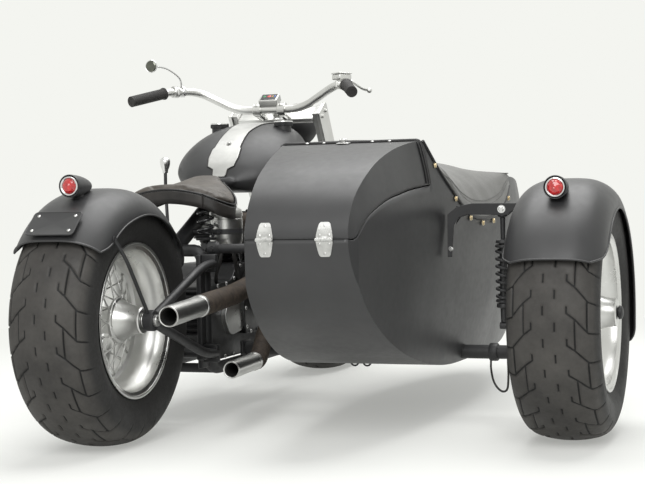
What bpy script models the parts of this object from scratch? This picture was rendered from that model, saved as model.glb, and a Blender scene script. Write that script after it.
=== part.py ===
"""Low custom motorcycle with a boat-tailed sidecar, built in metres with +Z up.

The bike's centre plane is x = 0 and its rear axle is y = 0 while it is being built,
the front wheel is towards +Y and the sidecar towards +X. At the end the whole model
is centred over its footprint.
"""
import math

import bpy
import bmesh
import numpy as np
from mathutils import Matrix, Vector

# Driving dimensions

# The three wheels share one size
tyre_radius = 0.333
tyre_width = 0.230
tyre_wall = 0.012
wheel_steps = 28
rim_radius = 0.2078
rim_width = 0.204
rim_wall = 0.006
bead_seat = 0.194
wheelbase = 1.740
track = 1.187
side_wheel_lead = 0.356
axle_radius = 0.0125
hub_flange = 0.060
hub_half_width = 0.120
hub_end_radius = 0.036
flange_across = 0.047
hub_flange_half = 0.003
spoke_radius = 0.0022
spokes_a_side = 8
hub_steps = 12

# Meshes that meet keep this much apart
touch = 0.0003

# Belt drive, on the bike's left
pulley_radius = 0.100
belt_low = -0.1435
belt_high = -0.1295
front_pulley = (0.570, 0.340)

# Steering
rake = math.radians(32.0)
yoke_y = 1.330
yoke_z = 0.935
stem_radius = 0.016
head_radius = 0.030
fork_half_width = 0.170
fork_plate = 0.030
fork_depth = 0.080

# Bike
frame_tube = 0.018
backbone_tube = 0.024
cradle_half_width = 0.110
cradle_z = 0.150
post_y = 0.420
tunnel_gap = 0.004
fender_gap = 0.018
fender_sheet = 0.003
fender_half_width = 0.129
fender_side = 0.079
# The fenders' section: depth below the crown, share of the half-width
fender_rows = ((fender_side, 1.00), (0.055, 0.97), (0.030, 0.84), (0.012, 0.64), (0.002, 0.35), (0.0, 0.0))
lamp_radius = 0.030
# How far the lamps' mouths stand off the fenders, and how far behind the top they sit
lamp_lifts = {"rear": 0.0423, "side": 0.0390}
lamp_angles = {"rear": math.radians(24.8), "side": math.radians(32.75)}
pipe_radius = 0.0285
pipe_wall = 0.003
bar_radius = 0.0135
grip_radius = 0.0185

# Sidecar body
arm_inset = 0.157
arm_x = track - arm_inset
arm_sheet = 0.020
arm_gap = 0.127
bike_reach = 0.297
body_half_width = (arm_x - arm_sheet / 2 - arm_gap - bike_reach) / 2
body_x = bike_reach + body_half_width
body_wall = 0.004
body_tail_y = -0.115
body_seam_z = 0.545
body_top_z = 0.805
body_bottom_z = 0.165
body_nose_y = 1.850
seam_gap = 0.003
lid_front_y = 0.335
hinge_radius = 0.005
hinge_width = 0.044
hinge_leaf = 0.042
hinge_sheet = 0.002
hinge_shares = {"left": -0.2735, "right": 0.2517}
chassis_tube = 0.020

PARTS = bpy.data.collections.new("sidecar_motorcycle")
CUTTERS = bpy.data.collections.new("cutters")


# Scene and materials

def clear_scene():
    """Remove the objects that the file opened with."""
    for old in list(bpy.data.objects):
        bpy.data.objects.remove(old, do_unlink=True)
    bpy.context.scene.collection.children.link(PARTS)
    bpy.context.scene.collection.children.link(CUTTERS)


def make_finish(name, colour, roughness, metallic=0.0):
    """A Principled material with the piece's colour, roughness and metallic value."""
    finish = bpy.data.materials.new(name)
    finish.use_nodes = True
    shader = finish.node_tree.nodes["Principled BSDF"]
    shader.inputs["Base Color"].default_value = (*colour, 1.0)
    shader.inputs["Roughness"].default_value = roughness
    shader.inputs["Metallic"].default_value = metallic
    return finish


# Shapes, each a temporary object

def add(mesh, name="shape"):
    """Link a new object that holds a mesh or a curve."""
    shape = bpy.data.objects.new(name, mesh)
    CUTTERS.objects.link(shape)
    return shape


def from_bmesh(bm):
    """Turn an edited mesh into an object."""
    mesh = bpy.data.meshes.new("shape")
    bmesh.ops.recalc_face_normals(bm, faces=bm.faces)
    bm.to_mesh(mesh)
    bm.free()
    return add(mesh)


def turn_to(axis):
    """Rotation that carries local +Z to an axis."""
    return Vector(axis).normalized().to_track_quat("Z", "X").to_matrix().to_4x4()


def box(size, centre, tilt=(0, 0, 0), bevel=0.0):
    """A box with its edges bevelled, turned by tilt about its centre."""
    bm = bmesh.new()
    bmesh.ops.create_cube(bm, size=1.0)
    bmesh.ops.scale(bm, vec=size, verts=bm.verts)
    if bevel:
        bmesh.ops.bevel(bm, geom=bm.edges, offset=bevel, segments=1, affect="EDGES")
    spin = Matrix.Rotation(tilt[2], 4, "Z") @ Matrix.Rotation(tilt[1], 4, "Y")
    place = Matrix.Translation(centre) @ spin @ Matrix.Rotation(tilt[0], 4, "X")
    bmesh.ops.transform(bm, matrix=place, verts=bm.verts)
    return from_bmesh(bm)


def rod(start, end, radius, end_radius=None, sides=12):
    """A straight round bar or cone between two points."""
    start, end = Vector(start), Vector(end)
    bm = bmesh.new()
    bmesh.ops.create_cone(bm, cap_ends=True, segments=sides, radius1=radius,
                          radius2=radius if end_radius is None else end_radius,
                          depth=(end - start).length)
    place = Matrix.Translation((start + end) / 2) @ turn_to(end - start)
    bmesh.ops.transform(bm, matrix=place, verts=bm.verts)
    return from_bmesh(bm)


def turned(profile, centre, axis, steps, closed=False, angle=2 * math.pi, start=0.0):
    """Screw a profile of (radius, height) pairs about an axis.

    The profile runs down its outer side. A closed one goes on up its inner side.
    """
    mesh = bpy.data.meshes.new("profile")
    cos, sin = math.cos(start), math.sin(start)
    points = [(r * cos, r * sin, h) for r, h in profile]
    count = len(points)
    edges = [(i, i + 1) for i in range(count - 1)]
    if closed:
        edges.append((count - 1, 0))
    mesh.from_pydata(points, edges, [])
    shape = add(mesh)
    screw = shape.modifiers.new("screw", "SCREW")
    screw.angle = angle
    screw.steps = steps
    screw.render_steps = steps
    screw.use_merge_vertices = True
    screw.merge_threshold = 0.00002
    shape.matrix_world = Matrix.Translation(centre) @ turn_to(axis)
    return flatten(shape)


def flatten(shape):
    """Replace a shape by its evaluated mesh, with doubles merged and its place applied."""
    bpy.context.view_layer.update()
    depsgraph = bpy.context.evaluated_depsgraph_get()
    mesh = bpy.data.meshes.new_from_object(shape.evaluated_get(depsgraph))
    mesh.transform(shape.matrix_world)
    bm = bmesh.new()
    bm.from_mesh(mesh)
    bmesh.ops.remove_doubles(bm, verts=bm.verts, dist=0.00001)
    bm.to_mesh(mesh)
    bm.free()
    bpy.data.objects.remove(shape, do_unlink=True)
    return add(mesh)


def rounded(points, cut, corner_steps=3):
    """Round the corners of a polyline with short arcs of about the given setback."""
    path = [Vector(p) for p in points]
    out = [path[0]]
    for before, corner, after in zip(path, path[1:], path[2:]):
        back = min(cut, (corner - before).length * 0.45)
        ahead = min(cut, (after - corner).length * 0.45)
        first = corner + (before - corner).normalized() * back
        last = corner + (after - corner).normalized() * ahead
        for step in range(corner_steps + 1):
            t = step / corner_steps
            out.append(first * (1 - t) ** 2 + corner * 2 * t * (1 - t) + last * t ** 2)
    out.append(path[-1])
    return out


def pipe(points, radius, bend=0.0, resolution=2, cyclic=False):
    """A round tube along a polyline whose corners are bent."""
    path = rounded(points, bend) if bend else [Vector(p) for p in points]
    curve = bpy.data.curves.new("pipe", "CURVE")
    curve.dimensions = "3D"
    curve.bevel_depth = radius
    curve.bevel_resolution = resolution
    curve.use_fill_caps = not cyclic
    spline = curve.splines.new("POLY")
    spline.points.add(len(path) - 1)
    for point, place in zip(spline.points, path):
        point.co = (*place, 1.0)
    spline.use_cyclic_u = cyclic
    return flatten(add(curve))


def plate(outline, low, high, plane="YZ"):
    """A flat outline extruded across its plane, from low to high.

    In plane YZ the outline's points are (y, z), in XY (x, y) and in XZ (x, z).
    """
    curve = bpy.data.curves.new("plate", "CURVE")
    curve.dimensions = "2D"
    curve.fill_mode = "BOTH"
    curve.extrude = (high - low) / 2
    spline = curve.splines.new("POLY")
    spline.points.add(len(outline) - 1)
    for point, (u, v) in zip(spline.points, outline):
        point.co = (u, v, 0.0, 1.0)
    spline.use_cyclic_u = True
    shape = add(curve)
    middle = (high + low) / 2
    if plane == "YZ":
        rows = ((0, 0, 1, middle), (1, 0, 0, 0), (0, 1, 0, 0), (0, 0, 0, 1))
    elif plane == "XZ":
        rows = ((1, 0, 0, 0), (0, 0, -1, middle), (0, 1, 0, 0), (0, 0, 0, 1))
    else:
        rows = ((1, 0, 0, 0), (0, 1, 0, 0), (0, 0, 1, middle), (0, 0, 0, 1))
    shape.matrix_world = Matrix(rows)
    return flatten(shape)


def loft(rings):
    """A closed skin through rings of equally many points, capped at both ends."""
    rings = np.asarray(rings, dtype=float)
    count, size = rings.shape[:2]
    faces = []
    for i in range(count - 1):
        for j in range(size):
            k = (j + 1) % size
            faces.append((i * size + j, i * size + k, (i + 1) * size + k, (i + 1) * size + j))
    faces.append(tuple(range(size)))
    faces.append(tuple((count - 1) * size + j for j in range(size)))
    mesh = bpy.data.meshes.new("loft")
    mesh.from_pydata([tuple(p) for p in rings.reshape(-1, 3)], [], faces)
    bm = bmesh.new()
    bm.from_mesh(mesh)
    bmesh.ops.recalc_face_normals(bm, faces=bm.faces)
    bm.to_mesh(mesh)
    bm.free()
    return add(mesh)


# Joining and cutting

def combine(base, other, operation):
    """Boolean one shape with another and drop the other."""
    step = base.modifiers.new(operation.lower(), "BOOLEAN")
    step.operation = operation
    step.object = other
    step.solver = "EXACT"
    result = flatten(base)
    bpy.data.objects.remove(other, do_unlink=True)
    return result


def union(*shapes):
    base = shapes[0]
    for other in shapes[1:]:
        base = combine(base, other, "UNION")
    return base


def cut(base, *tools):
    for tool in tools:
        base = combine(base, tool, "DIFFERENCE")
    return base


def common(base, other):
    return combine(base, other, "INTERSECT")


def copy_of(shape, offset=(0, 0, 0)):
    """A second object with its own mesh, moved by an offset."""
    mesh = shape.data.copy()
    mesh.transform(Matrix.Translation(offset))
    return add(mesh)


def mirrored(shape):
    """The same shape on the other side of the plane x = 0."""
    mesh = shape.data.copy()
    mesh.transform(Matrix.Scale(-1, 4, (1, 0, 0)))
    mesh.flip_normals()
    return add(mesh)


def both_sides(shape):
    """A shape joined with its mirror image across the plane x = 0."""
    return union(shape, mirrored(shape))


def piece(name, shape, finish, pivot=(0, 0, 0), sharp=35.0):
    """Name a finished shape, give it its finish and put its origin at its pivot."""
    mesh = shape.data
    mesh.name = name
    mesh.transform(Matrix.Translation(-Vector(pivot)))
    mesh.materials.clear()
    mesh.materials.append(finish)
    mesh.shade_smooth()
    mesh.set_sharp_from_angle(angle=math.radians(sharp))
    shape.name = name
    shape.location = pivot
    CUTTERS.objects.unlink(shape)
    PARTS.objects.link(shape)
    return shape


# Wheels

def tyre_profile():
    """Outer side of a wide low tyre from one bead to the other, then the inner side back."""
    half = tyre_width / 2
    bead = bead_seat + touch
    flange = rim_width / 2 - rim_wall

    def up(share):
        return rim_radius + (tyre_radius - rim_radius) * share

    outer = [(bead, flange - 0.0025), (rim_radius + 0.0008, flange - 0.0005), (up(0.43), half),
             (up(0.72), half - 0.008), (up(0.90), half - 0.032), (tyre_radius, 0.026)]
    outer += [(r, -h) for r, h in reversed(outer)]
    inner = [(bead, -0.078), (up(0.26), -(half - tyre_wall - 0.004)), (up(0.74), -(half - 0.032))]
    inner += [(r, -h) for r, h in reversed(inner)]
    return outer + inner


def rim_profile():
    """A drop-centre rim with a nipple ridge inside, outer side first."""
    edge = rim_width / 2
    outer = [(rim_radius, edge), (rim_radius, edge - rim_wall), (bead_seat, edge - rim_wall),
             (bead_seat, 0.072), (0.174, 0.054)]
    outer += [(r, -h) for r, h in reversed(outer)]
    inner = [(0.195, -edge), (0.186, -0.076), (0.164, -0.050), (0.158, -0.007)]
    inner += [(r, -h) for r, h in reversed(inner)]
    return outer + inner


def spoke_set(centre, side):
    """Spokes from one hub flange to the rim's ridge, all leaning the same way."""
    lean = math.radians(42.0) * side
    shapes = []
    for index in range(spokes_a_side):
        angle = 2 * math.pi * (index + 0.25 * side) / spokes_a_side
        hub_end = (hub_flange - 0.006, angle)
        rim_end = (0.162, angle + lean)
        ends = []
        for (radius, turn), across in ((hub_end, flange_across * side), (rim_end, 0.002 * side)):
            ends.append((centre[0] + across, centre[1] + radius * math.sin(turn),
                         centre[2] + radius * math.cos(turn)))
        shapes.append(rod(ends[0], ends[1], spoke_radius, sides=3))
    return shapes


def join_loose(shapes):
    """Put shapes that don't touch into one mesh, ready to be joined by a Boolean."""
    bm = bmesh.new()
    for shape in shapes:
        bm.from_mesh(shape.data)
        bpy.data.objects.remove(shape, do_unlink=True)
    mesh = bpy.data.meshes.new("group")
    bm.to_mesh(mesh)
    bm.free()
    return add(mesh)


def wheel_shape():
    """Rim, hub and spokes of one wheel, centred on the origin with its axle along X."""
    rim = turned(rim_profile(), (0, 0, 0), (1, 0, 0), wheel_steps, closed=True)
    bore = axle_radius + touch
    low, high = flange_across - hub_flange_half, flange_across + hub_flange_half
    hub = [(bore, hub_half_width), (hub_end_radius, hub_half_width), (hub_flange - 0.016, 0.090),
           (hub_flange - 0.006, high + 0.004), (hub_flange, high), (hub_flange, low),
           (hub_end_radius, low - 0.012)]
    hub += [(r, -h) for r, h in reversed(hub)]
    hub = turned(hub, (0, 0, 0), (1, 0, 0), hub_steps, closed=True)
    left = join_loose(spoke_set((0, 0, 0), -1))
    right = join_loose(spoke_set((0, 0, 0), 1))
    return union(rim, left, right, hub)


def pulley_shape(centre):
    """Belt pulley and its carrier tube, on the left of the rear hub."""
    low, high = belt_low + 0.001, belt_high - 0.001
    inner = 0.006 - hub_half_width
    profile = [(0.030, inner), (0.030, high), (pulley_radius, high), (pulley_radius, low), (0.0212, low),
               (0.0212, inner)]
    return turned(profile, centre, (1, 0, 0), 32, closed=True)


def make_wheels(finish):
    """The three wire wheels and their tyres."""
    master = wheel_shape()
    tyre = turned(tyre_profile(), (0, 0, 0), (1, 0, 0), wheel_steps, closed=True)
    for name, centre in wheel_centres().items():
        wheel = copy_of(master, centre)
        if name == "rear":
            wheel = union(wheel, pulley_shape(centre))
        piece(name + "_wheel", wheel, finish["polished"], centre)
        piece(name + "_tyre", copy_of(tyre, centre), finish["rubber"], centre)
    bpy.data.objects.remove(master, do_unlink=True)
    bpy.data.objects.remove(tyre, do_unlink=True)


def wheel_centres():
    return {"rear": (0.0, 0.0, tyre_radius), "front": (0.0, wheelbase, tyre_radius),
            "side": (track, side_wheel_lead, tyre_radius)}


# Fenders and lamps

def fender_section(half_width, grow=0.0):
    """The round outside of a fender: (distance from the axle, place across), right to left."""
    crown = tyre_radius + fender_gap + grow
    right = [(crown - depth, half_width * share + grow) for depth, share in fender_rows[:-1]]
    return right + [(crown, 0.0)] + [(r, -h) for r, h in reversed(right)]


def fender_shape(centre, rear_lift, front_lift, half_width):
    """A crowned fender bent round a wheel.

    rear_lift and front_lift are the angles of its two lips above the axle's level.
    """
    section = fender_section(half_width)
    start = -(math.pi / 2 - front_lift)
    sweep = math.pi - rear_lift - front_lift
    steps = round(sweep / math.radians(10.5))
    shell = turned(section, centre, (1, 0, 0), steps, angle=sweep, start=start)
    wall = shell.modifiers.new("wall", "SOLIDIFY")
    wall.thickness = fender_sheet
    wall.offset = -1.0
    return flatten(shell)


def over_fender(centre):
    """Round cutter with the fender's section that gives a piece the seat it needs."""
    section = fender_section(fender_half_width, touch)
    closed = [(0.0, section[0][1])] + section + [(0.0, section[-1][1])]
    return turned(closed, centre, (1, 0, 0), 90)


def lamp_shape(place, wheel):
    """Bullet lamp housing with an open mouth at the back, seated on a fender."""
    mouth = lamp_radius
    profile = [(0.0, 0.110), (0.012, 0.100), (0.024, 0.060), (mouth - 0.001, 0.020), (mouth, 0.0),
               (mouth - 0.005, 0.0), (mouth - 0.007, 0.012), (0.0, 0.012)]
    shell = turned(profile, place, (0, 1, 0), 16)
    foot_y = place[1] + 0.045
    foot = rod((place[0], foot_y, place[2]), (place[0], foot_y, place[2] - 0.060), 0.016)
    return cut(union(shell, foot), over_fender(wheel))


def lens_shape(place):
    """Domed lamp glass inside the housing's mouth."""
    rim = lamp_radius - 0.008
    profile = [(rim, 0.0115), (rim, 0.0), (rim * 0.7, -0.006), (0.0, -0.009)]
    profile = [(0.0, 0.0115)] + profile
    return turned(profile, place, (0, 1, 0), 16)


# Sidecar body

# Half-widths of the body at stations along it, one row for each height, as shares of the greatest
width_stations = (-0.140, -0.080, 0.100, 0.300, 0.500, 0.850, 1.150, 1.450, 1.700, 1.860)
width_rows = (
    (0.120, (0.403, 0.477, 0.554, 0.621, 0.671, 0.721, 0.688, 0.554, 0.352, 0.101)),
    (0.300, (0.409, 0.490, 0.577, 0.671, 0.772, 0.879, 0.839, 0.688, 0.453, 0.168)),
    (0.480, (0.416, 0.503, 0.611, 0.732, 0.839, 0.966, 0.923, 0.755, 0.503, 0.201)),
    (0.600, (0.416, 0.493, 0.624, 0.755, 0.866, 1.000, 0.956, 0.779, 0.503, 0.201)),
    (0.690, (0.413, 0.473, 0.554, 0.695, 0.839, 0.973, 0.923, 0.738, 0.470, 0.168)),
    (0.840, (0.403, 0.450, 0.487, 0.617, 0.738, 0.856, 0.805, 0.621, 0.369, 0.101)),
)
# Side view of the cockpit's rim, from the top of the lid forward to the cowl
rim_points = ((lid_front_y, 0.795), (0.430, 0.685), (0.560, 0.600), (0.700, 0.576), (0.850, 0.600),
              (1.000, 0.672))
# Half-width and top of the slabs that cut the body, both clear of it
plan_reach = 1.4 * body_half_width
above_body = body_top_z + 0.1
# Side view of the lid's lower edge, forward of the seam
lid_rise = ((-0.046, 0.585), (0.000, 0.611), (0.070, 0.634), (0.156, 0.652), (0.304, 0.672))


def quarter(centre, axes, first, last, steps):
    """Points (y, z) on a quarter of an ellipse, angles in degrees above the +Y direction."""
    angles = np.radians(np.linspace(first, last, steps))
    return [(centre[0] + axes[0] * math.cos(a), centre[1] + axes[1] * math.sin(a)) for a in angles]


def tail_arc(inset=0.0, steps=9):
    """Side view of the tail from its bottom, round the back, to its top."""
    low, top = (0.620, body_seam_z), (0.500, body_seam_z)
    below = quarter(low, (low[0] - body_tail_y - inset, body_seam_z - body_bottom_z - inset),
                    270, 180, steps)
    above = quarter(top, (top[0] - body_tail_y - inset, body_top_z - body_seam_z - inset),
                    180, 90, steps)
    return below + above[1:]


def nose_arc(inset=0.0, steps=8):
    """Side view of the nose from the cowl's top, round the front, to its bottom."""
    middle = (1.050, 0.430)
    cowl = 0.700
    length = body_nose_y - middle[0] - inset
    above = quarter(middle, (length, cowl - middle[1] - inset), 90, 0, steps)
    below = quarter(middle, (length, middle[1] - body_bottom_z - inset), 0, -90, steps)
    return above + below[1:]


def body_solid(inset):
    """The body's side view and its plan, level by level, cut to their common solid."""
    rings = []
    for level, widths in width_rows:
        places = [(w * body_half_width - inset, y) for w, y in zip(widths, width_stations)]
        right = [(body_x + w, y, level) for w, y in places]
        left = [(body_x - w, y, level) for w, y in places]
        rings.append(right + left[::-1])
    side_view = plate(tail_arc(inset) + nose_arc(inset), body_x - plan_reach, body_x + plan_reach)
    return common(loft(rings), side_view)


def lid_space(grow):
    """The space that the lid takes, grown on its lower and front edges."""
    seam = body_seam_z + seam_gap / 2 - grow
    front = lid_front_y - seam_gap + grow
    outline = [(-0.300, seam), (-0.090, seam)] + [(y, z - grow) for y, z in lid_rise]
    outline += [(front, lid_rise[-1][1] - grow), (front, above_body), (-0.300, above_body)]
    return plate(outline, body_x - 1.01 * plan_reach, body_x + 1.01 * plan_reach)


def cockpit_space():
    """Everything above the cockpit's rim."""
    outline = list(rim_points) + [(rim_points[-1][0], above_body), (lid_front_y, above_body)]
    return plate(outline, body_x - 1.02 * plan_reach, body_x + 1.02 * plan_reach)


def make_body(finish):
    """The hollow hull with its bulkhead, and the trunk lid cut from the same skin."""
    skin = cut(body_solid(0.0), body_solid(body_wall))
    skin = cut(skin, cockpit_space())
    lid = common(copy_of(skin), lid_space(0.0))
    hull = cut(skin, lid_space(seam_gap))
    wall_y = lid_front_y - 0.010
    wide = 3 * body_half_width
    step_z, top_z = lid_rise[-1][1] - 0.018, body_top_z - 0.030
    low = box((wide, body_wall, step_z - body_bottom_z), (body_x, wall_y, (step_z + body_bottom_z) / 2))
    low = common(low, body_solid(body_wall / 2))
    rise = top_z - step_z + 0.024
    high = box((wide, body_wall * 0.9, rise), (body_x, wall_y, top_z - rise / 2))
    high = common(high, body_solid(0.014))
    hull = union(hull, union(low, high))
    for start, end, radius in cross_tubes() + struts():
        hull = cut(hull, rod(start, end, radius + touch, sides=16))
    piece("side_body", hull, finish["paint"])
    piece("lid", lid, finish["paint"], hinge_point())


def hinge_point():
    return (body_x, body_tail_y - hinge_radius - touch, body_seam_z)


def leaf_shape(side, offset):
    """One hinge plate lying on the tail's facet above (side 1) or below (side -1) the seam."""
    arc = tail_arc()
    middle = arc.index(min(arc, key=lambda p: p[0]))
    first, last = Vector(arc[middle]), Vector(arc[middle + side])
    along = (last - first).normalized()
    out = Vector((-abs(along.y), along.x * (1 if along.y > 0 else -1)))
    x = body_x + offset
    _, axis_y, axis_z = hinge_point()
    third = hinge_width / 3

    def strip(near, far, low, high, slim=0.0):
        under, over = touch + slim, touch + hinge_sheet - slim
        corners = [first + along * near + out * under, first + along * far + out * under,
                   first + along * far + out * over, first + along * near + out * over]
        return plate([tuple(p) for p in corners], low + slim, high - slim)

    leaf = strip(hinge_radius + 0.0006, hinge_leaf, x - hinge_width / 2, x + hinge_width / 2)
    if side > 0:
        half = third / 2 - touch
        ring = [(hinge_radius, half), (hinge_radius, -half), (0.0021, -half), (0.0021, half)]
        tongue = strip(0.0022, hinge_radius + 0.0020, x - half, x + half, 0.0002)
        return union(leaf, tongue, turned(ring, (x, axis_y, axis_z), (1, 0, 0), 12, closed=True))
    for way in (-1, 1):
        inner, outer = x + way * third / 2, x + way * third * 1.5
        tongue = strip(0.0022, hinge_radius + 0.0020, min(inner, outer), max(inner, outer), 0.0002)
        leaf = union(leaf, tongue, rod((inner, axis_y, axis_z), (outer, axis_y, axis_z), hinge_radius))
    pin = rod((x - third, axis_y, axis_z), (x + third, axis_y, axis_z), 0.0018, sides=8)
    return union(leaf, pin)


def make_hinges(finish):
    for word, share in hinge_shares.items():
        offset = share * body_half_width
        piece("hinge_body_" + word, leaf_shape(-1, offset), finish["steel"], hinge_point())
        piece("hinge_lid_" + word, leaf_shape(1, offset), finish["steel"], hinge_point())


def make_tonneau(finish):
    """Soft cover over the cockpit: a crowned solid that sits just above the rim."""
    # y, height of the rim, share of the body's half-width there, height of the crown
    rows = ((0.352, 0.7753, 0.695, 0.800), (0.430, 0.685, 0.795, 0.778), (0.560, 0.600, 0.889, 0.752),
            (0.700, 0.576, 0.936, 0.735), (0.850, 0.600, 0.997, 0.722), (0.999, 0.6715, 0.953, 0.712))
    rings = []
    for y, low, share, top in rows:
        half = share * body_half_width
        arch = [(1.0, 0.0), (0.88, 0.42), (0.66, 0.74), (0.35, 0.94), (0.0, 1.0)]
        arch += [(-u, v) for u, v in reversed(arch[:-1])]
        rings.append([(body_x + half * u, y, low + 2 * touch + (top - low) * v) for u, v in arch])
    piece("tonneau", loft(rings), finish["leather_grey"])


def make_latch(finish):
    """Turn catch on the lid's front edge."""
    y = lid_front_y - 0.030
    top = body_height(y)
    base = box((0.034, 0.020, 0.006), (body_x - 0.010, y, top + 0.003 + touch), bevel=0.001)
    knob = rod((body_x - 0.010, y, top + 0.005), (body_x - 0.010, y, top + 0.014), 0.006)
    latch = cut(union(base, knob), body_solid(-touch))
    piece("latch", latch, finish["steel"], hinge_point())


def body_height(y):
    """Height of the body's top at a place on the tail's upper arc."""
    arc = [p for p in tail_arc() if p[1] >= body_seam_z]
    return float(np.interp(y, [p[0] for p in arc], [p[1] for p in arc]))


# Sidecar chassis

pivot_y = 0.660
pivot_z = body_bottom_z + body_wall + chassis_tube + 0.002
shock_place = (arm_x - 0.036, 0.420)
# The shock's deck meets the side edge of the wheel's fender
bracket_z = 2 * tyre_radius + fender_gap - fender_side


def cross_tubes():
    """The two cross tubes: (start, end, radius), from the bike's cradle out to the right."""
    inner = cradle_half_width + frame_tube + touch
    outer = arm_x - arm_sheet / 2 - touch
    return [((inner, pivot_y, pivot_z), (outer, pivot_y, pivot_z), chassis_tube),
            ((inner, 1.020, pivot_z), (body_x + 0.40 * body_half_width, 1.020, pivot_z), chassis_tube)]


def struts():
    """Upper struts from the bike to the body: (start, end, radius)."""
    inner = cradle_half_width + frame_tube + touch
    return [((inner, 0.420, 0.505), (body_x - 0.72 * body_half_width, 0.420, 0.505), 0.014)]


def make_chassis(finish):
    tubes = [rod(start, end, radius, sides=16) for start, end, radius in cross_tubes()]
    rails = []
    rail = chassis_tube - 0.002
    for x in (body_x - body_half_width / 3, body_x + body_half_width / 3):
        rails.append(rod((x, 0.610, pivot_z), (x, 1.070, pivot_z), rail))
    frame = union(tubes[0], rails[0], rails[1], tubes[1])
    for y in (pivot_y, 1.020):
        start = cradle_half_width + frame_tube + touch
        foot = box((0.010, 0.060, 0.070), (start + 0.005, y, pivot_z - 0.010))
        frame = union(frame, foot)
    piece("side_frame", frame, finish["black"])
    (start, end, radius), = struts()
    strut = union(rod(start, end, radius, sides=16),
                  rod((start[0], start[1], start[2]), (start[0] + 0.030, start[1], start[2]), 0.022))
    piece("upper_strut", strut, finish["black"])


def make_side_suspension(finish):
    """Trailing arm with its stub axle, the coil-over shock and the bracket above it."""
    _, wheel_y, wheel_z = wheel_centres()["side"]
    outline = [(pivot_y + 0.026, pivot_z), (pivot_y, pivot_z + 0.026), (wheel_y + 0.060, wheel_z + 0.010),
               (wheel_y, wheel_z + 0.036), (wheel_y - 0.034, wheel_z), (wheel_y, wheel_z - 0.036),
               (wheel_y + 0.080, wheel_z - 0.060), (pivot_y, pivot_z - 0.026)]
    arm = plate(outline, arm_x - arm_sheet / 2, arm_x + arm_sheet / 2)
    hub = track + hub_half_width
    axle = [(0.0, hub + 0.015), (0.020, hub + 0.015), (0.020, hub + 0.002), (axle_radius, hub + 0.002),
            (axle_radius, track - hub_half_width - 0.002), (0.024, track - hub_half_width - 0.002),
            (0.024, arm_x), (0.0, arm_x)]
    axle = turned(axle, (0, wheel_y, wheel_z), (1, 0, 0), hub_steps)
    shock_x, shock_y = shock_place
    eye = rod((shock_x - 0.012, shock_y, 0.290), (arm_x - 0.005, shock_y, 0.290), 0.010)
    piece("side_arm", union(arm, axle, eye), finish["black"])

    top = bracket_z - 0.004 - touch
    coils = 9
    pitch = 0.0179
    start = top - 0.090
    profile = [(0.0, top), (0.014, top), (0.014, top - 0.014), (0.009, top - 0.016), (0.009, start)]
    for turn in range(coils):
        z = start - turn * pitch
        profile += [(0.014, z), (0.023, z - pitch / 2)]
    end = start - coils * pitch
    low = 0.290 + 0.010 + touch
    profile += [(0.018, end), (0.018, end - 0.012), (0.010, end - 0.016), (0.010, low), (0.0, low)]
    piece("shock", turned(profile, (shock_x, shock_y, 0), (0, 0, 1), 8), finish["black"])

    inner = body_x + 0.78 * body_half_width
    outer = track - fender_half_width
    deck = plate([(inner, bracket_z - 0.004), (outer, bracket_z - 0.004), (outer, bracket_z + 0.004),
                  (inner, bracket_z + 0.004)], shock_y - 0.035, shock_y + 0.035, plane="XZ")
    leg = box((0.030, 0.060, 0.130), (inner + 0.015, shock_y, bracket_z - 0.061))
    tab = box((0.030, 0.066, 0.044), (outer + 0.003, shock_y, bracket_z + 0.018))
    bracket = cut(union(deck, leg, tab), over_fender(wheel_centres()["side"]))
    piece("shock_bracket", cut(bracket, body_solid(-touch)), finish["black"])


hose_radius = 0.003
# From the cross tube's underside, down in a loop and up to the arm's inner face
hose_route = ((arm_x - 0.130, pivot_y, pivot_z - chassis_tube - touch), (arm_x - 0.129, 0.655, 0.140),
              (arm_x - 0.110, 0.610, 0.108), (arm_x - 0.075, 0.540, 0.095), (arm_x - 0.045, 0.480, 0.108),
              (arm_x - 0.032, 0.440, 0.150), (arm_x - 0.026, 0.410, 0.205), (arm_x - 0.022, 0.400, 0.245),
              (arm_x - arm_sheet / 2 - touch, 0.398, 0.262))


def smooth_route(points, count):
    """Points evenly spread on a smooth curve through a route."""
    route = np.array(points)
    extended = np.vstack((2 * route[0] - route[1], route, 2 * route[-1] - route[-2]))
    out = []
    for t in np.linspace(0, len(route) - 1.000001, count):
        i = int(t)
        f = t - i
        p0, p1, p2, p3 = extended[i:i + 4]
        out.append(0.5 * (2 * p1 + (p2 - p0) * f + (2 * p0 - 5 * p1 + 4 * p2 - p3) * f ** 2
                          + (3 * p1 - p0 - 3 * p2 + p3) * f ** 3))
    return [tuple(p) for p in out]


# Bike frame

def steer(x, ahead, up):
    """A place in the steering's own axes: across, ahead of its axis and up along it."""
    y = yoke_y + ahead * math.cos(rake) - up * math.sin(rake)
    z = yoke_z + ahead * math.sin(rake) + up * math.cos(rake)
    return (x, y, z)


yoke_half = 0.011
lower_yoke = -0.190


def backbone_path():
    """The main tube, from the head tube to the seat post's foot."""
    return [steer(0, 0, -0.095), (0, 0.800, 0.675), (0, 0.600, 0.575), (0, post_y + 0.020, 0.500)]


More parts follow.
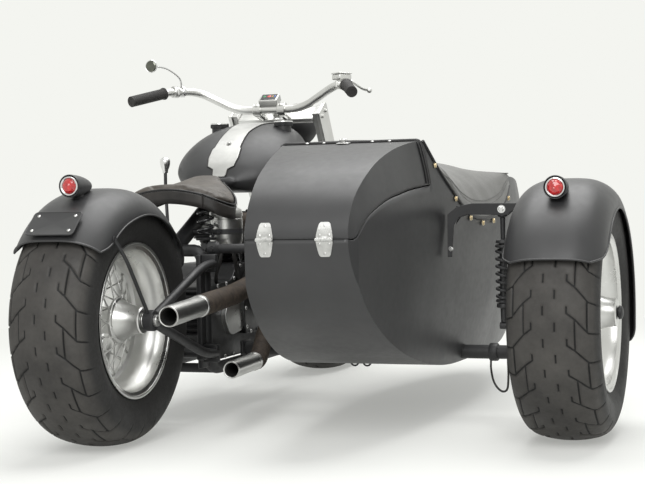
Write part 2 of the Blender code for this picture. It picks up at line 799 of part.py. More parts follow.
def make_frame(finish):
    x = cradle_half_width
    head = rod(steer(0, 0, -yoke_half - touch), steer(0, 0, lower_yoke + yoke_half + touch),
               head_radius, sides=20)
    backbone = pipe(backbone_path(), backbone_tube, bend=0.10)
    side = pipe([steer(0.012, 0, -0.110), (x * 0.4, 1.345, 0.760), (x, 1.310, 0.560), (x, 1.230, cradle_z),
                 (x, post_y, cradle_z), (x, post_y, 0.500), (x * 0.3, post_y + 0.020, 0.500)],
                frame_tube, bend=0.09, resolution=1)
    sides = both_sides(side)
    brace = rod((-x, post_y, 0.330), (x, post_y, 0.330), 0.014)
    under = rod((-x, post_y + 0.060, cradle_z), (x, post_y + 0.060, cradle_z), 0.014)
    frame = union(backbone, sides, head, brace, under)
    for way in (-1, 1):
        plate_x = way * x
        upright = box((0.016, 0.050, 0.330), (plate_x, post_y - 0.020, 0.325), bevel=0.004)
        frame = union(frame, upright)
    bore = rod(steer(0, 0, 0.02), steer(0, 0, -0.24), stem_radius + 0.0008, sides=20)
    piece("bike_frame", cut(frame, bore), finish["black"])


# Places across of the axle's bosses, and of the arms' tubes ahead of the tyre
boss_out = {"left": 0.158, "right": 0.140}
arm_spread = 0.158
boss_half = 0.013
boss_radius = 0.028


def swingarm_side(out):
    """A V of two tubes from the axle boss, at x = out, to the frame's right-hand plate."""
    boss = (out, 0.0, tyre_radius)
    inner = cradle_half_width + 0.008 + touch
    lug_y = post_y - frame_tube - touch - 0.011
    half = rod((out - boss_half, 0, tyre_radius), (out + boss_half, 0, tyre_radius), boss_radius, sides=20)
    for knee_z, lug_z, radius in ((0.460, 0.465, 0.0105), (0.215, 0.205, 0.0115)):
        tube = pipe([boss, (arm_spread, 0.300, knee_z), (arm_spread - 0.006, lug_y, lug_z)], radius,
                    bend=0.05, resolution=1)
        lug = box((arm_spread - inner + 0.004, 0.022, 0.055),
                  ((arm_spread + inner + 0.004) / 2, lug_y, lug_z))
        half = union(half, tube, lug)
    bore = rod((out - 0.03, 0, tyre_radius), (out + 0.03, 0, tyre_radius), axle_radius + touch)
    half = cut(half, bore)
    return union(half, box((0.024, 0.060, 0.030), (inner + 0.012, lug_y - 0.030, 0.205)))


def make_swingarm(finish):
    """The rear fork: its two sides and the tube that ties them together."""
    inner = cradle_half_width + 0.008 + touch
    tie_y = post_y - frame_tube - touch - 0.051
    tie = rod((-inner - 0.010, tie_y, 0.205), (inner + 0.010, tie_y, 0.205), 0.010)
    pattern = swingarm_side(boss_out["left"])
    arms = union(swingarm_side(boss_out["right"]), tie, mirrored(pattern))
    bpy.data.objects.remove(pattern, do_unlink=True)
    piece("swingarm", arms, finish["black"])


def axle_shape(centre, left, right):
    """Wheel spindle along X: pin in the hub, collars beside it, nuts at the ends.

    left and right are where what carries that end lies: (its outer face, its inner face).
    """
    hub = hub_half_width + 0.001
    profile = []
    for way, (outer, inner) in ((1, right), (-1, left)):
        half = [(0.0, outer + 0.012), (0.016, outer + 0.012), (0.016, outer + touch),
                (axle_radius, outer + touch), (axle_radius, inner - touch), (0.020, inner - touch),
                (0.020, hub), (axle_radius, hub)]
        profile += half if way > 0 else [(r, -h) for r, h in reversed(half)]
    return turned(profile, centre, (1, 0, 0), hub_steps)


def make_axles(finish):
    centres = wheel_centres()
    left, right = [(boss_out[word] + boss_half, boss_out[word] - boss_half) for word in ("left", "right")]
    piece("rear_axle", axle_shape(centres["rear"], left, right), finish["steel"], centres["rear"])
    leg = (fork_half_width, fork_half_width - fork_plate)
    piece("front_axle", axle_shape(centres["front"], leg, leg), finish["steel"], centres["front"])


def boss_seat():
    """Round cutter that seats the fender's stays on the axle bosses."""
    reach = boss_out["left"] + 0.03
    return rod((-reach, 0, tyre_radius), (reach, 0, tyre_radius), boss_radius + touch, sides=20)


# The fender's stays lean back from the axle by this angle
stay_lean = math.radians(38)


def stay_point(x, reach):
    """A place on a stay, at a distance from the axle."""
    return (x, -reach * math.sin(stay_lean), tyre_radius + reach * math.cos(stay_lean))


def make_fenders(finish):
    centres = wheel_centres()
    edge = tyre_radius + fender_gap - fender_side
    rear = fender_shape(centres["rear"], math.radians(39), math.radians(20), fender_half_width)
    side_x = fender_half_width - fender_sheet / 2
    for way, word in ((-1, "left"), (1, "right")):
        out = way * boss_out[word]
        stay = pipe([stay_point(way * side_x, edge + 0.006), stay_point(out, edge - 0.057),
                     stay_point(out, boss_radius / 2)], 0.005, bend=0.03, resolution=1)
        rear = union(rear, stay)
    piece("rear_fender", cut(rear, boss_seat()), finish["paint"])
    side = fender_shape(centres["side"], math.radians(26), math.radians(-20), fender_half_width)
    piece("side_fender", side, finish["paint"])
    inside = fork_half_width - fork_plate - touch
    front = fender_shape(centres["front"], math.radians(40), math.radians(70), inside)
    piece("front_fender", front, finish["paint"], steer(0, 0, 0))


def make_lamps(finish):
    for name, lift in lamp_lifts.items():
        wheel = wheel_centres()[name]
        reach = tyre_radius + fender_gap + lift
        back, up = reach * math.sin(lamp_angles[name]), reach * math.cos(lamp_angles[name])
        place = (wheel[0], wheel[1] - back, wheel[2] + up)
        piece(name + "_lamp", lamp_shape(place, wheel), finish["paint"])
        piece(name + "_lens", lens_shape(place), finish["red"])


def make_plate_bracket(finish):
    """Blank plate on two stand-offs, tangent to the back of the rear fender."""
    lift = math.radians(47)
    radius = tyre_radius + fender_gap
    centre = (0.0, -(radius + 0.009) * math.cos(lift), tyre_radius + (radius + 0.009) * math.sin(lift))
    out = Vector((0, -math.cos(lift), math.sin(lift)))
    shape = box((0.136, 0.003, 0.082), centre, (-lift, 0, 0))
    for x in (-0.030, 0.030):
        base = Vector((x, *centre[1:]))
        shape = union(shape, rod(base, base - out * 0.030, 0.007))
    shape = cut(shape, over_fender(wheel_centres()["rear"]))
    piece("plate_bracket", shape, finish["black"])


# Engine

crank = (0.0, 0.860, 0.360)
case_half = 0.120
cylinder_gap = 0.001


def make_engine(finish):
    """Crankcase, gearbox, primary case and the small output pulley in one solid."""
    floor = cradle_z + frame_tube + touch
    profile = [(0.545, floor), (1.060, floor), (1.085, floor + 0.040), (1.070, 0.400), (1.010, 0.450),
               (0.700, 0.450), (0.650, 0.400), (0.480, 0.390), (0.458, 0.350), (0.470, 0.240)]
    case = plate(profile, -case_half + 0.022, case_half - 0.022)
    wide = plate([(y, z) for y, z in ((0.700, 0.230), (1.020, 0.230), (1.040, 0.300), (1.000, 0.420),
                                      (0.740, 0.420), (0.690, 0.330))], -case_half, case_half)
    nose = rod((case_half - 0.01, crank[1], crank[2] - 0.02), (case_half + 0.030, crank[1], crank[2] - 0.02),
               0.085, 0.070, sides=24)
    neck = rod((-case_half + 0.01, crank[1] + 0.04, 0.330), (-0.160, crank[1] + 0.04, 0.330), 0.080, sides=20)
    primary = []
    for centre, radius, first in (((crank[1] + 0.04, 0.330), 0.105, -90), (front_pulley, 0.080, 90)):
        primary += quarter(centre, (radius, radius), first, first + 180, 9)
    primary = plate(primary, -0.200, -0.156)
    shaft = rod((-case_half + 0.03, *front_pulley), (belt_high, *front_pulley), 0.022)
    cover = rod((belt_high - 0.001, *front_pulley), (belt_low + 0.001, *front_pulley), 0.040, sides=24)
    boss = rod((belt_low + 0.002, *front_pulley), (-0.160, *front_pulley), 0.030, sides=20)
    case = union(case, wide, nose, neck, primary, shaft, cover, boss)
    piece("engine_case", case, finish["cast"])


def cylinder_shape(lean):
    """A finned barrel and head with its rocker box, leaning fore or aft by an angle."""
    fins = 6
    pitch = 0.020
    foot = 0.085
    profile = []
    top = foot + fins * pitch
    for fin in reversed(range(fins)):
        z = foot + fin * pitch
        profile += [(0.066, z + 0.013), (0.066, z + 0.007), (0.048, z + 0.0055), (0.048, z)]
    profile = [(0.0, top)] + [(0.048, top)] + profile + [(0.0, foot)]
    axis = Vector((0, math.sin(lean), math.cos(lean)))
    base = Vector(crank)
    barrel = turned(profile, base, axis, 10)
    tilt = (-lean, 0, 0)
    cap = base + axis * (top + 0.026)
    head = box((0.128, 0.104, 0.060), cap, tilt, bevel=0.012)
    return union(barrel, head)


def make_cylinders(finish):
    """The two cylinders of the narrow V, seated on the crankcase."""
    for name, lean in (("cylinder_rear", math.radians(-24)), ("cylinder_front", math.radians(24))):
        axis = Vector((0, math.sin(lean), math.cos(lean)))
        shape = cylinder_shape(lean)
        below = box((0.4, 1.2, 0.3), (0, crank[1], 0.450 + touch - 0.150))
        side = 1 if lean < 0 else -1
        beyond = box((0.4, 0.2, 0.5), (0, crank[1] + side * (0.1 - cylinder_gap), 0.550))
        shape = cut(shape, below, beyond)
        piece(name, shape, finish["cast"])


def make_intake(finish):
    """Round air cleaner on the right, between the cylinders."""
    z = 0.585
    profile = [(0.0, 0.196), (0.050, 0.194), (0.062, 0.184), (0.062, 0.150), (0.050, 0.146), (0.022, 0.146),
               (0.022, 0.078), (0.0, 0.078)]
    cleaner = turned(profile, (0, crank[1], z), (1, 0, 0), 20)
    foot = rod((0.084, crank[1], z), (0.084, crank[1], 0.450 + touch), 0.012)
    piece("air_cleaner", union(cleaner, foot), finish["polished"])


def make_oil_tank(finish):
    """Polished oil tank on the right below the saddle, on a bracket from the frame."""
    profile = [(0.0, 0.630), (0.030, 0.628), (0.046, 0.618), (0.050, 0.600), (0.050, 0.530), (0.042, 0.508),
               (0.0, 0.500)]
    tank = turned(profile, (0.128, 0.545, 0), (0, 0, 1), 20)
    bracket = rod((0.100, 0.545, 0.540), (0.015, 0.545, 0.552), 0.010)
    reach = pipe(backbone_path(), backbone_tube + touch, bend=0.10)
    piece("oil_tank", cut(union(tank, bracket), reach), finish["polished"])


def hollow_pipe(points, radius, bend, mouth):
    """A pipe whose mouth, at its first point, is bored open for a short way."""
    tube = pipe(points, radius, bend=bend, resolution=3)
    first, second = Vector(points[0]), Vector(points[1])
    along = (second - first).normalized()
    bore = rod(first - along * 0.01, first + along * mouth, radius - pipe_wall, sides=16)
    return cut(tube, bore)


def make_exhausts(finish):
    """Two exhausts on the right, from the cylinders' ports back to open mouths."""
    upper = [(0.215, -0.050, 0.348), (0.200, 0.420, 0.372), (0.190, 0.640, 0.400), (0.150, 0.762, 0.575),
             (0.0643, 0.762, 0.575)]
    piece("upper_pipe", hollow_pipe(upper, pipe_radius, 0.08, 0.12), finish["polished"])
    lower = [(0.260, 0.250, 0.175), (0.250, 0.480, 0.178), (0.215, 0.640, 0.270), (0.200, 0.920, 0.300),
             (0.170, 1.060, 0.480), (0.150, 0.958, 0.575),
             (0.0643, 0.958, 0.575)]
    piece("lower_pipe", hollow_pipe(lower, 0.0250, 0.08, 0.12), finish["polished"])


def make_drive_belt(finish):
    """The belt from the gearbox to the rear wheel's pulley, as one fixed loop."""
    rear, front = (0.0, tyre_radius), front_pulley
    outline = {}
    for name, extra in (("inner", 0.0013), ("outer", 0.0053)):
        outline[name] = (quarter(front, (0.040 + extra,) * 2, -88, 88, 9)
                         + quarter(rear, (pulley_radius + extra,) * 2, 84, 276, 17))
    through = plate(outline["inner"], belt_low - 0.01, belt_high + 0.01)
    loop = cut(plate(outline["outer"], belt_low, belt_high), through)
    piece("drive_belt", loop, finish["rubber"])


def make_foot_pegs(finish):
    """Forward pegs on one cross shaft that lies on the cradle."""
    y, z = 1.108, cradle_z + frame_tube + 0.010 + touch
    shaft = rod((-0.240, y, z), (0.240, y, z), 0.010)
    pegs = [rod((way * 0.150, y, z), (way * 0.235, y, z), 0.016) for way in (-1, 1)]
    piece("foot_pegs", union(shaft, *pegs), finish["polished"])


def make_shift_lever(finish):
    """Hand shift: a bent stem from the primary case up to a turned knob."""
    stem = pipe([(-0.178, 0.840, 0.4329), (-0.178, 0.840, 0.465), (-0.205, 0.850, 0.520),
                 (-0.235, 0.895, 0.660), (-0.238, 0.900, 0.740)], 0.0055, bend=0.05, resolution=1)
    knob = [(0.0, 0.790), (0.012, 0.788), (0.017, 0.778), (0.016, 0.758), (0.009, 0.738), (0.0, 0.738)]
    knob = turned(knob, (-0.238, 0.900, 0), (0, 0, 1), 14)
    piece("shift_lever", union(stem, knob), finish["polished"])


# Tank and saddle

# y, bottom, top, half-width and height of the widest place
tank_rows = (
    (0.790, 0.690, 0.716, 0.060, 0.702),
    (0.820, 0.675, 0.765, 0.130, 0.715),
    (0.880, 0.668, 0.822, 0.183, 0.735),
    (0.960, 0.672, 0.866, 0.200, 0.750),
    (1.060, 0.690, 0.893, 0.196, 0.772),
    (1.150, 0.715, 0.900, 0.172, 0.795),
    (1.215, 0.745, 0.893, 0.130, 0.812),
    (1.250, 0.785, 0.870, 0.070, 0.826),
)
dash_half = 0.036


def tank_solid(grow):
    """Fat tank as a loft of rounded sections whose tops are flat under the dash strip."""
    rings = []
    for y, low, top, half, wide in tank_rows:
        half = half + grow
        flat = min(dash_half + 0.006, half * 0.6)
        ring = [(flat, top + grow)]
        for angle in (60, 30, 0):
            a = math.radians(angle)
            ring.append((flat + (half - flat) * math.cos(a), wide + (top + grow - wide) * math.sin(a)))
        ring.append((half * 0.82, wide + (low - grow - wide) * 0.75))
        ring.append((half * 0.55, low - grow))
        ring += [(-x, z) for x, z in reversed(ring)]
        rings.append([(x, y, z) for x, z in ring])
    return loft(rings)


def make_tank(finish):
    path = backbone_path()
    straight = rod(path[0], Vector(path[1]) + (Vector(path[1]) - Vector(path[0])) * 0.2,
                   backbone_tube + touch, sides=20)
    start, end = Vector(path[1]), Vector(path[0])
    along = end - start
    tilt = math.atan2(along.z, along.y)
    down = Vector((0, math.sin(tilt), -math.cos(tilt)))
    middle = (start + end) / 2 + down * 0.10
    slot = box((2 * (backbone_tube + tunnel_gap), along.length * 1.4, 0.200), middle, (tilt, 0, 0))
    tank = cut(tank_solid(0.0), straight, slot)
    piece("fuel_tank", tank, finish["paint"])
    rings = []
    for y, low, top, half, wide in tank_rows[1:7]:
        x = dash_half
        rings.append([(x, y, top + touch), (-x, y, top + touch), (-x, y, top + 0.003), (x, y, top + 0.003)])
    piece("tank_dash", loft(rings), finish["steel"])
    for word, way in (("left", -1), ("right", 1)):
        place = (way * 0.115, 1.075, 0)
        cap = turned([(0.0, 0.904), (0.028, 0.904), (0.032, 0.900), (0.032, 0.888), (0.026, 0.886),
                      (0.026, 0.840), (0.0, 0.840)], place, (0, 0, 1), 20)
        piece("fuel_cap_" + word, cut(cap, tank_solid(touch)), finish["polished"])


# y, half-width, underside and crown of the saddle
saddle_rows = (
    (0.415, 0.110, 0.672, 0.694), (0.440, 0.152, 0.662, 0.698), (0.500, 0.172, 0.655, 0.694),
    (0.570, 0.150, 0.656, 0.692), (0.640, 0.105, 0.664, 0.706), (0.700, 0.062, 0.676, 0.722),
    (0.745, 0.036, 0.688, 0.722),
)


def saddle_loft(rows):
    """A soft solid through rounded sections, from (y, half-width, low, crown) rows."""
    rings = []
    for y, half, low, top in rows:
        ring = [(half * 0.55, top), (half * 0.90, top - (top - low) * 0.18), (half, low + (top - low) * 0.40),
                (half * 0.93, low)]
        ring += [(-x, z) for x, z in reversed(ring)]
        rings.append([(x, y, z) for x, z in ring])
    return loft(rings)


def coil_path(x, y, low, high, radius, turns, points=8):
    """Points on a helix about a vertical line."""
    angles = np.linspace(0, 2 * math.pi * turns, turns * points + 1)
    heights = np.linspace(low, high, len(angles))
    return [(x + radius * math.cos(a), y + radius * math.sin(a), z) for a, z in zip(angles, heights)]


def make_saddle(finish):
    """Leather saddle on a dark pan, with a coil spring on each side and a nose pivot."""
    piece("saddle", saddle_loft(saddle_rows), finish["leather_brown"])
    drop = 0.014
    rows = [(y, half * 0.86, low - drop, low - touch) for y, half, low, _ in saddle_rows]
    pan = saddle_loft(rows)
    for way in (-1, 1):
        x = way * 0.095
        spring = pipe(coil_path(x, 0.470, 0.535, 0.645, 0.024, 3, 7), 0.0042, resolution=0)
        seat = rod((x, 0.470, 0.637), (x, 0.470, 0.650), 0.030, sides=16)
        base = rod((x, 0.470, 0.527), (x, 0.470, 0.540), 0.030, sides=16)
        pan = union(pan, spring, seat, base)
    nose = rod((0, 0.700, 0.670), (0, 0.700, 0.635), 0.012)
    pan = union(pan, nose)
    reach = pipe(backbone_path(), backbone_tube + touch, bend=0.10)
    piece("saddle_pan", cut(pan, reach), finish["black"])


# Steering

def make_steering(finish):
    pivot = steer(0, 0, 0)
    axle = wheel_centres()["front"]
    stem = rod(steer(0, 0, 0.0), steer(0, 0, lower_yoke), stem_radius, sides=20)
    inner, outer = fork_half_width - fork_plate, fork_half_width
    def in_plane(ahead, up):
        return steer(0, ahead, up)[1:]
    reach = -(Vector(steer(0, 0, 0)) - Vector(axle)).dot(Vector((0, -math.sin(rake), math.cos(rake))))
    ahead = (Vector(axle) - Vector(steer(0, 0, 0))).dot(Vector((0, math.cos(rake), math.sin(rake))))
    half = fork_depth / 2
    outline = [in_plane(-half * 1.1, 0.030), in_plane(half * 1.1, 0.030), in_plane(half, -0.300),
               in_plane(ahead + half * 0.8, reach + 0.05), in_plane(ahead + half * 0.6, reach - 0.035),
               in_plane(ahead - half * 0.6, reach - 0.035), in_plane(ahead - half * 0.8, reach + 0.05),
               in_plane(-half, -0.300)]
    leg = plate(outline, inner, outer)
    hole = rod((inner - 0.01, *axle[1:]), (outer + 0.01, *axle[1:]), axle_radius + touch, sides=20)
    leg = cut(leg, hole)
    tilt = (rake, 0, 0)
    top = box((2 * inner + 0.004, 0.084, 2 * yoke_half), steer(0, 0, 0), tilt)
    low = box((2 * inner + 0.004, 0.084, 2 * yoke_half), steer(0, 0, lower_yoke), tilt)
    fork = union(leg, top, low, mirrored(leg), stem)
    piece("fork", fork, finish["polished"], pivot)

    bar_points = [(0.330, 1.100, 1.015), (0.320, 1.1213, 1.0203), (0.253, 1.210, 1.025),
                  (0.121, 1.250, 0.955)]
    left = [(-x, y, z) for x, y, z in bar_points]
    bar = pipe(left + bar_points[::-1], bar_radius, bend=0.07)
    centre = Vector((0, 1.250, 0.955)) - Vector(steer(0, 0, 0))
    bar_ahead = centre.dot(Vector((0, math.cos(rake), math.sin(rake))))
    bar_up = centre.dot(Vector((0, -math.sin(rake), math.cos(rake))))
    for way in (-1, 1):
        foot = steer(way * 0.045, -0.024, yoke_half + touch)
        riser = rod(foot, steer(way * 0.045, bar_ahead, bar_up), 0.016)
        bar = union(bar, riser)
    below = box((0.3, 0.3, 0.1), steer(0, 0, yoke_half + touch - 0.05), tilt)
    piece("handlebar", cut(bar, below), finish["polished"], pivot)

    gauge_z = 0.955 + bar_radius + 0.015 + touch
    gauge = box((0.068, 0.046, 0.030), (0, 1.250, gauge_z), (math.radians(14), 0, 0), bevel=0.003)
    gauge = cut(gauge, pipe([(-0.1, 1.250, 0.955), (0.1, 1.250, 0.955)], bar_radius + touch, resolution=4))
    piece("gauge", gauge, finish["steel"], pivot)
    for word, way in (("left", -1), ("right", 1)):
        start = Vector((way * 0.330, 1.100, 1.015))
        end = Vector((way * 0.392, 0.968, 0.982))
        along = (end - start).normalized()
        piece("grip_" + word, rod(start + along * touch, end, grip_radius, sides=16), finish["rubber"], pivot)

    clamp = Vector((0.300, 1.143, 1.019))
    body = box((0.046, 0.050, 0.026), clamp + Vector((-0.004, 0.012, 0.030)), (0, 0, math.radians(-35)),
               bevel=0.003)
    lever = pipe([clamp + Vector((0.0, 0.030, 0.022)), (0.345, 1.145, 1.020), (0.400, 1.060, 0.995),
                  (0.442, 1.000, 0.985)], 0.0055, bend=0.03, resolution=1)
    bar_clear = pipe(bar_points[:3], bar_radius + touch)
    piece("brake_lever", cut(union(body, lever), bar_clear), finish["polished"], pivot)

    stem = pipe([(-0.290, 1.158, 1.0345), (-0.292, 1.140, 1.070), (-0.310, 1.075, 1.098),
                 (-0.328, 1.008, 1.102)], 0.0035, bend=0.04, resolution=1)
    glass = rod((-0.330, 1.012, 1.102), (-0.330, 0.998, 1.101), 0.022, 0.023, sides=20)
    bar_clear = pipe(left[:3], bar_radius + touch)
    piece("mirror", cut(union(stem, glass), bar_clear), finish["polished"], pivot)

    lamp = [(0.0, -0.075), (0.030, -0.070), (0.062, -0.040), (0.078, 0.0), (0.078, 0.012), (0.070, 0.012),
            (0.068, 0.004), (0.0, 0.004)]
    place = Vector(steer(0, 0.150, -0.120))
    shell = turned(lamp[::-1], place, (0, 1, 0), 20)
    arm_root = steer(0, 0.0425, lower_yoke)
    arm = rod(Vector(arm_root), place + Vector((0, -0.03, -0.03)), 0.012)
    low_clear = box((2 * inner + 0.004, 0.0846, 2 * yoke_half + 2 * touch), steer(0, 0, lower_yoke), tilt)
    piece("headlamp", cut(union(shell, arm), low_clear), finish["black"], pivot)
    glass = [(0.0, 0.020), (0.040, 0.017), (0.067, 0.0085), (0.067, 0.0045), (0.0, 0.0045)]
    piece("headlamp_lens", turned(glass, place, (0, 1, 0), 20), finish["glass"], pivot)


def make_hose(finish):
    route = smooth_route(hose_route, 22)
    piece("brake_hose", pipe(route, hose_radius, resolution=1), finish["rubber"])


def centre_model():
    """Move the finished pieces so that the origin lies under the middle of their box."""
    bpy.context.view_layer.update()
    low, high = Vector((1e9,) * 3), Vector((-1e9,) * 3)
    for part in PARTS.objects:
        for corner in part.bound_box:
            place = part.matrix_world @ Vector(corner)
            low = Vector(map(min, low, place))
            high = Vector(map(max, high, place))
    shift = Vector((-(low.x + high.x) / 2, -(low.y + high.y) / 2, -low.z))
    for part in PARTS.objects:
        part.location += shift
    print("shift", tuple(round(v, 6) for v in shift))


def main():
    clear_scene()
    finish = {
        "paint": make_finish("satin black paint", (0.045, 0.045, 0.047), 0.42),
        "black": make_finish("matt black frame", (0.018, 0.018, 0.019), 0.55),
        "rubber": make_finish("tyre rubber", (0.028, 0.028, 0.028), 0.85),
        "polished": make_finish("polished aluminium", (0.80, 0.80, 0.79), 0.18, 1.0),
        "steel": make_finish("brushed steel", (0.62, 0.62, 0.60), 0.32, 1.0),
        "cast": make_finish("cast aluminium", (0.42, 0.42, 0.41), 0.45, 0.9),
        "leather_grey": make_finish("grey leather", (0.10, 0.10, 0.10), 0.60),
        "leather_brown": make_finish("brown leather", (0.13, 0.11, 0.09), 0.55),
        "red": make_finish("red lamp glass", (0.45, 0.01, 0.01), 0.15),
        "glass": make_finish("clear lamp glass", (0.75, 0.78, 0.80), 0.05),
    }
    make_wheels(finish)
    make_body(finish)
    make_hinges(finish)
    make_tonneau(finish)
    make_latch(finish)
    make_chassis(finish)
    make_side_suspension(finish)
    make_frame(finish)
    make_swingarm(finish)
    make_axles(finish)
    make_fenders(finish)
    make_lamps(finish)
    make_plate_bracket(finish)
    make_engine(finish)
    make_cylinders(finish)
    make_intake(finish)
    make_oil_tank(finish)
    make_exhausts(finish)
    make_drive_belt(finish)
    make_foot_pegs(finish)
    make_shift_lever(finish)
    make_tank(finish)
    make_saddle(finish)
    make_steering(finish)
    make_hose(finish)
    centre_model()


main()
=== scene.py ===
# %% [markdown]
# # A low motorcycle with a boat-tailed sidecar
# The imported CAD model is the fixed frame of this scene. Every cell makes one piece or
# one finish of the machine, says what it is on the real thing, and says why it is made
# the way it is. Lengths are metres, +Y is forwards and +X is the sidecar's side.

# %% Load the frame
import math
import bpy
import bmesh
import numpy as np
from mathutils import Matrix, Vector


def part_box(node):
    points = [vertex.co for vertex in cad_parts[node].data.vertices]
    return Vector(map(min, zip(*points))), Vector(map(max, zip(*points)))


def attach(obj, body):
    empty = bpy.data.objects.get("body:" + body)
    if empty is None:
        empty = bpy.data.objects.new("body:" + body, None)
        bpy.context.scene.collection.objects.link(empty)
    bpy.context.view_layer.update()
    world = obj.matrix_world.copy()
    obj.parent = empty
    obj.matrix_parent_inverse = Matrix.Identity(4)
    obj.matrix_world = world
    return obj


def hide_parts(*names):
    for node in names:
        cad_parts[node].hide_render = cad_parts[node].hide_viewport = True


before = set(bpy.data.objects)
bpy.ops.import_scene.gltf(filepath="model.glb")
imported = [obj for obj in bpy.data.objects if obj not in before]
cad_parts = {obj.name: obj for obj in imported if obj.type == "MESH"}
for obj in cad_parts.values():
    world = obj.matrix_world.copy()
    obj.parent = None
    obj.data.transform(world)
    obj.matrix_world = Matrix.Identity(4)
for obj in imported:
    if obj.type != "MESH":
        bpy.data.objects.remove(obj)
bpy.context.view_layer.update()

# %% [markdown]
# Sizes are easier to read when they start from the bike itself. So every number below is
# measured from the floor under the rear axle, in the bike's centre plane, and one array
# moves it into the row's frame.

# %% Where the bike's own zero lies
tyre_low, tyre_high = (np.array(corner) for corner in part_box("rear_tyre"))
home = np.array([*((tyre_low + tyre_high) / 2)[:2], 0.0])
wheel_radius = 0.333
wheel_places = {"rear": np.array([0, 0, wheel_radius]), "front": np.array([0, 1.74, wheel_radius]),
                "side": np.array([1.187, 0.356, wheel_radius])}
print("bike zero in the row's frame", home.round(4))

# %% [markdown]
# The camera was solved from the photograph by least squares on the wheels and lamps. Its
# matrix is written from its own three directions, so that no later step can turn it.

# %% Camera
def aim(place, yaw, pitch, roll, focal_px, width_px=645):
    """A camera from its place, its three angles in radians and its focal length in pixels.

    The view axis is turned by yaw to the left of +Y and lifted by pitch; the picture's
    own right and up directions then turn by roll about that axis.
    """
    forward = np.array([-math.sin(yaw) * math.cos(pitch), math.cos(yaw) * math.cos(pitch), math.sin(pitch)])
    right = np.cross(forward, (0, 0, 1)) / math.cos(pitch)
    up = np.cross(right, forward)
    turned_right = math.cos(roll) * right + math.sin(roll) * up
    turned_up = -math.sin(roll) * right + math.cos(roll) * up
    lens = bpy.data.cameras.new("camera")
    lens.sensor_width = 36.0
    lens.lens = focal_px / width_px * lens.sensor_width
    shooter = bpy.data.objects.new("camera", lens)
    columns = np.column_stack([turned_right, turned_up, -forward, place])
    shooter.matrix_world = Matrix([*columns.tolist(), [0, 0, 0, 1]])
    bpy.context.scene.collection.objects.link(shooter)
    bpy.context.scene.camera = shooter
    return shooter


camera = aim(home + (1.84188, -3.44198, 0.648874), 0.33998, -0.0311057, -0.0211736, 1451.061)
print("camera at", tuple(round(v, 3) for v in camera.location), "lens", round(camera.data.lens, 1))

# %% [markdown]
# Most pieces are grids of points worked out as whole arrays, and a skin of quads between
# the grid's lines makes each one a surface. A profile turned about an axis is such a grid.

# %% Grids and profiles
def unit(way):
    """A direction, or each row of directions, made one metre long."""
    return way / np.linalg.norm(way, axis=-1, keepdims=True)


def distances(line):
    """How far each point of a line lies from its start, measured along the line."""
    return np.concatenate([[0], np.cumsum(np.linalg.norm(np.diff(line, axis=0), axis=1))])


def skin(grid, wrap_rows=False, wrap_columns=False):
    """Quads between neighbouring points of a rows by columns grid of places.

    Returns the places, the quads and one (u, v) pair for each corner, where u runs from
    0 to 1 along the rows and v along the columns. A wrapped side joins last to first.
    """
    rows, columns = grid.shape[:2]
    i, j = np.meshgrid(np.arange(rows - (not wrap_rows)), np.arange(columns - (not wrap_columns)),
                       indexing="ij")
    corner_i = np.stack([i, i + 1, i + 1, i], -1)
    corner_j = np.stack([j, j, j + 1, j + 1], -1)
    quads = (corner_i % rows) * columns + corner_j % columns
    span = np.array([max(rows - (not wrap_rows), 1), max(columns - (not wrap_columns), 1)])
    uv = np.stack([corner_i, corner_j], -1) / span
    return grid.reshape(-1, 3), quads.reshape(-1, 4).tolist(), uv.reshape(-1, 2)


def frame_for(axis):
    """Two unit directions square to an axis and to each other."""
    axis = unit(np.asarray(axis, float))
    helper = np.array([0, 0, 1.0]) if abs(axis[2]) < 0.9 else np.array([1.0, 0, 0])
    first = unit(np.cross(helper, axis))
    return first, np.cross(axis, first), axis


def turned(profile, place, axis, steps=64, closed=False):
    """Turns (radius, height) pairs about an axis: place + radius round it + height along it."""
    profile = np.asarray(profile, float)
    first, second, along = frame_for(axis)
    angle = np.linspace(0, 2 * np.pi, steps, endpoint=False)
    ring = np.cos(angle)[:, None] * first + np.sin(angle)[:, None] * second
    grid = np.asarray(place) + profile[:, None, :1] * ring[None] + profile[:, None, 1:] * along
    return skin(grid, wrap_rows=closed, wrap_columns=True)


print("grids and profiles ready")

# %% [markdown]
# Bent rods, hoses and trims follow lines. A smooth line passes through its points like a
# spring laid through pins, and a bent line is straight with rounded corners, as a bender
# leaves a pipe. A tube carries a circle along either of them.

# %% Lines and tubes
def smooth_line(points, count):
    """A Catmull-Rom curve through points, cut into count stations evenly in its parameter."""
    points = np.asarray(points, float)
    padded = np.vstack([2 * points[0] - points[1], points, 2 * points[-1] - points[-2]])
    t = np.linspace(0, len(points) - 1 - 1e-9, count)
    index = t.astype(int)
    f = (t - index)[:, None]
    a, b, c, d = (padded[index + k] for k in range(4))
    return 0.5 * (2 * b + (c - a) * f + (2 * a - 5 * b + 4 * c - d) * f ** 2 + (3 * b - a - 3 * c + d)
                  * f ** 3)


def bent_line(points, setback, per_corner=9):
    """A polyline whose corners become parabolas that start a setback before each corner."""
    points = np.asarray(points, float)
    back, ahead = points[:-2] - points[1:-1], points[2:] - points[1:-1]
    back_length = np.linalg.norm(back, axis=1, keepdims=True)
    ahead_length = np.linalg.norm(ahead, axis=1, keepdims=True)
    start = points[1:-1] + back / back_length * np.minimum(setback, back_length * 0.45)
    end = points[1:-1] + ahead / ahead_length * np.minimum(setback, ahead_length * 0.45)
    t = np.linspace(0, 1, per_corner)[None, :, None]
    arcs = start[:, None] * (1 - t) ** 2 + points[1:-1][:, None] * 2 * t * (1 - t) + end[:, None] * t ** 2
    return np.vstack([points[:1], arcs.reshape(-1, points.shape[1]), points[-1:]])


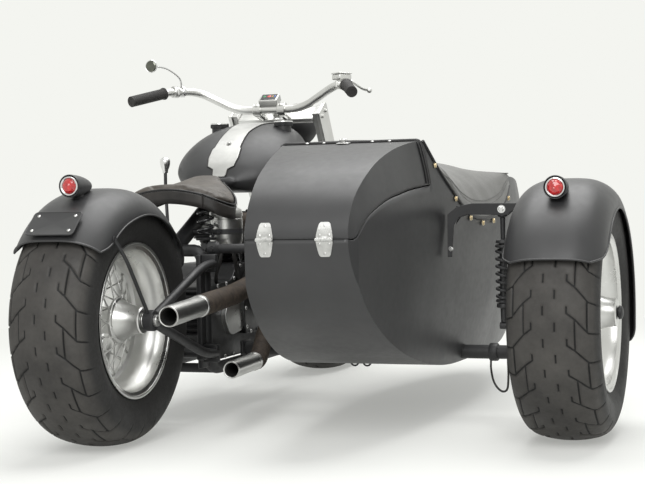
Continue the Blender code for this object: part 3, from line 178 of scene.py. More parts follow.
def tube(path, radius, sides=20, capped=True, closed=False):
    """A round tube: at each station of the path a circle of its radius square to the path.

    The circle's first direction is the cross product of the path's direction with the
    direction that the path uses least, so it never twists.
    """
    path = np.asarray(path, float)
    if closed:
        along = np.roll(path, -1, 0) - np.roll(path, 1, 0)
    else:
        along = np.gradient(path, axis=0)
    along = unit(along)
    spare = np.linalg.svd(along)[2][-1]
    first = unit(np.cross(spare, along))
    second = np.cross(along, first)
    radius = np.broadcast_to(np.asarray(radius, float), (len(path),))
    if capped and not closed:
        path, first, second = (np.vstack([a[:1], a, a[-1:]]) for a in (path, first, second))
        radius = np.concatenate([[0], radius, [0]])
    angle = np.linspace(0, 2 * np.pi, sides, endpoint=False)
    ring = np.cos(angle)[None, :, None] * first[:, None] + np.sin(angle)[None, :, None] * second[:, None]
    return skin(path[:, None] + radius[:, None, None] * ring, wrap_rows=closed, wrap_columns=True)


print("lines and tubes ready")

# %% [markdown]
# Plates are flat outlines with a thickness, and small housings are boxes whose edges are
# round from the start, because a real casting or pressing has no sharp edge anywhere.

# %% Slabs and blocks
def slab(outline, low, high, plane="yz"):
    """A flat outline given thickness: two copies of it, and a wall between them."""
    outline = np.asarray(outline, float)
    order = {"yz": (1, 2, 0), "xz": (0, 2, 1), "xy": (0, 1, 2)}[plane]
    places = np.zeros((2, len(outline), 3))
    places[:, :, order[0]], places[:, :, order[1]] = outline[:, 0], outline[:, 1]
    places[0, :, order[2]], places[1, :, order[2]] = low, high
    count = len(outline)
    places, quads, uv = skin(places, wrap_columns=True)
    faces = quads + [list(range(count)), list(range(count, 2 * count))]
    return places, faces, np.vstack([uv, np.zeros((2 * count, 2))])


def block(size, place, edge=0.003, tilt=(0, 0, 0), steps=3):
    """A box with round edges: each corner's own eighth of a small ball, joined by flats."""
    quarter = np.linspace(0, np.pi / 2, steps + 1)
    turn = np.concatenate([quarter + k * np.pi / 2 for k in range(4)])
    corner = np.repeat(np.arange(4), steps + 1)
    sign_x, sign_y = np.array([1, -1, -1, 1])[corner], np.array([1, 1, -1, -1])[corner]
    lift = np.concatenate([quarter[::-1], -quarter])
    sign_z = np.repeat([1, -1], steps + 1)
    inner = np.asarray(size, float) / 2 - edge
    x = sign_x * inner[0] + edge * np.cos(lift)[:, None] * np.cos(turn)
    y = sign_y * inner[1] + edge * np.cos(lift)[:, None] * np.sin(turn)
    z = np.broadcast_to((sign_z * inner[2] + edge * np.sin(lift))[:, None], x.shape)
    spin = Matrix.Rotation(tilt[2], 3, "Z") @ Matrix.Rotation(tilt[1], 3, "Y") @ Matrix.Rotation(tilt[0], 3,
            "X")
    grid = np.stack([x, y, z], -1) @ np.array(spin).T + np.asarray(place)
    places, quads, uv = skin(grid, wrap_columns=True)
    count = len(turn)
    last = (len(lift) - 1) * count
    quads += [list(range(count)), list(range(last, last + count))]
    return places, quads, np.vstack([uv, np.zeros((2 * count, 2))])


def other_side(shape):
    """The mirror image of a shape in the bike's centre plane."""
    places, faces, uv = shape
    return places * (-1, 1, 1), faces, uv


print("slabs and blocks ready")

# %% [markdown]
# One function turns any list of such shapes into a finished piece: it joins them in one
# mesh, merges doubled points, turns the faces outwards, gives it its material and lets it
# ride on its CAD body. It also hides the CAD nodes that the piece stands for.

# %% Finished pieces
def piece(name, shapes, body, material, replaces=(), wall=0.0, bevel=0.0, sharp=38.0, merge=0.00002,
          values=None):
    """Builds one mesh at the origin from shapes in the bike's own numbers."""
    counts = np.cumsum([0] + [len(s[0]) for s in shapes])
    places = np.vstack([s[0] for s in shapes]) + home
    faces = [[v + int(start) for v in face] for s, start in zip(shapes, counts) for face in s[1]]
    mesh = bpy.data.meshes.new(name)
    mesh.from_pydata(places.tolist(), [], faces)
    layer = mesh.uv_layers.new(name="UVMap")
    layer.data.foreach_set("uv", np.vstack([s[2] for s in shapes]).astype(np.float32).ravel())
    if values is not None:
        mesh.attributes.new("depth", "FLOAT", "POINT").data.foreach_set("value",
                values.astype(np.float32).ravel())
    bm = bmesh.new()
    bm.from_mesh(mesh)
    bmesh.ops.remove_doubles(bm, verts=bm.verts, dist=merge)
    bmesh.ops.dissolve_degenerate(bm, dist=merge / 4, edges=bm.edges)
    bmesh.ops.recalc_face_normals(bm, faces=bm.faces)
    bm.to_mesh(mesh)
    bm.free()
    mesh.shade_smooth()
    mesh.set_sharp_from_angle(angle=math.radians(sharp))
    mesh.materials.append(material)
    thing = bpy.data.objects.new(name, mesh)
    bpy.context.scene.collection.objects.link(thing)
    if bevel:
        edge = thing.modifiers.new("edge", "BEVEL")
        edge.width, edge.segments, edge.limit_method = bevel, 3, "ANGLE"
        edge.angle_limit = math.radians(32)
        edge.use_clamp_overlap = True
    if wall:
        sheet = thing.modifiers.new("wall", "SOLIDIFY")
        sheet.thickness, sheet.offset = wall, -1.0
    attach(thing, body)
    if replaces:
        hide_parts(*replaces)
    print(name, len(mesh.polygons), "faces on", body)
    return thing


print("pieces can be made")

# %% [markdown]
# Real surfaces are never one flat colour. Three small shader groups carry what many
# finishes share: a tone that drifts between two colours, a roughness that has patches,
# and a fine grain for the bump. Each finish places them with its own values.

# %% Shared shader groups
def shader_group(name, inputs, outputs):
    """An empty node group with named sockets, given as (name, kind, default) rows.

    Returns the group, the sockets that bring its inputs, and the node that takes its outputs.
    """
    group = bpy.data.node_groups.new(name, "ShaderNodeTree")
    for title, kind, default in inputs:
        socket = group.interface.new_socket(title, in_out="INPUT", socket_type="NodeSocket" + kind)
        if default is not None:
            socket.default_value = default
    for title, kind in outputs:
        group.interface.new_socket(title, in_out="OUTPUT", socket_type="NodeSocket" + kind)
    given, result = group.nodes.new("NodeGroupInput"), group.nodes.new("NodeGroupOutput")
    return group, given.outputs, result


def feed(tree, made, values):
    """Fills a node's inputs: a socket is linked, and any other value becomes the input's own."""
    for title, value in values.items():
        if isinstance(value, bpy.types.NodeSocket):
            tree.links.new(value, made.inputs[title])
        else:
            made.inputs[title].default_value = value


def node(tree, kind, values=None, **options):
    """A shader node of a kind, with its options set first and its inputs filled after them."""
    made = tree.nodes.new("ShaderNode" + kind)
    for title, value in options.items():
        setattr(made, title, value)
    feed(tree, made, values or {})
    return made


def make_tone():
    """Tone: mixes its dark and light colour by a noise, stretched to fill the range from 0 to 1."""
    group, given, result = shader_group(
        "Tone", [("Vector", "Vector", None), ("Scale", "Float", 6.0), ("Dark", "Color", (0, 0, 0, 1)),
                 ("Light", "Color", (1, 1, 1, 1))], [("Color", "Color"), ("Mask", "Float")])
    noise = node(group, "TexNoise", {"Vector": given["Vector"], "Scale": given["Scale"], "Detail": 5.0,
                                     "Roughness": 0.62})
    spread = node(group, "MapRange", {"Value": noise.outputs["Fac"], "From Min": 0.34, "From Max": 0.66})
    mix = node(group, "Mix", {"Factor": spread.outputs["Result"], "A": given["Dark"], "B": given["Light"]},
               data_type="RGBA")
    feed(group, result, {"Color": mix.outputs["Result"], "Mask": spread.outputs["Result"]})
    return group


def make_patches():
    """Patches: a value between Low and High that follows two noises, one broad and one fine."""
    group, given, result = shader_group(
        "Patches", [("Vector", "Vector", None), ("Scale", "Float", 9.0), ("Low", "Float", 0.3),
                    ("High", "Float", 0.5)], [("Value", "Float")])
    broad = node(group, "TexNoise", {"Vector": given["Vector"], "Scale": given["Scale"], "Detail": 3.0})
    times = node(group, "Math", {0: given["Scale"], 1: 11.0}, operation="MULTIPLY")
    fine = node(group, "TexNoise", {"Vector": given["Vector"], "Scale": times.outputs[0], "Detail": 2.0})
    both = node(group, "Mix", {"Factor": 0.35, "A": broad.outputs["Fac"], "B": fine.outputs["Fac"]})
    spread = node(group, "MapRange", {"Value": both.outputs["Result"], "From Min": 0.36, "From Max": 0.64,
                                      "To Min": given["Low"], "To Max": given["High"]})
    feed(group, result, {"Value": spread.outputs["Result"]})
    return group


def make_grain():
    """Grain: a height that adds a fine noise and the cells of a Voronoi pattern by their shares."""
    group, given, result = shader_group(
        "Grain", [("Vector", "Vector", None), ("Scale", "Float", 400.0), ("Cells", "Float", 0.0)],
        [("Height", "Float")])
    spot = {"Vector": given["Vector"], "Scale": given["Scale"]}
    noise = node(group, "TexNoise", {**spot, "Detail": 4.0})
    cells = node(group, "TexVoronoi", {**spot, "Smoothness": 0.35}, feature="SMOOTH_F1")
    mix = node(group, "Mix", {"Factor": given["Cells"], "A": noise.outputs["Fac"],
                              "B": cells.outputs["Distance"]})
    feed(group, result, {"Height": mix.outputs["Result"]})
    return group


TONE, PATCHES, GRAIN = make_tone(), make_patches(), make_grain()
print("groups", [g.name for g in (TONE, PATCHES, GRAIN)])

# %% [markdown]
# A finish is a Principled material fed by these groups. The stretch lets the same grain
# turn into the long fine lines that a brush or a lathe leaves on metal.

# %% Building a finish
def finish(name, dark, light, rough, metallic=0.0, tone=6.0, patch=9.0, grain=400.0, bump=0.04, depth=0.0004,
           cells=0.0, stretch=(1, 1, 1), coat=0.0, sheen=0.0, specular=0.5):
    """A material: base colour drifts from dark to light, roughness from rough[0] to rough[1]."""
    material = bpy.data.materials.new(name)
    material.use_nodes = True
    tree = material.node_tree
    place = node(tree, "TexCoord").outputs["Object"]
    scaled = node(tree, "Mapping", {"Vector": place, "Scale": stretch}).outputs["Vector"]
    colour = node(tree, "Group", {"Vector": place, "Scale": tone, "Dark": (*dark, 1), "Light": (*light, 1)},
                  node_tree=TONE)
    gloss = node(tree, "Group", {"Vector": scaled, "Scale": patch, "Low": rough[0], "High": rough[1]},
                 node_tree=PATCHES)
    fine = node(tree, "Group", {"Vector": scaled, "Scale": grain, "Cells": cells}, node_tree=GRAIN)
    relief = node(tree, "Bump", {"Strength": bump, "Distance": depth, "Height": fine.outputs["Height"]})
    feed(tree, tree.nodes["Principled BSDF"], {
        "Base Color": colour.outputs["Color"], "Roughness": gloss.outputs["Value"],
        "Normal": relief.outputs["Normal"], "Metallic": metallic, "Coat Weight": coat, "Coat Roughness": 0.12,
        "Sheen Weight": sheen, "Sheen Roughness": 0.4, "Specular IOR Level": specular})
    return material


print("finish ready")

# %% [markdown]
# These are the finishes that several pieces share. Paint and leather are never black or
# one flat tone in the photograph, so each has a dark and a light colour close together,
# and the metals differ mostly in how sharp their reflections are.

# %% The shared finishes
satin = finish("satin_black_paint", (0.024, 0.024, 0.025), (0.036, 0.036, 0.037), (0.37, 0.48), tone=3.0,
               patch=5.0, grain=700.0, bump=0.05)
frame_black = finish("matt_frame_black", (0.012, 0.012, 0.013), (0.026, 0.026, 0.027), (0.42, 0.6),
                     grain=500.0, bump=0.08)
rubber = finish("plain_rubber", (0.016, 0.015, 0.015), (0.03, 0.028, 0.026), (0.62, 0.8), tone=18.0,
                grain=900.0, bump=0.15)
polished = finish("polished_aluminium", (0.58, 0.58, 0.565), (0.66, 0.66, 0.645), (0.27, 0.36),
                  metallic=1.0, tone=8.0, patch=9.0, grain=500.0, bump=0.008)
chrome = finish("bright_chrome", (0.66, 0.66, 0.66), (0.78, 0.78, 0.78), (0.1, 0.18), metallic=1.0, tone=14.0,
                patch=18.0, grain=260.0, bump=0.02)
steel = finish("brushed_steel", (0.48, 0.48, 0.47), (0.66, 0.66, 0.65), (0.24, 0.38), metallic=1.0, tone=20.0,
               patch=22.0, grain=300.0, bump=0.1, stretch=(1, 8, 8))
cast = finish("cast_alloy", (0.3, 0.3, 0.29), (0.46, 0.46, 0.45), (0.36, 0.54), metallic=0.92, tone=16.0,
              grain=420.0, bump=0.3, cells=0.3)
grey_leather = finish("grey_leather", (0.098, 0.097, 0.09), (0.158, 0.156, 0.146), (0.42, 0.58), tone=9.0,
                      grain=330.0, bump=0.45, cells=0.7, sheen=0.12)
brown_leather = finish("brown_leather", (0.034, 0.028, 0.023), (0.082, 0.07, 0.058), (0.4, 0.58), tone=12.0,
                       grain=300.0, bump=0.45, cells=0.7)
brass = finish("brass_clip", (0.58, 0.47, 0.3), (0.76, 0.66, 0.46), (0.2, 0.34), metallic=1.0, grain=300.0)
red_glass = finish("red_glass", (0.3, 0.004, 0.006), (0.62, 0.014, 0.016), (0.04, 0.1), tone=90.0, coat=0.8,
                   grain=300.0, bump=0.02, specular=0.7)
clear_glass = finish("clear_glass", (0.62, 0.65, 0.67), (0.74, 0.77, 0.79), (0.03, 0.07), tone=30.0, coat=0.6,
                     bump=0.02)
stitch_thread = finish("stitch_thread", (0.1, 0.1, 0.1), (0.2, 0.2, 0.19), (0.7, 0.85), tone=60.0, bump=0.2)
print("finishes", len(bpy.data.materials))

# %% [markdown]
# The studio is a pale floor that fades into the white behind it. Light Path makes that
# white visible to the camera and to reflections only, so it adds no light to the object,
# and the floor keeps the object's shadow.

# %% Floor, backdrop and lights
pale = (0.905, 0.912, 0.872, 1)
near_white, fade_start, fade_end = 0.38, 1.2, 3.3


def seen_rays(tree):
    """1 for rays from the camera, also by a mirror or through glass, and 0 for all others."""
    path = node(tree, "LightPath").outputs
    both = node(tree, "Math", {0: path["Is Camera Ray"], 1: path["Is Glossy Ray"]}, operation="ADD",
                use_clamp=True)
    return node(tree, "Math", {0: both.outputs[0], 1: path["Is Transmission Ray"]}, operation="ADD",
                use_clamp=True).outputs[0]


def make_studio():
    """The world: a soft even light for the object, and the pale backdrop where it is seen."""
    world = bpy.data.worlds.new("studio")
    bpy.context.scene.world = world
    world.use_nodes = True
    tree = world.node_tree
    tree.nodes.clear()
    ambient = node(tree, "Background", {"Color": (0.96, 0.98, 1.0, 1), "Strength": 0.46})
    shown = node(tree, "Background", {"Color": pale})
    mix = node(tree, "MixShader", {"Fac": seen_rays(tree), 1: ambient.outputs[0], 2: shown.outputs[0]})
    node(tree, "OutputWorld", {"Surface": mix.outputs[0]})


def make_floor(reach=45.0):
    """A round floor: its own shade near the object, and the backdrop's plain white far away."""
    mesh = bpy.data.meshes.new("floor")
    turn = np.linspace(0, 2 * np.pi, 96, endpoint=False)
    rim = np.stack([np.cos(turn), np.sin(turn), 0 * turn], -1) * reach
    mesh.from_pydata(rim.tolist(), [], [list(range(96))])
    floor = bpy.data.objects.new("floor", mesh)
    bpy.context.scene.collection.objects.link(floor)
    material = bpy.data.materials.new("pale_floor")
    material.use_nodes = True
    tree = material.node_tree
    place = node(tree, "TexCoord").outputs["Object"]
    colour = node(tree, "Group", {"Vector": place, "Scale": 0.7, "Dark": (0.9, 0.905, 0.87, 1),
                                  "Light": (0.93, 0.935, 0.9, 1)}, node_tree=TONE)
    shader = tree.nodes["Principled BSDF"]
    feed(tree, shader, {"Base Color": colour.outputs["Color"], "Roughness": 0.85, "Specular IOR Level": 0.2})
    length = node(tree, "VectorMath", {0: place}, operation="LENGTH")
    fade = node(tree, "MapRange", {"Value": length.outputs["Value"], "From Min": fade_start,
                                   "From Max": fade_end, "To Min": near_white},
                interpolation_type="SMOOTHSTEP")
    share = node(tree, "Math", {0: fade.outputs["Result"], 1: seen_rays(tree)}, operation="MULTIPLY")
    glow = node(tree, "Emission", {"Color": pale})
    mix = node(tree, "MixShader", {"Fac": share.outputs[0], 1: shader.outputs[0], 2: glow.outputs[0]})
    feed(tree, tree.nodes["Material Output"], {"Surface": mix.outputs[0]})
    mesh.materials.append(material)


def soft_light(name, place, towards, size, power):
    """A round area light in watts, turned from its place towards a point."""
    lamp = bpy.data.lights.new(name, "AREA")
    lamp.shape, lamp.size, lamp.energy = "DISK", size, power
    thing = bpy.data.objects.new(name, lamp)
    thing.location = place
    thing.rotation_euler = (Vector(towards) - Vector(place)).to_track_quat("-Z", "Y").to_euler()
    bpy.context.scene.collection.objects.link(thing)


make_studio()
make_floor()
soft_light("key", (0.2, 0.9, 4.4), (0, 0, 0), 4.4, 195.0)
soft_light("rear", (0.9, -4.9, 3.3), (0.1, -1.3, 0.1), 3.8, 165.0)
bpy.context.scene.view_settings.view_transform = "Standard"
print("studio ready")

# %% [markdown]
# The tyres have a wide low section and a moulded tread: two rows of short dashes on the
# middle, and on each side one hooked groove for every pitch with links between them. The
# tread is worked out as a distance: each point of the surface asks how far the nearest
# groove's centre line is, and sinks where that is less than half the groove's width.

# %% Tread pattern
pitches = 26
pitch_length = 2 * math.pi * wheel_radius / pitches
groove_half, groove_edge, groove_depth = 0.0021, 0.0016, 0.004
dash_across, inner_link, outer_link = 0.0146, 0.063, 0.092
# One groove as it leaves its hook: how far down round the tyre, and how far out from the middle
hook_line = ((0.0, 0.0437), (-0.016, 0.0437), (-0.031, 0.063), (-0.068, 0.0945), (-0.095, 0.107),
             (-0.118, 0.11))


def groove_lines():
    """Centre lines of one double pitch as (start, end) pairs of (along, across) places, in metres.

    The left side repeats the right one half a pitch later. Links run a whole pitch from one
    groove to the next, by turns near the middle and near the shoulder.
    """
    lines = []
    for side, shift in ((1, 0.0), (-1, 0.5)):
        for k in (0, 1):
            start = (k + shift) * pitch_length
            lines.append(((start, -side * dash_across), (start - 0.02, -side * dash_across)))
            route = [(start + along, side * across) for along, across in hook_line]
            lines += list(zip(route, route[1:]))
            foot, across = ((start - 0.031, inner_link), (start - 0.065, outer_link))[k]
            lines.append(((foot, side * across), (foot - pitch_length, side * across)))
    return np.array(lines)


def groove_distance(along, across, reach):
    """Distance over the surface to the nearest groove's centre line.

    across is measured over the surface from the middle, and reach turns a groove's place
    across, a straight distance, into that measure.
    """
    span = 2 * pitch_length
    nearest = np.full(along.shape, 1.0)
    for start, end in groove_lines():
        start, end = np.array([start[0], reach(start[1])]), np.array([end[0], reach(end[1])])
        step = end - start
        for wrap in (-2 * span, -span, 0, span):
            du, dv = (along % span) + wrap - start[0], across - start[1]
            t = np.clip((du * step[0] + dv * step[1]) / (step @ step), 0, 1)
            nearest = np.minimum(nearest, np.hypot(du - t * step[0], dv - t * step[1]))
    return nearest


print("groove lines in one double pitch", len(groove_lines()))

# %% [markdown]
# The tyre is one closed surface, fine enough that the grooves are cut in it and not drawn
# on it. Two thin rings stand out of each sidewall, as a mould's parting and rim lines do.

# %% Tyre surface
def tyre_grid(round_steps=780, tread_steps=88):
    """Closed tyre skin about the origin, and each point's distance from the nearest groove.

    Its section is a smooth curve through bead, bulge, shoulder and crown, mirrored, and then
    the inner wall; a point lies at radius times the angle's sine and cosine.
    """
    half = 0.115
    outer = [(0.1943, 0.095), (0.2086, 0.0968), (0.235, 0.1105), (0.262, half), (0.284, 0.1125), (0.3, 0.105),
             (0.3125, 0.094), (0.3225, 0.075), (0.329, 0.048), (0.3325, 0.02)]
    outer = np.array(outer + [(0.333, 0.0)] + [(r, -h) for r, h in reversed(outer)])
    line = smooth_line(outer, 400)
    run = distances(line)
    shoulder = np.interp(0.288, line[:200, 0], run[:200])
    stations = np.concatenate([np.linspace(0, shoulder, 12)[:-1],
                               np.linspace(shoulder, run[-1] - shoulder, tread_steps),
                               np.linspace(run[-1] - shoulder, run[-1], 12)[1:]])
    section = np.column_stack([np.interp(stations, run, line[:, k]) for k in (0, 1)])
    inner = np.array([(0.1943, -0.079), (0.24, -0.099), (0.3, -0.083), (0.318, -0.03), (0.318, 0.03),
                      (0.3, 0.083), (0.24, 0.099), (0.1943, 0.079)])
    turn = np.linspace(0, 2 * np.pi, round_steps, endpoint=False)
    along = np.broadcast_to(turn * wheel_radius, (len(section), round_steps))
    across = np.broadcast_to((stations - run[-1] / 2)[:, None], along.shape)
    half_run = run[200:] - run[-1] / 2

    def reach(place):
        return -np.sign(place) * np.interp(abs(place), -line[200:, 1], half_run)

    far = groove_distance(along, across, reach)
    ease = np.clip((groove_half + groove_edge - far) / groove_edge, 0, 1)
    sink = groove_depth * ease * ease * (3 - 2 * ease) * (section[:, :1] > 0.286)
    rings = 0.0009 * (np.exp(-((section[:, :1] - 0.246) / 0.0016) ** 2) + np.exp(-((section[:,
            :1] - 0.279) / 0.0016) ** 2))
    way = unit(np.gradient(section, axis=0))
    lift = (rings - sink)[..., None]
    radius = np.concatenate([section[:, :1] - lift[..., 0] * way[:, 1:],
                             np.repeat(inner[:, :1], round_steps, 1)])
    across = np.concatenate([section[:, 1:] + lift[..., 0] * way[:, :1],
                             np.repeat(inner[:, 1:], round_steps, 1)])
    far = np.concatenate([np.where(section[:, :1] > 0.286, far, 1.0), np.ones((len(inner), round_steps))])
    return np.stack([across, radius * np.sin(turn), radius * np.cos(turn)], -1), np.minimum(far, 0.02)


tyre_points, tyre_far = tyre_grid()
print("tyre grid", tyre_points.shape, "grooved share", float((tyre_far < groove_half).mean()).__round__(3))

# %% [markdown]
# Worn rubber is brown-grey where the road has rubbed it. The sidewalls are darker, partly
# as unworn rubber and partly as painted shade, and the grooves hold a nearly black painted
# shade. The material reads the distance that the grid has stored on each point, so a
# groove's edge is crisper than the mesh, and the map's first coordinate, which runs over
# the section, tells tread from sidewall.

# %% Tyres
def tyre_finish_with_painted_shade():
    """Rubber worn lighter on the tread, with painted shade on the sidewalls and darker painted shade in the
    grooves.
    """
    material = finish("tread_rubber_painted_shade", (0.03, 0.028, 0.026), (0.062, 0.058, 0.053), (0.56, 0.78), tone=7.0,
                      patch=10.0, grain=650.0, bump=0.22, specular=0.4)
    tree = material.node_tree
    shader = tree.nodes["Principled BSDF"]
    worn = shader.inputs["Base Color"].links[0].from_socket
    # The sidewalls are mixed towards a near-black: partly the unworn rubber's own darker tone and partly
    # painted shade from light falling from above and behind.
    over = node(tree, "SeparateXYZ", {0: node(tree, "UVMap").outputs["UV"]})
    away = node(tree, "Math", {0: over.outputs["X"], 1: 0.462}, operation="SUBTRACT")
    size = node(tree, "Math", {0: away.outputs[0]}, operation="ABSOLUTE")
    wall = node(tree, "MapRange", {"Value": size.outputs[0], "From Min": 0.315, "From Max": 0.372})
    side = node(tree, "Mix", {"Factor": wall.outputs["Result"], "A": worn, "B": (0.017, 0.0165, 0.016, 1)},
                data_type="RGBA")
    # Painted shade: the grooves are darkened to nearly black, found from the distance to the nearest groove
    # stored on each point.
    far = node(tree, "Attribute", attribute_name="depth")
    share = node(tree, "MapRange", {"Value": far.outputs["Fac"], "From Min": groove_half + 0.0004,
                                    "From Max": groove_half - 0.0004})
    mix = node(tree, "Mix", {"Factor": share.outputs["Result"], "A": side.outputs["Result"],
                             "B": (0.0045, 0.0045, 0.0045, 1)}, data_type="RGBA")
    feed(tree, shader, {"Base Color": mix.outputs["Result"]})
    return material


tread_rubber_painted_shade = tyre_finish_with_painted_shade()
for name, place in wheel_places.items():
    shape = skin(tyre_points + place, wrap_rows=True, wrap_columns=True)
    piece(name + "_tyre_tread", [shape], name + "_wheel_body", tread_rubber_painted_shade, [name + "_tyre"],
          sharp=60, values=tyre_far.ravel())

# %% [markdown]
# Each wheel is laced like the real one: a deep polished rim with a ridge for the spokes, a
# turned spool hub with two flanges, and forty spokes that cross each other in pairs. A
# spoke is a thin tube from its hole in the flange to its nipple on the rim.

# %% Wire wheels
spokes_per_side = 20
flange_across = 0.047


def rim_section():
    """Rim: edge, bead seat and well outside, the same inwards, and a ridge for the spokes, mirrored."""
    edge = 0.102
    outer = [(0.2078, edge - 0.002), (0.207, edge), (0.2035, edge), (0.202, edge - 0.004),
             (0.194, edge - 0.007), (0.194, 0.074), (0.186, 0.064), (0.176, 0.052), (0.174, 0.03)]
    inner = [(0.17, 0.03), (0.171, 0.05), (0.182, 0.066), (0.1885, 0.078), (0.1895, edge - 0.008),
             (0.1985, edge - 0.003), (0.1995, edge - 0.001), (0.2025, edge + 0.0)]
    right = outer + [(0.1735, 0.0)]
    left = [(r, -h) for r, h in reversed(outer)]
    back = [(r, -h) for r, h in reversed(inner)] + [(0.166, -0.014), (0.158, -0.007), (0.158, 0.007),
            (0.166, 0.014)]
    return right + left + back + inner


def hub_section():
    """Spool hub: bore, end boss, concave drum, flange and waist, mirrored across its middle."""
    drum_run = np.linspace(0, 1, 9)
    drum = [(0.036 + 0.0185 * t ** 1.8, 0.116 - 0.061 * t) for t in drum_run]
    half = [(0.0132, 0.12), (0.033, 0.12), (0.036, 0.117)] + drum
    half += [(0.0605, 0.053), (0.0615, 0.0515), (0.0615, 0.045), (0.06, 0.0435), (0.044, 0.04),
             (0.036, 0.03), (0.035, 0.0)]
    return half + [(r, -h) for r, h in reversed(half[:-1])]


def lacing(place):
    """Spokes and nipples: hub angle a, rim angle a plus or minus the lean, by turns."""
    count = 2 * spokes_per_side
    index = np.arange(count)
    side = np.where(index % 2 == 0, 1, -1)
    lean = np.radians(38) * np.where((index // 2) % 2 == 0, 1, -1)
    hub_angle = 2 * np.pi * (index + 0.5) / count
    rim_angle = hub_angle + lean
    across = side * (flange_across + np.where((index // 2) % 2 == 0, 0.0045, -0.0045))
    ends = [np.stack([a, r * np.sin(t), r * np.cos(t)], -1) + place
            for a, r, t in ((across, 0.056, hub_angle), (side * 0.0045, 0.1585, rim_angle))]
    shapes = []
    for start, end in zip(*ends):
        way = unit(end - start)
        shapes.append(tube([start, end], 0.0021, sides=7))
        shapes.append(tube([end - way * 0.019, end - way * 0.017, end + way * 0.004],
                           [0.0026, 0.0036, 0.0036], sides=8))
        shapes.append(tube([start - way * 0.003, start + way * 0.003], 0.0042, sides=8))
    return shapes


for name, place in wheel_places.items():
    along = (1, 0, 0)
    stands_for = [name + "_wheel"]
    shapes = [turned(rim_section(), place, along, 128, closed=True),
              turned(hub_section(), place, along, 56, closed=True)]
    piece(name + "_rim_hub", shapes, name + "_wheel_body", polished, stands_for, sharp=32)
    piece(name + "_spokes", lacing(place), name + "_wheel_body", steel, sharp=50)

# %% [markdown]
# The rear wheel also carries the belt's toothed pulley on the left: a turned ring whose rim
# swings in and out sixty times round, with a dished web.

# %% Belt pulley
def pulley_shapes(place):
    """Pulley: radius plus a small cosine of 60 times the angle on its toothed face."""
    turn = np.linspace(0, 2 * np.pi, 480, endpoint=False)
    tooth = 0.0011 * np.cos(60 * turn)
    face = np.array([(0.022, -0.1425), (0.06, -0.1405), (0.084, -0.1425), (0.0985, -0.1425),
                     (0.0985, -0.1305), (0.084, -0.1305), (0.06, -0.1335), (0.03, -0.1305), (0.03, -0.1195),
                     (0.022, -0.1195)])
    swing = np.array([0, 0, 0, 1, 1, 0, 0, 0, 0, 0])[:, None]
    radius = face[:, :1] + swing * tooth
    grid = np.stack([np.broadcast_to(face[:, 1:], radius.shape), radius * np.sin(turn),
                     radius * np.cos(turn)], -1)
    bolts = [turned([(0, -0.147), (0.0045, -0.147), (0.0052, -0.146), (0.0052, -0.141)],
                    place + (0, 0.071 * math.sin(a), 0.071 * math.cos(a)), (1, 0, 0), 6)
             for a in np.linspace(0, 2 * np.pi, 5, endpoint=False)]
    return [skin(grid + place, wrap_rows=True, wrap_columns=True)] + bolts


piece("rear_pulley", pulley_shapes(wheel_places["rear"]), "rear_wheel_body", steel, sharp=40)

# %% [markdown]
# The sidecar's body is a boat tail: seen from the side it is one long rounded outline, and
# seen from above it is as wide as a table of half-widths says. Its skin is worked out
# column by column: every place along the body has a floor line, a seam or rim line and a
# half-width that depends on the height, and the skin spans between them.

# %% Side view and width of the sidecar's body
body_x = 0.595
tail_y, seam_z, top_z, bottom_z = -0.115, 0.545, 0.805, 0.165
lid_front = 0.332
width_y = np.array([-0.14, -0.08, 0.1, 0.3, 0.5, 0.85, 1.15, 1.45, 1.7, 1.86])
width_z = np.array([0.12, 0.3, 0.48, 0.6, 0.69, 0.84])
width_table = np.array([
    [0.12, 0.142, 0.165, 0.185, 0.2, 0.215, 0.205, 0.165, 0.105, 0.03],
    [0.122, 0.146, 0.17, 0.2, 0.23, 0.262, 0.25, 0.205, 0.135, 0.05],
    [0.124, 0.15, 0.182, 0.218, 0.25, 0.288, 0.275, 0.225, 0.15, 0.06],
    [0.124, 0.151, 0.186, 0.225, 0.258, 0.298, 0.285, 0.232, 0.15, 0.06],
    [0.123, 0.148, 0.172, 0.212, 0.25, 0.29, 0.275, 0.22, 0.14, 0.05],
    [0.12, 0.14, 0.15, 0.188, 0.22, 0.255, 0.24, 0.185, 0.11, 0.03]])


def fine_table():
    """The width table made smooth: a curve through each row, from its second place, then across rows."""
    rows = []
    for row in width_table:
        line = smooth_line(np.column_stack([width_y[1:], row[1:]]), 161)
        rows.append(np.concatenate([[row[0]], line[:, 1]]))
    ys = np.concatenate([width_y[:1], smooth_line(np.column_stack([width_y[1:], width_y[1:]]), 161)[:, 0]])
    levels = smooth_line(np.column_stack([width_z, width_z]), 121)[:, 0]
    rows = np.array(rows)
    flat = smooth_line(np.column_stack([width_z, rows]), 121)[:, 1:]
    return ys, levels, flat


fine_y, fine_z, fine_w = fine_table()


def half_width(y, z):
    """Half-width of the body at a place along it and a height, read between four table values."""
    y, z = np.broadcast_arrays(np.asarray(y, float), np.asarray(z, float))
    iy = np.clip(np.searchsorted(fine_y, y) - 1, 0, len(fine_y) - 2)
    iz = np.clip(np.searchsorted(fine_z, z) - 1, 0, len(fine_z) - 2)
    ty = np.clip((y - fine_y[iy]) / (fine_y[iy + 1] - fine_y[iy]), 0, 1)
    tz = np.clip((z - fine_z[iz]) / (fine_z[iz + 1] - fine_z[iz]), 0, 1)
    low = fine_w[iz, iy] * (1 - ty) + fine_w[iz, iy + 1] * ty
    high = fine_w[iz + 1, iy] * (1 - ty) + fine_w[iz + 1, iy + 1] * ty
    return low * (1 - tz) + high * tz


def floor_line(y):
    """Underside of the body: a quarter ellipse at the tail, a flat, and a quarter ellipse at the nose."""
    tail = seam_z - (seam_z - bottom_z) * np.sqrt(np.clip(1 - ((0.62 - y) / 0.735) ** 2, 0, 1))
    nose = 0.43 - 0.265 * np.sqrt(np.clip(1 - ((y - 1.05) / 0.8) ** 2, 0, 1))
    return np.where(y < 0.62, tail, np.where(y > 1.05, nose, bottom_z))


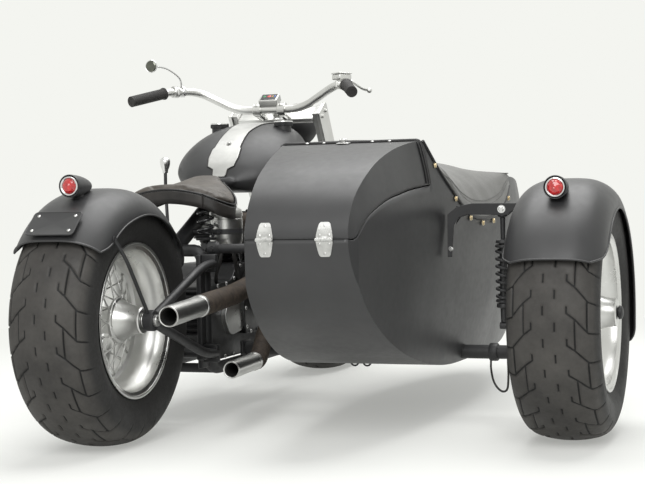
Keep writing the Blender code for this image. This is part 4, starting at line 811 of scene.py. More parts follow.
def top_line(y):
    """Upper outline: a quarter ellipse at the tail, a straight, and a quarter ellipse at the cowl."""
    tail = seam_z + (top_z - seam_z) * np.sqrt(np.clip(1 - ((0.5 - y) / 0.615) ** 2, 0, 1))
    nose = 0.43 + 0.27 * np.sqrt(np.clip(1 - ((y - 1.05) / 0.8) ** 2, 0, 1))
    return np.where(y < 0.5, tail, np.where(y > 1.05, nose, top_z - 0.105 * (y - 0.5) / 0.55))


seam_places = np.array([(-0.115, 0.545), (-0.092, 0.5455), (-0.067, 0.566), (-0.046, 0.585),
                        (-0.021, 0.602), (0.037, 0.625), (0.099, 0.642), (0.156, 0.652), (0.214, 0.662),
                        (0.304, 0.672), (0.335, 0.675)])
rim_places = np.array([(0.335, 0.795), (0.43, 0.685), (0.56, 0.6), (0.7, 0.576), (0.85, 0.6), (1.000, 0.672)])


def through(places, y):
    """Height at y on a smooth curve through places, which run along +Y."""
    line = smooth_line(places, 240)
    return np.interp(y, line[:, 0], line[:, 1])


def columns(first, last, count, ease=False):
    """Places along the body; eased ones crowd towards the first, where the outline turns fast."""
    t = np.linspace(0, 1, count)
    return first + (last - first) * (1 - np.cos(t * np.pi / 2) if ease else t)


print("body half-width at the cockpit", float(half_width(0.7, 0.58)).__round__(3))

# %% [markdown]
# The hull is a thin skin below the seam and the cockpit's rim. Its two flanks and the belt
# that runs under them meet in a crisp edge, so they are separate grids that share their
# border points. A Solidify modifier then gives the sheet its real thickness inwards.

# %% Hull of the sidecar
def flank(ys, levels, rows, side, width=half_width):
    """One side panel: at each place along, heights spread between the levels, and x from the width there."""
    parts = [low[:, None] + (high - low)[:, None] * np.linspace(0, 1, n)[None] for (low, high), n in
             zip(zip(levels, levels[1:]), rows)]
    z = np.concatenate([parts[0]] + [p[:, 1:] for p in parts[1:]], axis=1)
    y = np.broadcast_to(ys[:, None], z.shape)
    return skin(np.stack([body_x + side * width(y, z), y, z], -1))


def belt(ys, zs, across=25, width=half_width, drop=0.0):
    """The strip under or over the body, from one edge to the other, sunk by drop at the edges."""
    u = np.linspace(-1, 1, across)[None]
    half = width(ys, zs)[:, None]
    z = np.broadcast_to(zs[:, None], (len(ys), across)) - drop * u ** 4
    return skin(np.stack([body_x + u * half, np.broadcast_to(ys[:, None], z.shape), z], -1))


def hull_shapes():
    """Both flanks, the belt under them and the cowl, in three lengths: tail, cockpit and nose."""
    corner = -0.08
    shapes = []
    tail = np.concatenate([columns(tail_y, corner, 12, ease=True), columns(corner, 0.335, 44)[1:]])
    middle, front = columns(0.335, 1.0, 64), 1.85 - (1.85 - 1.0) * np.sin(np.linspace(0, np.pi / 2, 60))[::-1]
    for side in (1, -1):
        low = floor_line(tail)
        shapes.append(flank(tail, [low, np.maximum(through(seam_places, tail) - 0.0015, low)], [26], side))
        low, rim = floor_line(middle), through(rim_places, middle)
        share = (through(seam_places, 0.335) - 0.0015 - low[0]) / (rim[0] - low[0])
        shapes.append(flank(middle, [low, low + share * (rim - low), rim], [26, 8], side))
        low, high = floor_line(front), top_line(front)
        join = (rim[-1] - low[0]) / (high[0] - low[0])
        shapes.append(flank(front, [low, low + share * join * (high - low), low + join * (high - low), high],
                            [26, 8, 4], side))
    ys = np.concatenate([tail, middle[1:], front[1:]])
    shapes.append(belt(ys, floor_line(ys)))
    shapes.append(belt(front, top_line(front)))
    return shapes


piece("sidecar_hull", hull_shapes(), "chassis", satin, ["side_body"], wall=0.004, sharp=9.0,
             merge=0.0002)

# %% [markdown]
# The trunk lid is a separate shell that swings on two hinges at the tail. Its edges keep a
# few millimetres clear of the hull, and its flanks lean inwards towards the top.

# %% Trunk lid
lid_edge_y = np.array([-0.115, -0.103, -0.061, 0.002, 0.102, 0.226, 0.332])
lid_edge_w = np.array([0.1345, 0.1355, 0.1385, 0.1455, 0.1545, 0.1715, 0.197])


def lid_width(y, z):
    """From the hull's width at the seam to the top edge's width, easing in towards the top."""
    seam, top = through(seam_places, y), top_line(y)
    t = np.clip((z - seam) / np.maximum(top - seam, 1e-5), 0, 1)
    low = half_width(y, seam)
    high = np.interp(y, *smooth_line(np.column_stack([lid_edge_y, lid_edge_w]), 120).T)
    return low + (high - low) * t ** 1.35


def lid_shapes():
    """Two flanks above the seam and the strip that joins them over the top."""
    ys = np.concatenate([columns(tail_y, -0.08, 14, ease=True), columns(-0.08, lid_front, 46)[1:]])
    top = np.maximum(top_line(ys), seam_z + 0.0015)
    low = np.minimum(through(seam_places, ys) + 0.0015, top)
    return [flank(ys, [low, top], [18], side, lid_width) for side in (1, -1)] + [belt(ys, top,
            width=lid_width)]


piece("trunk_lid_shell", lid_shapes(), "trunk_lid", satin, ["lid"], wall=0.004, sharp=9.0,
      merge=0.0002)

# %% [markdown]
# The three fenders are one round section carried round their wheels. How far down the
# sides reach depends on the angle, which rounds the corners of the lips. Outer and inner
# side are one closed line, so the sheet is solid from the start.

# %% Fenders
crown = 0.351
# Right half of the section: distance from the axle and place across, up to the middle
fender_half = ((0.272, 0.129), (0.29, 0.1265), (0.308, 0.1188), (0.325, 0.104), (0.338, 0.0845),
               (0.347, 0.06), (0.3505, 0.03), (crown, 0.0))


def fender_sheet(place, angles, edges, width=1.0, wall=0.003, across=41):
    """A fender about the X axis: at each angle, the part of the section that lies beyond the edge's radius.

    Angles run from straight up towards the front. Returns the outer grid and the closed shape.
    """
    half = np.array(fender_half) * (1, width)
    fine = 241
    section = smooth_line(np.vstack([half, (half * (1, -1))[-2::-1]]), fine)
    way = unit(np.gradient(section, axis=0))
    normal = np.column_stack([-way[:, 1], way[:, 0]])
    outer, inner = [], []
    for angle, edge in zip(angles, edges):
        first = np.interp(edge, section[:fine // 2 + 1, 0], np.arange(fine // 2 + 1))
        at = np.linspace(first, fine - 1 - first, across)
        r, x, nr, nx = (np.interp(at, np.arange(fine), values) for values in (*section.T, *normal.T))
        for grid, inset in ((outer, 0.0), (inner, wall)):
            reach, side = r - inset * nr, x - inset * nx
            grid.append(np.stack([side, reach * math.sin(angle), reach * math.cos(angle)], -1) + place)
    outer, inner = np.array(outer), np.array(inner)
    places, faces, uv = skin(np.concatenate([outer, inner[:, ::-1]], axis=1), wrap_columns=True)
    for first in (0, (len(angles) - 1) * 2 * across):
        faces += [[first + i, first + i + 1, first + 2 * across - 2 - i, first + 2 * across - 1 - i]
                  for i in range(across - 1)]
    return outer, (places, faces, np.vstack([uv, np.zeros((8 * (across - 1), 2))]))


def rolled_edges(outer, radius=0.0028):
    """A round bead along the fender's four borders, sunk half into the sheet."""
    return [tube(line, radius, sides=8) for line in (outer[:, 0], outer[:, -1], outer[0], outer[-1])]


# Angle in degrees and radius of the side edge there
fender_edges = {"rear": ((-51, 0.301), (-45, 0.283), (-38, 0.2745), (-26, 0.273), (-10, 0.273), (7, 0.28),
                         (20, 0.286), (34, 0.292), (49, 0.305), (63, 0.325), (69, 0.34)),
                "side": ((-64, 0.33), (-59, 0.3), (-52, 0.281), (-44, 0.2735), (-20, 0.2725), (10, 0.2725),
                         (60, 0.2725), (95, 0.274), (103, 0.285), (108, 0.31), (110, 0.335)),
                "front": ((-50, 0.325), (-44, 0.295), (-34, 0.275), (-20, 0.2725), (8, 0.2725), (14, 0.29),
                          (20, 0.32))}
for name, rows in fender_edges.items():
    rows = np.array(rows)
    angles = np.linspace(rows[0, 0], rows[-1, 0], 120)
    line = smooth_line(rows, 300)
    edges = np.interp(angles, line[:, 0], line[:, 1])
    outer, sheet = fender_sheet(wheel_places[name], np.radians(angles), edges,
                                1.06 if name == "front" else 1.0)
    body = "steering" if name == "front" else "chassis"
    piece(name + "_fender_sheet", [sheet] + rolled_edges(outer), body, satin,
          [name + "_fender"], sharp=40)

# %% [markdown]
# A strap is a flat band swept along a path: hinge leaves, levers, trims and the fork's
# plates are all straps with their own widths and thickness.

# %% Straps and dome bolts
def strap(path, across, out, half_widths, low, high):
    """A band along a path: across it reaches half_widths to each side, and out of it from low to high."""
    path = np.asarray(path, float)
    across, out = (np.broadcast_to(np.asarray(a, float), path.shape) for a in (across, out))
    half = np.broadcast_to(np.asarray(half_widths, float), (len(path),))[:, None]
    low, high = (np.broadcast_to(np.asarray(v, float), (len(path),))[:, None] for v in (low, high))
    ring = [path + across * half + out * low, path + across * half + out * high,
            path - across * half + out * high, path - across * half + out * low]
    places, faces, uv = skin(np.stack(ring, 1), wrap_columns=True)
    last = 4 * (len(path) - 1)
    faces += [[0, 1, 2, 3], [last, last + 1, last + 2, last + 3]]
    return places, faces, np.vstack([uv, np.zeros((8, 2))])


def dome_bolt(place, axis, radius=0.005, height=0.003):
    """A round-headed bolt: a quarter of an ellipse turned about its axis, with a small socket."""
    t = np.linspace(0, np.pi / 2, 6)
    dome = [(radius * math.cos(a), height * math.sin(a)) for a in t[:-1]]
    profile = [(0, -0.001), (radius * 0.98, -0.001)] + dome + [(radius * 0.42, height),
            (radius * 0.4, height * 0.5), (0, height * 0.5)]
    return turned(profile, place, axis, 18)


def cap_screw(place, axis, radius=0.006, height=0.006):
    """A hexagon-headed bolt on a washer."""
    washer = turned([(0, -0.001), (radius * 1.45, -0.001), (radius * 1.45, 0.0012), (0, 0.0012)], place,
                    axis, 24)
    head = turned([(0, 0.001), (radius, 0.001), (radius, height - 0.001), (radius * 0.84, height),
                   (0, height)], place, axis, 6)
    return [washer, head]


print("strap and bolt helpers ready")

# %% [markdown]
# The brake hose is the one free cord. It leaves the cross tube's underside, hangs in a
# loop under the sidecar and climbs to the trailing arm; its route is the CAD's own.

# %% Brake hose
hose_radius = 0.003
arm_x = 1.03
hose_points = ((arm_x - 0.13, 0.66, 0.1707), (arm_x - 0.129, 0.655, 0.14), (arm_x - 0.11, 0.61, 0.108),
               (arm_x - 0.075, 0.54, 0.095), (arm_x - 0.045, 0.48, 0.108), (arm_x - 0.032, 0.44, 0.15),
               (arm_x - 0.026, 0.41, 0.205), (arm_x - 0.022, 0.4, 0.245), (arm_x - 0.0103, 0.398, 0.262))


def hose_curve():
    route = smooth_line(hose_points, 22) + home
    fine = smooth_line(route, 120)
    curve = bpy.data.curves.new("brake_hose_line", "CURVE")
    curve.dimensions = "3D"
    curve.bevel_depth, curve.bevel_resolution, curve.use_fill_caps = hose_radius, 4, True
    spline = curve.splines.new("POLY")
    spline.points.add(len(fine) - 1)
    spline.points.foreach_set("co", np.column_stack([fine, np.ones(len(fine))]).astype(np.float32).ravel())
    thing = bpy.data.objects.new("brake_hose_line", curve)
    thing.data.materials.append(rubber)
    bpy.context.scene.collection.objects.link(thing)
    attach(thing, "chassis")
    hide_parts("brake_hose")
    tuple(fine[0])


hose_curve()

# %% [markdown]
# Tail lamps: a black bullet shell with a bright ring inside its mouth, and a red glass cut
# into facets. Each ring of the glass is turned half a step against the last, which makes
# its triangles lean different ways and catch the light one by one.

# %% Tail lamps
lamp_lifts = {"rear": (0.0423, math.radians(24.8)), "side": (0.039, math.radians(32.75))}


def lamp_shell(place):
    """The bullet: a smooth profile turned about the line of travel, closed by a floor in its mouth."""
    profile = [(0.0, 0.109), (0.008, 0.1045), (0.0145, 0.095), (0.0215, 0.072), (0.0265, 0.045),
               (0.0288, 0.02), (0.0296, 0.006), (0.0294, 0.001), (0.0285, 0.0), (0.0272, 0.001),
               (0.0268, 0.006), (0.0262, 0.012), (0.0, 0.013)]
    return turned(smooth_line(profile, 70), place, (0, 1, 0), 64)


def lamp_foot(place, wheel):
    """A short flared neck from the shell down to the fender, its last ring following the fender's curve."""
    at = place + (0, 0.045, 0)
    rings = []
    turn = np.linspace(0, 2 * np.pi, 40, endpoint=False)
    for share, radius in ((0.0, 0.013), (0.5, 0.0135), (0.8, 0.015), (0.95, 0.018), (1.0, 0.0205)):
        x, y = radius * np.cos(turn), at[1] - wheel[1] + radius * np.sin(turn)
        ground = np.sqrt(np.maximum((crown + 0.0004) ** 2 - y ** 2, 0)) + wheel[2] - 0.35 * x ** 2
        z = (at[2] - 0.018) * (1 - share) + ground * share
        rings.append(np.stack([x + wheel[0], y + wheel[1], z], -1))
    return skin(np.array(rings), wrap_columns=True)


def lamp_ring(place):
    """The bright ring that holds the glass."""
    profile = [(0.0195, 0.004), (0.0198, -0.0006), (0.0215, -0.0018), (0.024, -0.0014), (0.0258, 0.001),
               (0.0264, 0.008), (0.0195, 0.009)]
    return turned(profile, place, (0, 1, 0), 64, closed=True)


def cut_glass(place, corners=14):
    """Faceted dome: rings of corners, joined by triangles that share no normals."""
    profile = ((0.0198, 0.0005), (0.0182, -0.0022), (0.0136, -0.0062), (0.0078, -0.0078), (0.003, -0.0095))
    rows = []
    for k, (radius, height) in enumerate(profile):
        turn = 2 * np.pi * (np.arange(corners) + 0.5 * (k % 2)) / corners
        rows.append(np.stack([radius * np.cos(turn), np.full(corners, height), radius * np.sin(turn)], -1))
    grid = np.array(rows) + place
    places = np.vstack([grid.reshape(-1, 3), place + (0, -0.0088, 0), place + (0, 0.0095, 0)])
    tip, back = len(places) - 2, len(places) - 1
    after = [(i + 1) % corners for i in range(corners)]
    faces = []
    for k in range(len(profile) - 1):
        ring, above = k * corners, (k + 1) * corners
        for i, j in enumerate(after):
            a, b, c, d = ring + i, ring + j, above + i, above + j
            faces += [[a, b, c], [b, d, c]] if k % 2 == 0 else [[a, b, d], [a, d, c]]
    faces += [[above + i, above + j, tip] for i, j in enumerate(after)]
    faces += [[j, i, back] for i, j in enumerate(after)]
    return places, faces, np.zeros((3 * len(faces), 2))


for name, (lift, angle) in lamp_lifts.items():
    wheel = wheel_places[name]
    place = wheel + (0, -(crown + lift) * math.sin(angle), (crown + lift) * math.cos(angle))
    piece(name + "_lamp_shell", [lamp_shell(place), lamp_foot(place, wheel)], "chassis", satin,
          [name + "_lamp"])
    piece(name + "_lamp_ring", [lamp_ring(place)], "chassis", chrome)
    piece(name + "_cut_glass", [cut_glass(place)], "chassis", red_glass, [name + "_lens"],
          sharp=1.0)

# %% [markdown]
# The number plate is blank. It lies flat on two stand-offs behind the rear fender, with a
# rolled rim all round it and a dome bolt near each corner.

# %% Number plate
plate_lift = math.radians(47)
plate_size = (0.136, 0.082)


def plate_shapes():
    """Plate, rolled rim and stand-offs, and its bolts, on axes that lean with the fender."""
    wheel = wheel_places["rear"]
    out = np.array([0, -math.cos(plate_lift), math.sin(plate_lift)])
    up = np.array([0, math.sin(plate_lift), math.cos(plate_lift)])
    right = np.array([1.0, 0, 0])
    centre = wheel + out * (crown + 0.009)
    half_x, half_y, corner = plate_size[0] / 2, plate_size[1] / 2, 0.01
    turn = np.linspace(0, np.pi / 2, 6)
    rim = []
    for sx, sy, first in ((1, 1, 0), (-1, 1, 1), (-1, -1, 2), (1, -1, 3)):
        for a in turn + first * np.pi / 2:
            rim.append((sx * (half_x - corner) + corner * math.cos(a),
                        sy * (half_y - corner) + corner * math.sin(a)))
    rim = np.array(rim)
    edge = centre + rim[:, :1] * 0.985 * right + rim[:, 1:] * 0.975 * up
    levels = []
    for share, lift in ((1.0, -0.0015), (1.0, 0.0012), (0.965, 0.0015), (0.93, 0.0008), (0.0, 0.0008)):
        levels.append(centre + share * (rim[:, :1] * right + rim[:, 1:] * up) + lift * out)
    levels.insert(0, centre + 0.0 * rim[:, :1] * right + rim[:, 1:] * 0.0 * up - 0.0015 * out)
    shapes = [skin(np.array(levels), wrap_columns=True), tube(edge + 0.0002 * out, 0.0019, sides=8,
            closed=True)]
    posts = [turned([(0, -0.0085), (0.0075, -0.0085), (0.0068, -0.002), (0, -0.002)], centre + x * right,
                    out, 24) for x in (-0.03, 0.03)]
    bolts = [dome_bolt(centre + sx * 0.052 * right + sy * 0.026 * up + 0.0008 * out, out, 0.0048, 0.003)
             for sx in (1, -1) for sy in (1, -1)]
    return shapes + posts, bolts


plate, plate_bolts = plate_shapes()
piece("blank_plate", plate, "chassis", satin, ["plate_bracket"], sharp=30)
piece("plate_bolts", plate_bolts, "chassis", steel)

# %% [markdown]
# The trunk hinges are stainless butt hinges. Each leaf narrows away from its knuckle, lies
# on the tail's own curve, and is held by three dome screws; the body's leaf has the two
# outer knuckles and the lid's leaf has the middle one.

# %% Trunk hinges
hinge_places = {"left": body_x - 0.0815, "right": body_x + 0.075}
knuckle_y, knuckle_radius, leaf_length = -0.1203, 0.0048, 0.042


def tail_curve(rise):
    """Places (y, z) on the tail's outline at heights above or below the seam."""
    rise = np.asarray(rise, float)
    above = 0.5 - 0.615 * np.sqrt(1 - (np.clip(rise, 0, 1) / 0.26) ** 2)
    below = 0.62 - 0.735 * np.sqrt(1 - (np.clip(-rise, 0, 1) / 0.38) ** 2)
    return np.where(rise > 0, above, below), seam_z + rise


def leaf_shapes(x, way, stations=16):
    """One leaf above (way 1) or below (way -1) the seam with its knuckles, and its screws."""
    run = np.linspace(0.003, leaf_length, stations) * way
    y, z = tail_curve(run)
    path = np.column_stack([np.full(stations, x), y, z])
    along = np.gradient(path, axis=0)
    out = unit(np.column_stack([np.zeros(stations), -np.abs(along[:, 2]),
                                along[:, 1] * np.sign(along[:, 2])]))
    half = 0.022 - 0.0085 * np.linspace(0, 1, stations) ** 1.4
    half[-2:] -= (0.0008, 0.003)
    shapes = [strap(path, (1, 0, 0), out, half, 0.0003, 0.0022)]
    near, far = 3, 12
    spots = ((near, 0.0125), (near, -0.0125), (far, 0.0))
    screws = [dome_bolt(path[k] + (dx, 0, 0) + out[k] * 0.002, out[k], 0.0038, 0.0016) for k, dx in spots]
    third, slack = 0.044 / 3, 0.0003
    for low, high in ((-1, 1),) if way > 0 else ((-3, -1), (1, 3)):
        ends = np.array([[x + low * third / 2 + slack, knuckle_y, seam_z],
                         [x + high * third / 2 - slack, knuckle_y, seam_z]])
        shapes.append(tube(ends, knuckle_radius, sides=24))
        middle = ends[:, 0].mean()
        tongue = np.array([[middle, knuckle_y, seam_z + way * 0.002],
                           [middle, path[0, 1] - 0.001, seam_z + way * 0.004],
                           path[2] * (0, 1, 1) + (middle, 0, 0)])
        shapes.append(strap(tongue, (1, 0, 0), (0, -1, 0), (ends[1, 0] - ends[0, 0]) / 2, 0.0004, 0.0022))
    if way < 0:
        shapes.append(tube([[x - 0.0232, knuckle_y, seam_z], [x + 0.0232, knuckle_y, seam_z]], 0.0026,
                           sides=16))
    return shapes, screws


for word, x in hinge_places.items():
    for way, owner, body in ((1, "lid", "trunk_lid"), (-1, "body", "chassis")):
        shapes, screws = leaf_shapes(x, way)
        piece("hinge_leaf_" + owner + "_" + word, shapes + screws, body, steel,
              ["hinge_" + owner + "_" + word], bevel=0.0004, sharp=30)

# %% [markdown]
# The lid's front edge carries a dark leather piping with press studs, and a turn catch in
# its middle. The piping is a round cord sewn over the edge, from the seam on one side, over
# the top, to the seam on the other.

# %% Piping, studs and catch on the lid
def lid_edge(y, lift=0.0, count=90):
    """The lid's section at y as one line over its two flanks and its top, pushed out by lift."""
    top, low = float(top_line(y)), float(through(seam_places, y)) + 0.004
    z = np.linspace(low, top - 0.012, 26)
    half = lid_width(np.full(26, y), z)
    side = np.column_stack([half, z])
    turn = np.linspace(0, np.pi / 2, 8)[1:]
    bend = np.column_stack([half[-1] - 0.012 + 0.012 * np.cos(turn) - 0.0015,
                            top - 0.012 + 0.012 * np.sin(turn)])
    right = np.vstack([side, bend])
    line = np.vstack([right * (-1, 1), right[::-1]])
    middle = np.array([0, top - 0.2])
    way = line - middle
    line = line + lift * way / np.linalg.norm(way, axis=1, keepdims=True)
    run = distances(line)
    even = np.linspace(0, run[-1], count)
    return np.column_stack([body_x + np.interp(even, run, line[:, 0]), np.full(count, y),
                            np.interp(even, run, line[:, 1])])


black_piping = finish("black_piping", (0.006, 0.006, 0.006), (0.016, 0.015, 0.016), (0.4, 0.56), tone=30.0,
                      grain=800.0, bump=0.2)
piping = [tube(lid_edge(lid_front - 0.004, 0.0016), 0.0046, sides=12)]
edge_line = lid_edge(lid_front - 0.013, 0.0004)
outwards = unit(edge_line - (body_x, edge_line[0, 1], 0.62))
piping.append(strap(edge_line, (0, 1, 0), outwards, 0.009, 0.0, 0.0014))
piece("lid_piping", piping, "trunk_lid", black_piping)
studs = []
for share in (0.31, 0.39, 0.61, 0.69):
    spot = edge_line[int(share * (len(edge_line) - 1))]
    studs.append(dome_bolt(spot + (0, 0, 0.0014), (0, 0, 1), 0.0052, 0.0034))
catch_y, catch_x = lid_front - 0.034, body_x - 0.01
catch_z = float(top_line(catch_y))
studs.append(block((0.036, 0.02, 0.0036), (catch_x, catch_y, catch_z + 0.0024), 0.0016, (0.1, 0, 0)))
studs.append(turned([(0, 0.014), (0.0055, 0.0135), (0.0075, 0.011), (0.0075, 0.008), (0.005, 0.006),
                     (0.005, 0.001), (0, 0.001)], (catch_x, catch_y, catch_z + 0.001), (0, 0, 1), 32))
studs.append(block((0.022, 0.0042, 0.0055), (catch_x, catch_y, catch_z + 0.0115), 0.0018, (0, 0, 0.3)))
piece("lid_catch_and_studs", studs, "trunk_lid", steel, ["latch"])

# %% [markdown]
# The cockpit's rim wears a black edge trim. The grey leather cover hangs on brass turn
# clips just outside it, and each clip is a small oval plate with a turned pip.

# %% Rim trim and clips
def rim_line(side, first=0.336, last=0.998, count=110, out=0.0):
    """The cockpit's rim on one side, moved outwards by out."""
    y = np.linspace(first, last, count)
    z = through(rim_places, y)
    return np.column_stack([body_x + side * (half_width(y, z) + out), y, z])


trim = [tube(rim_line(side), 0.0046, sides=12) for side in (1, -1)]
piece("cockpit_rim_trim", trim, "chassis", black_piping)
clips = []
for side in (1, -1):
    line = rim_line(side, out=0.002)
    for share in (0.07, 0.22, 0.37, 0.52, 0.66, 0.8, 0.93):
        spot = line[int(share * (len(line) - 1))] - (0, 0, 0.013)
        clips.append(turned([(0, 0.0005), (0.0078, 0.0005), (0.0078, 0.0016), (0.006, 0.0026), (0, 0.0026)],
                            spot, (side, 0, 0.1), 24))
        clips.append(block((0.005, 0.0038, 0.0125), spot + (side * 0.0042, 0, 0), 0.0015))
piece("cover_clips", clips, "chassis", brass)

# %% [markdown]
# The cover itself is one sheet of grey leather pulled tight over hidden hoops. It is worked
# out as a crowned surface: across it runs from rim to rim, and its crown falls from the lid
# to the cowl. Small pull folds run from each clip and fade towards the middle, and a sewn
# seam runs along both edges.

# %% Cockpit cover
cover_rows = np.array([(0.337, 0.789, 0.802), (0.43, 0.689, 0.78), (0.56, 0.604, 0.758), (0.7, 0.58, 0.75),
                       (0.85, 0.604, 0.75), (1.004, 0.676, float(top_line(1.004)) + 0.0015)])
cover_arch = np.array([(1.0, 0.0), (0.985, 0.16), (0.94, 0.36), (0.85, 0.58), (0.66, 0.8), (0.35, 0.95),
                       (0.0, 1.0)])
front_arch = np.array([(1.0, 0.0), (1.0, 0.33), (1.0, 0.66), (0.998, 0.93), (0.985, 0.995), (0.6, 1.0),
                       (0.0, 1.0)])
seam_share = 0.05


def cover_grid(rows=150, across=121):
    """Places on the cover: y along, and an arch from rim to rim, with folds that fade inwards."""
    y = np.linspace(cover_rows[0, 0], cover_rows[-1, 0], rows)
    low, high = (np.interp(y, *smooth_line(cover_rows[:, [0, k]], 200).T) for k in (1, 2))
    half = half_width(y, low) + 0.0022
    half = np.minimum(half, np.interp(y, (0.337, 0.46, 0.6), (0.208, 0.245, 0.4)))
    arch = smooth_line(np.vstack([cover_arch, (cover_arch * (-1, 1))[-2::-1]]), 400)
    run = distances(arch * (0.28, 0.14))
    even = np.linspace(0, run[-1], across)
    boxy = smooth_line(np.vstack([front_arch, (front_arch * (-1, 1))[-2::-1]]), 400)
    front = np.clip((y - 0.86) / 0.142, 0, 1)[:, None] ** 2
    u, v = (np.interp(even, run, arch[:, k]) * (1 - front) + np.interp(even, run,
            boxy[:, k]) * front for k in (0, 1))
    share = even / run[-1]
    border = np.minimum(share, 1 - share)
    fold = 0.0011 * np.cos(2 * np.pi * (y - 0.385) / 0.0972)[:,
            None] * np.exp(-border / 0.13) * np.clip(border / 0.03, 0, 1)
    slack = 0.0016 * np.sin(23 * y[:, None] + 9 * share) * np.sin(np.pi * share) ** 2
    slack = slack + 0.001 * np.sin(61 * y[:, None] - 17 * share + 1.3) * np.sin(np.pi * share)
    seam = 0.0016 * np.exp(-((border - seam_share) / 0.0045) ** 2)
    z = low[:, None] + (high - low)[:, None] * v + (fold + slack - seam) * (0.3 + 0.7 * v) * (1 - front)
    half = half[:, None] * (1 - front) + (half_width(np.broadcast_to(y[:, None], z.shape),
            z) + 0.0024) * front
    x = body_x + half * u + (fold - seam) * u * (1 - front)
    return np.stack([x, np.broadcast_to(y[:, None], x.shape), z], -1)


cover_points = cover_grid()
cover = piece("cockpit_cover", [skin(cover_points)], "chassis", grey_leather, ["tonneau"],
              wall=0.0014, sharp=70)
stitches = []
for column in (5, 7, 113, 115):
    line = cover_points[:, column] + (0, 0, 0.0008)
    run = distances(line)
    for start in np.arange(0.006, run[-1] - 0.006, 0.0075):
        ends = np.column_stack([np.interp((start, start + 0.005), run, line[:, k]) for k in range(3)])
        stitches.append(tube(ends, 0.0007, sides=5))
thread = piece("cover_stitches", stitches, "chassis", stitch_thread)

# %% [markdown]
# The sidecar's wheel has a coil-over shock inside its fender. The spring is a real helix
# round the damper, and a black bracket with a bolt holds its upper eye between the body
# and the fender.

# %% Shock and its bracket
shock_x, shock_y, bracket_z = arm_x - 0.036, 0.42, 0.605
side_axle = wheel_places["side"]


def shock_shapes():
    """Damper as a turned profile, and a spring whose line is (r cos a, r sin a, falling height)."""
    top, low = bracket_z - 0.0043, 0.3003
    body = [(0.0, top), (0.012, top), (0.0135, top - 0.003), (0.0135, top - 0.014), (0.007, top - 0.018),
            (0.0062, 0.524), (0.019, 0.522), (0.02, 0.518), (0.02, 0.514), (0.0105, 0.512), (0.0105, 0.352),
            (0.019, 0.35), (0.02, 0.346), (0.02, 0.34), (0.01, 0.336), (0.0092, low), (0.0, low)]
    turns = 9
    a = np.linspace(0, 2 * np.pi * turns, turns * 26)
    z = np.interp(a, (0, 2 * np.pi, 2 * np.pi * (turns - 1), 2 * np.pi * turns),
                  (0.5095, 0.503, 0.361, 0.3545))
    helix = np.column_stack([shock_x + 0.0185 * np.cos(a), shock_y + 0.0185 * np.sin(a), z])
    return [turned(body, (shock_x, shock_y, 0), (0, 0, 1), 40), tube(helix, 0.004, sides=9)]


piece("coil_over_shock", shock_shapes(), "chassis", frame_black, ["shock"], sharp=30)
inner_x = body_x + float(half_width(shock_y, bracket_z)) + 0.0005
fender_x = side_axle[0] - 0.1215
outline = [(inner_x + 0.001, bracket_z - 0.128), (inner_x + 0.013, bracket_z - 0.128),
           (inner_x + 0.02, bracket_z - 0.04), (inner_x + 0.034, bracket_z - 0.02),
           (inner_x + 0.06, bracket_z - 0.012), (shock_x + 0.014, bracket_z - 0.016),
           (shock_x + 0.026, bracket_z - 0.006), (fender_x, bracket_z - 0.004),
           (fender_x - 0.008, bracket_z + 0.016), (inner_x + 0.07, bracket_z + 0.018),
           (inner_x + 0.03, bracket_z + 0.01), (inner_x + 0.002, bracket_z - 0.012)]
shapes = [slab(outline, shock_y - 0.014, shock_y - 0.008, "xz"),
          slab(outline[2:11], shock_y + 0.008, shock_y + 0.014, "xz"),
          block((fender_x - inner_x - 0.03, 0.018, 0.006), ((fender_x + inner_x) / 2 + 0.01, shock_y,
        bracket_z + 0.0085), 0.002)]
piece("shock_bracket_plates", shapes, "chassis", frame_black, ["shock_bracket"],
      bevel=0.0012, sharp=30)
bolts = cap_screw((shock_x, shock_y - 0.014, bracket_z + 0.001), (0, -1, 0), 0.0075, 0.007)
bolts += cap_screw((inner_x + 0.01, shock_y - 0.014, bracket_z - 0.105), (0, -1, 0), 0.0045, 0.005)
piece("shock_bolts", bolts, "chassis", chrome, sharp=30)

# %% [markdown]
# The arm is one thick plate, as its stub axle has to stay square to it. It runs from the
# cross tube's end back to the wheel and tapers towards its pivot.

# %% Trailing arm
pivot_y, pivot_z, side_tube = 0.66, 0.191, 0.02


def arm_outline():
    """Side view: round about the axle, straight flanks, and round about the pivot."""
    y, z = side_axle[1:]
    eye = [(y + 0.036 * math.cos(a), z + 0.036 * math.sin(a)) for a in np.radians(np.linspace(70, 290, 14))]
    far = [(pivot_y + 0.027 * math.cos(a),
            pivot_z + 0.027 * math.sin(a)) for a in np.radians(np.linspace(-110, 70, 12))]
    return eye + [(y + 0.085, z - 0.062)] + far + [(y + 0.075, z + 0.004)]


arm = [slab(arm_outline(), arm_x - 0.01, arm_x + 0.01), turned([(0, 0.0), (0.026, 0.0), (0.03, 0.004),
        (0.03, 0.02), (0, 0.02)], (arm_x + 0.006, pivot_y, pivot_z), (1, 0, 0), 40)]
stub = [(0.0, 1.322), (0.008, 1.322), (0.0165, 1.319), (0.018, 1.312), (0.018, 1.3095), (0.012, 1.3093),
        (0.012, 1.0655), (0.0235, 1.065), (0.024, 1.05), (0.024, arm_x), (0.0, arm_x)]
arm.append(turned(stub, (0, *side_axle[1:]), (1, 0, 0), 48))
arm.append(tube([(shock_x - 0.012, shock_y, 0.29), (arm_x - 0.006, shock_y, 0.29)], 0.0098, sides=24))
piece("trailing_arm", arm, "chassis", frame_black, ["side_arm"], bevel=0.002, sharp=30)

# %% [markdown]
# Two cross tubes run from the bike's cradle under the body, tied by two rails, with a
# flanged foot at the bike. A third, slimmer strut holds the body from above, and small
# loops of rod under the tail are its tie-down hoops.

# %% Sidecar frame
inner_tube_x = 0.1283


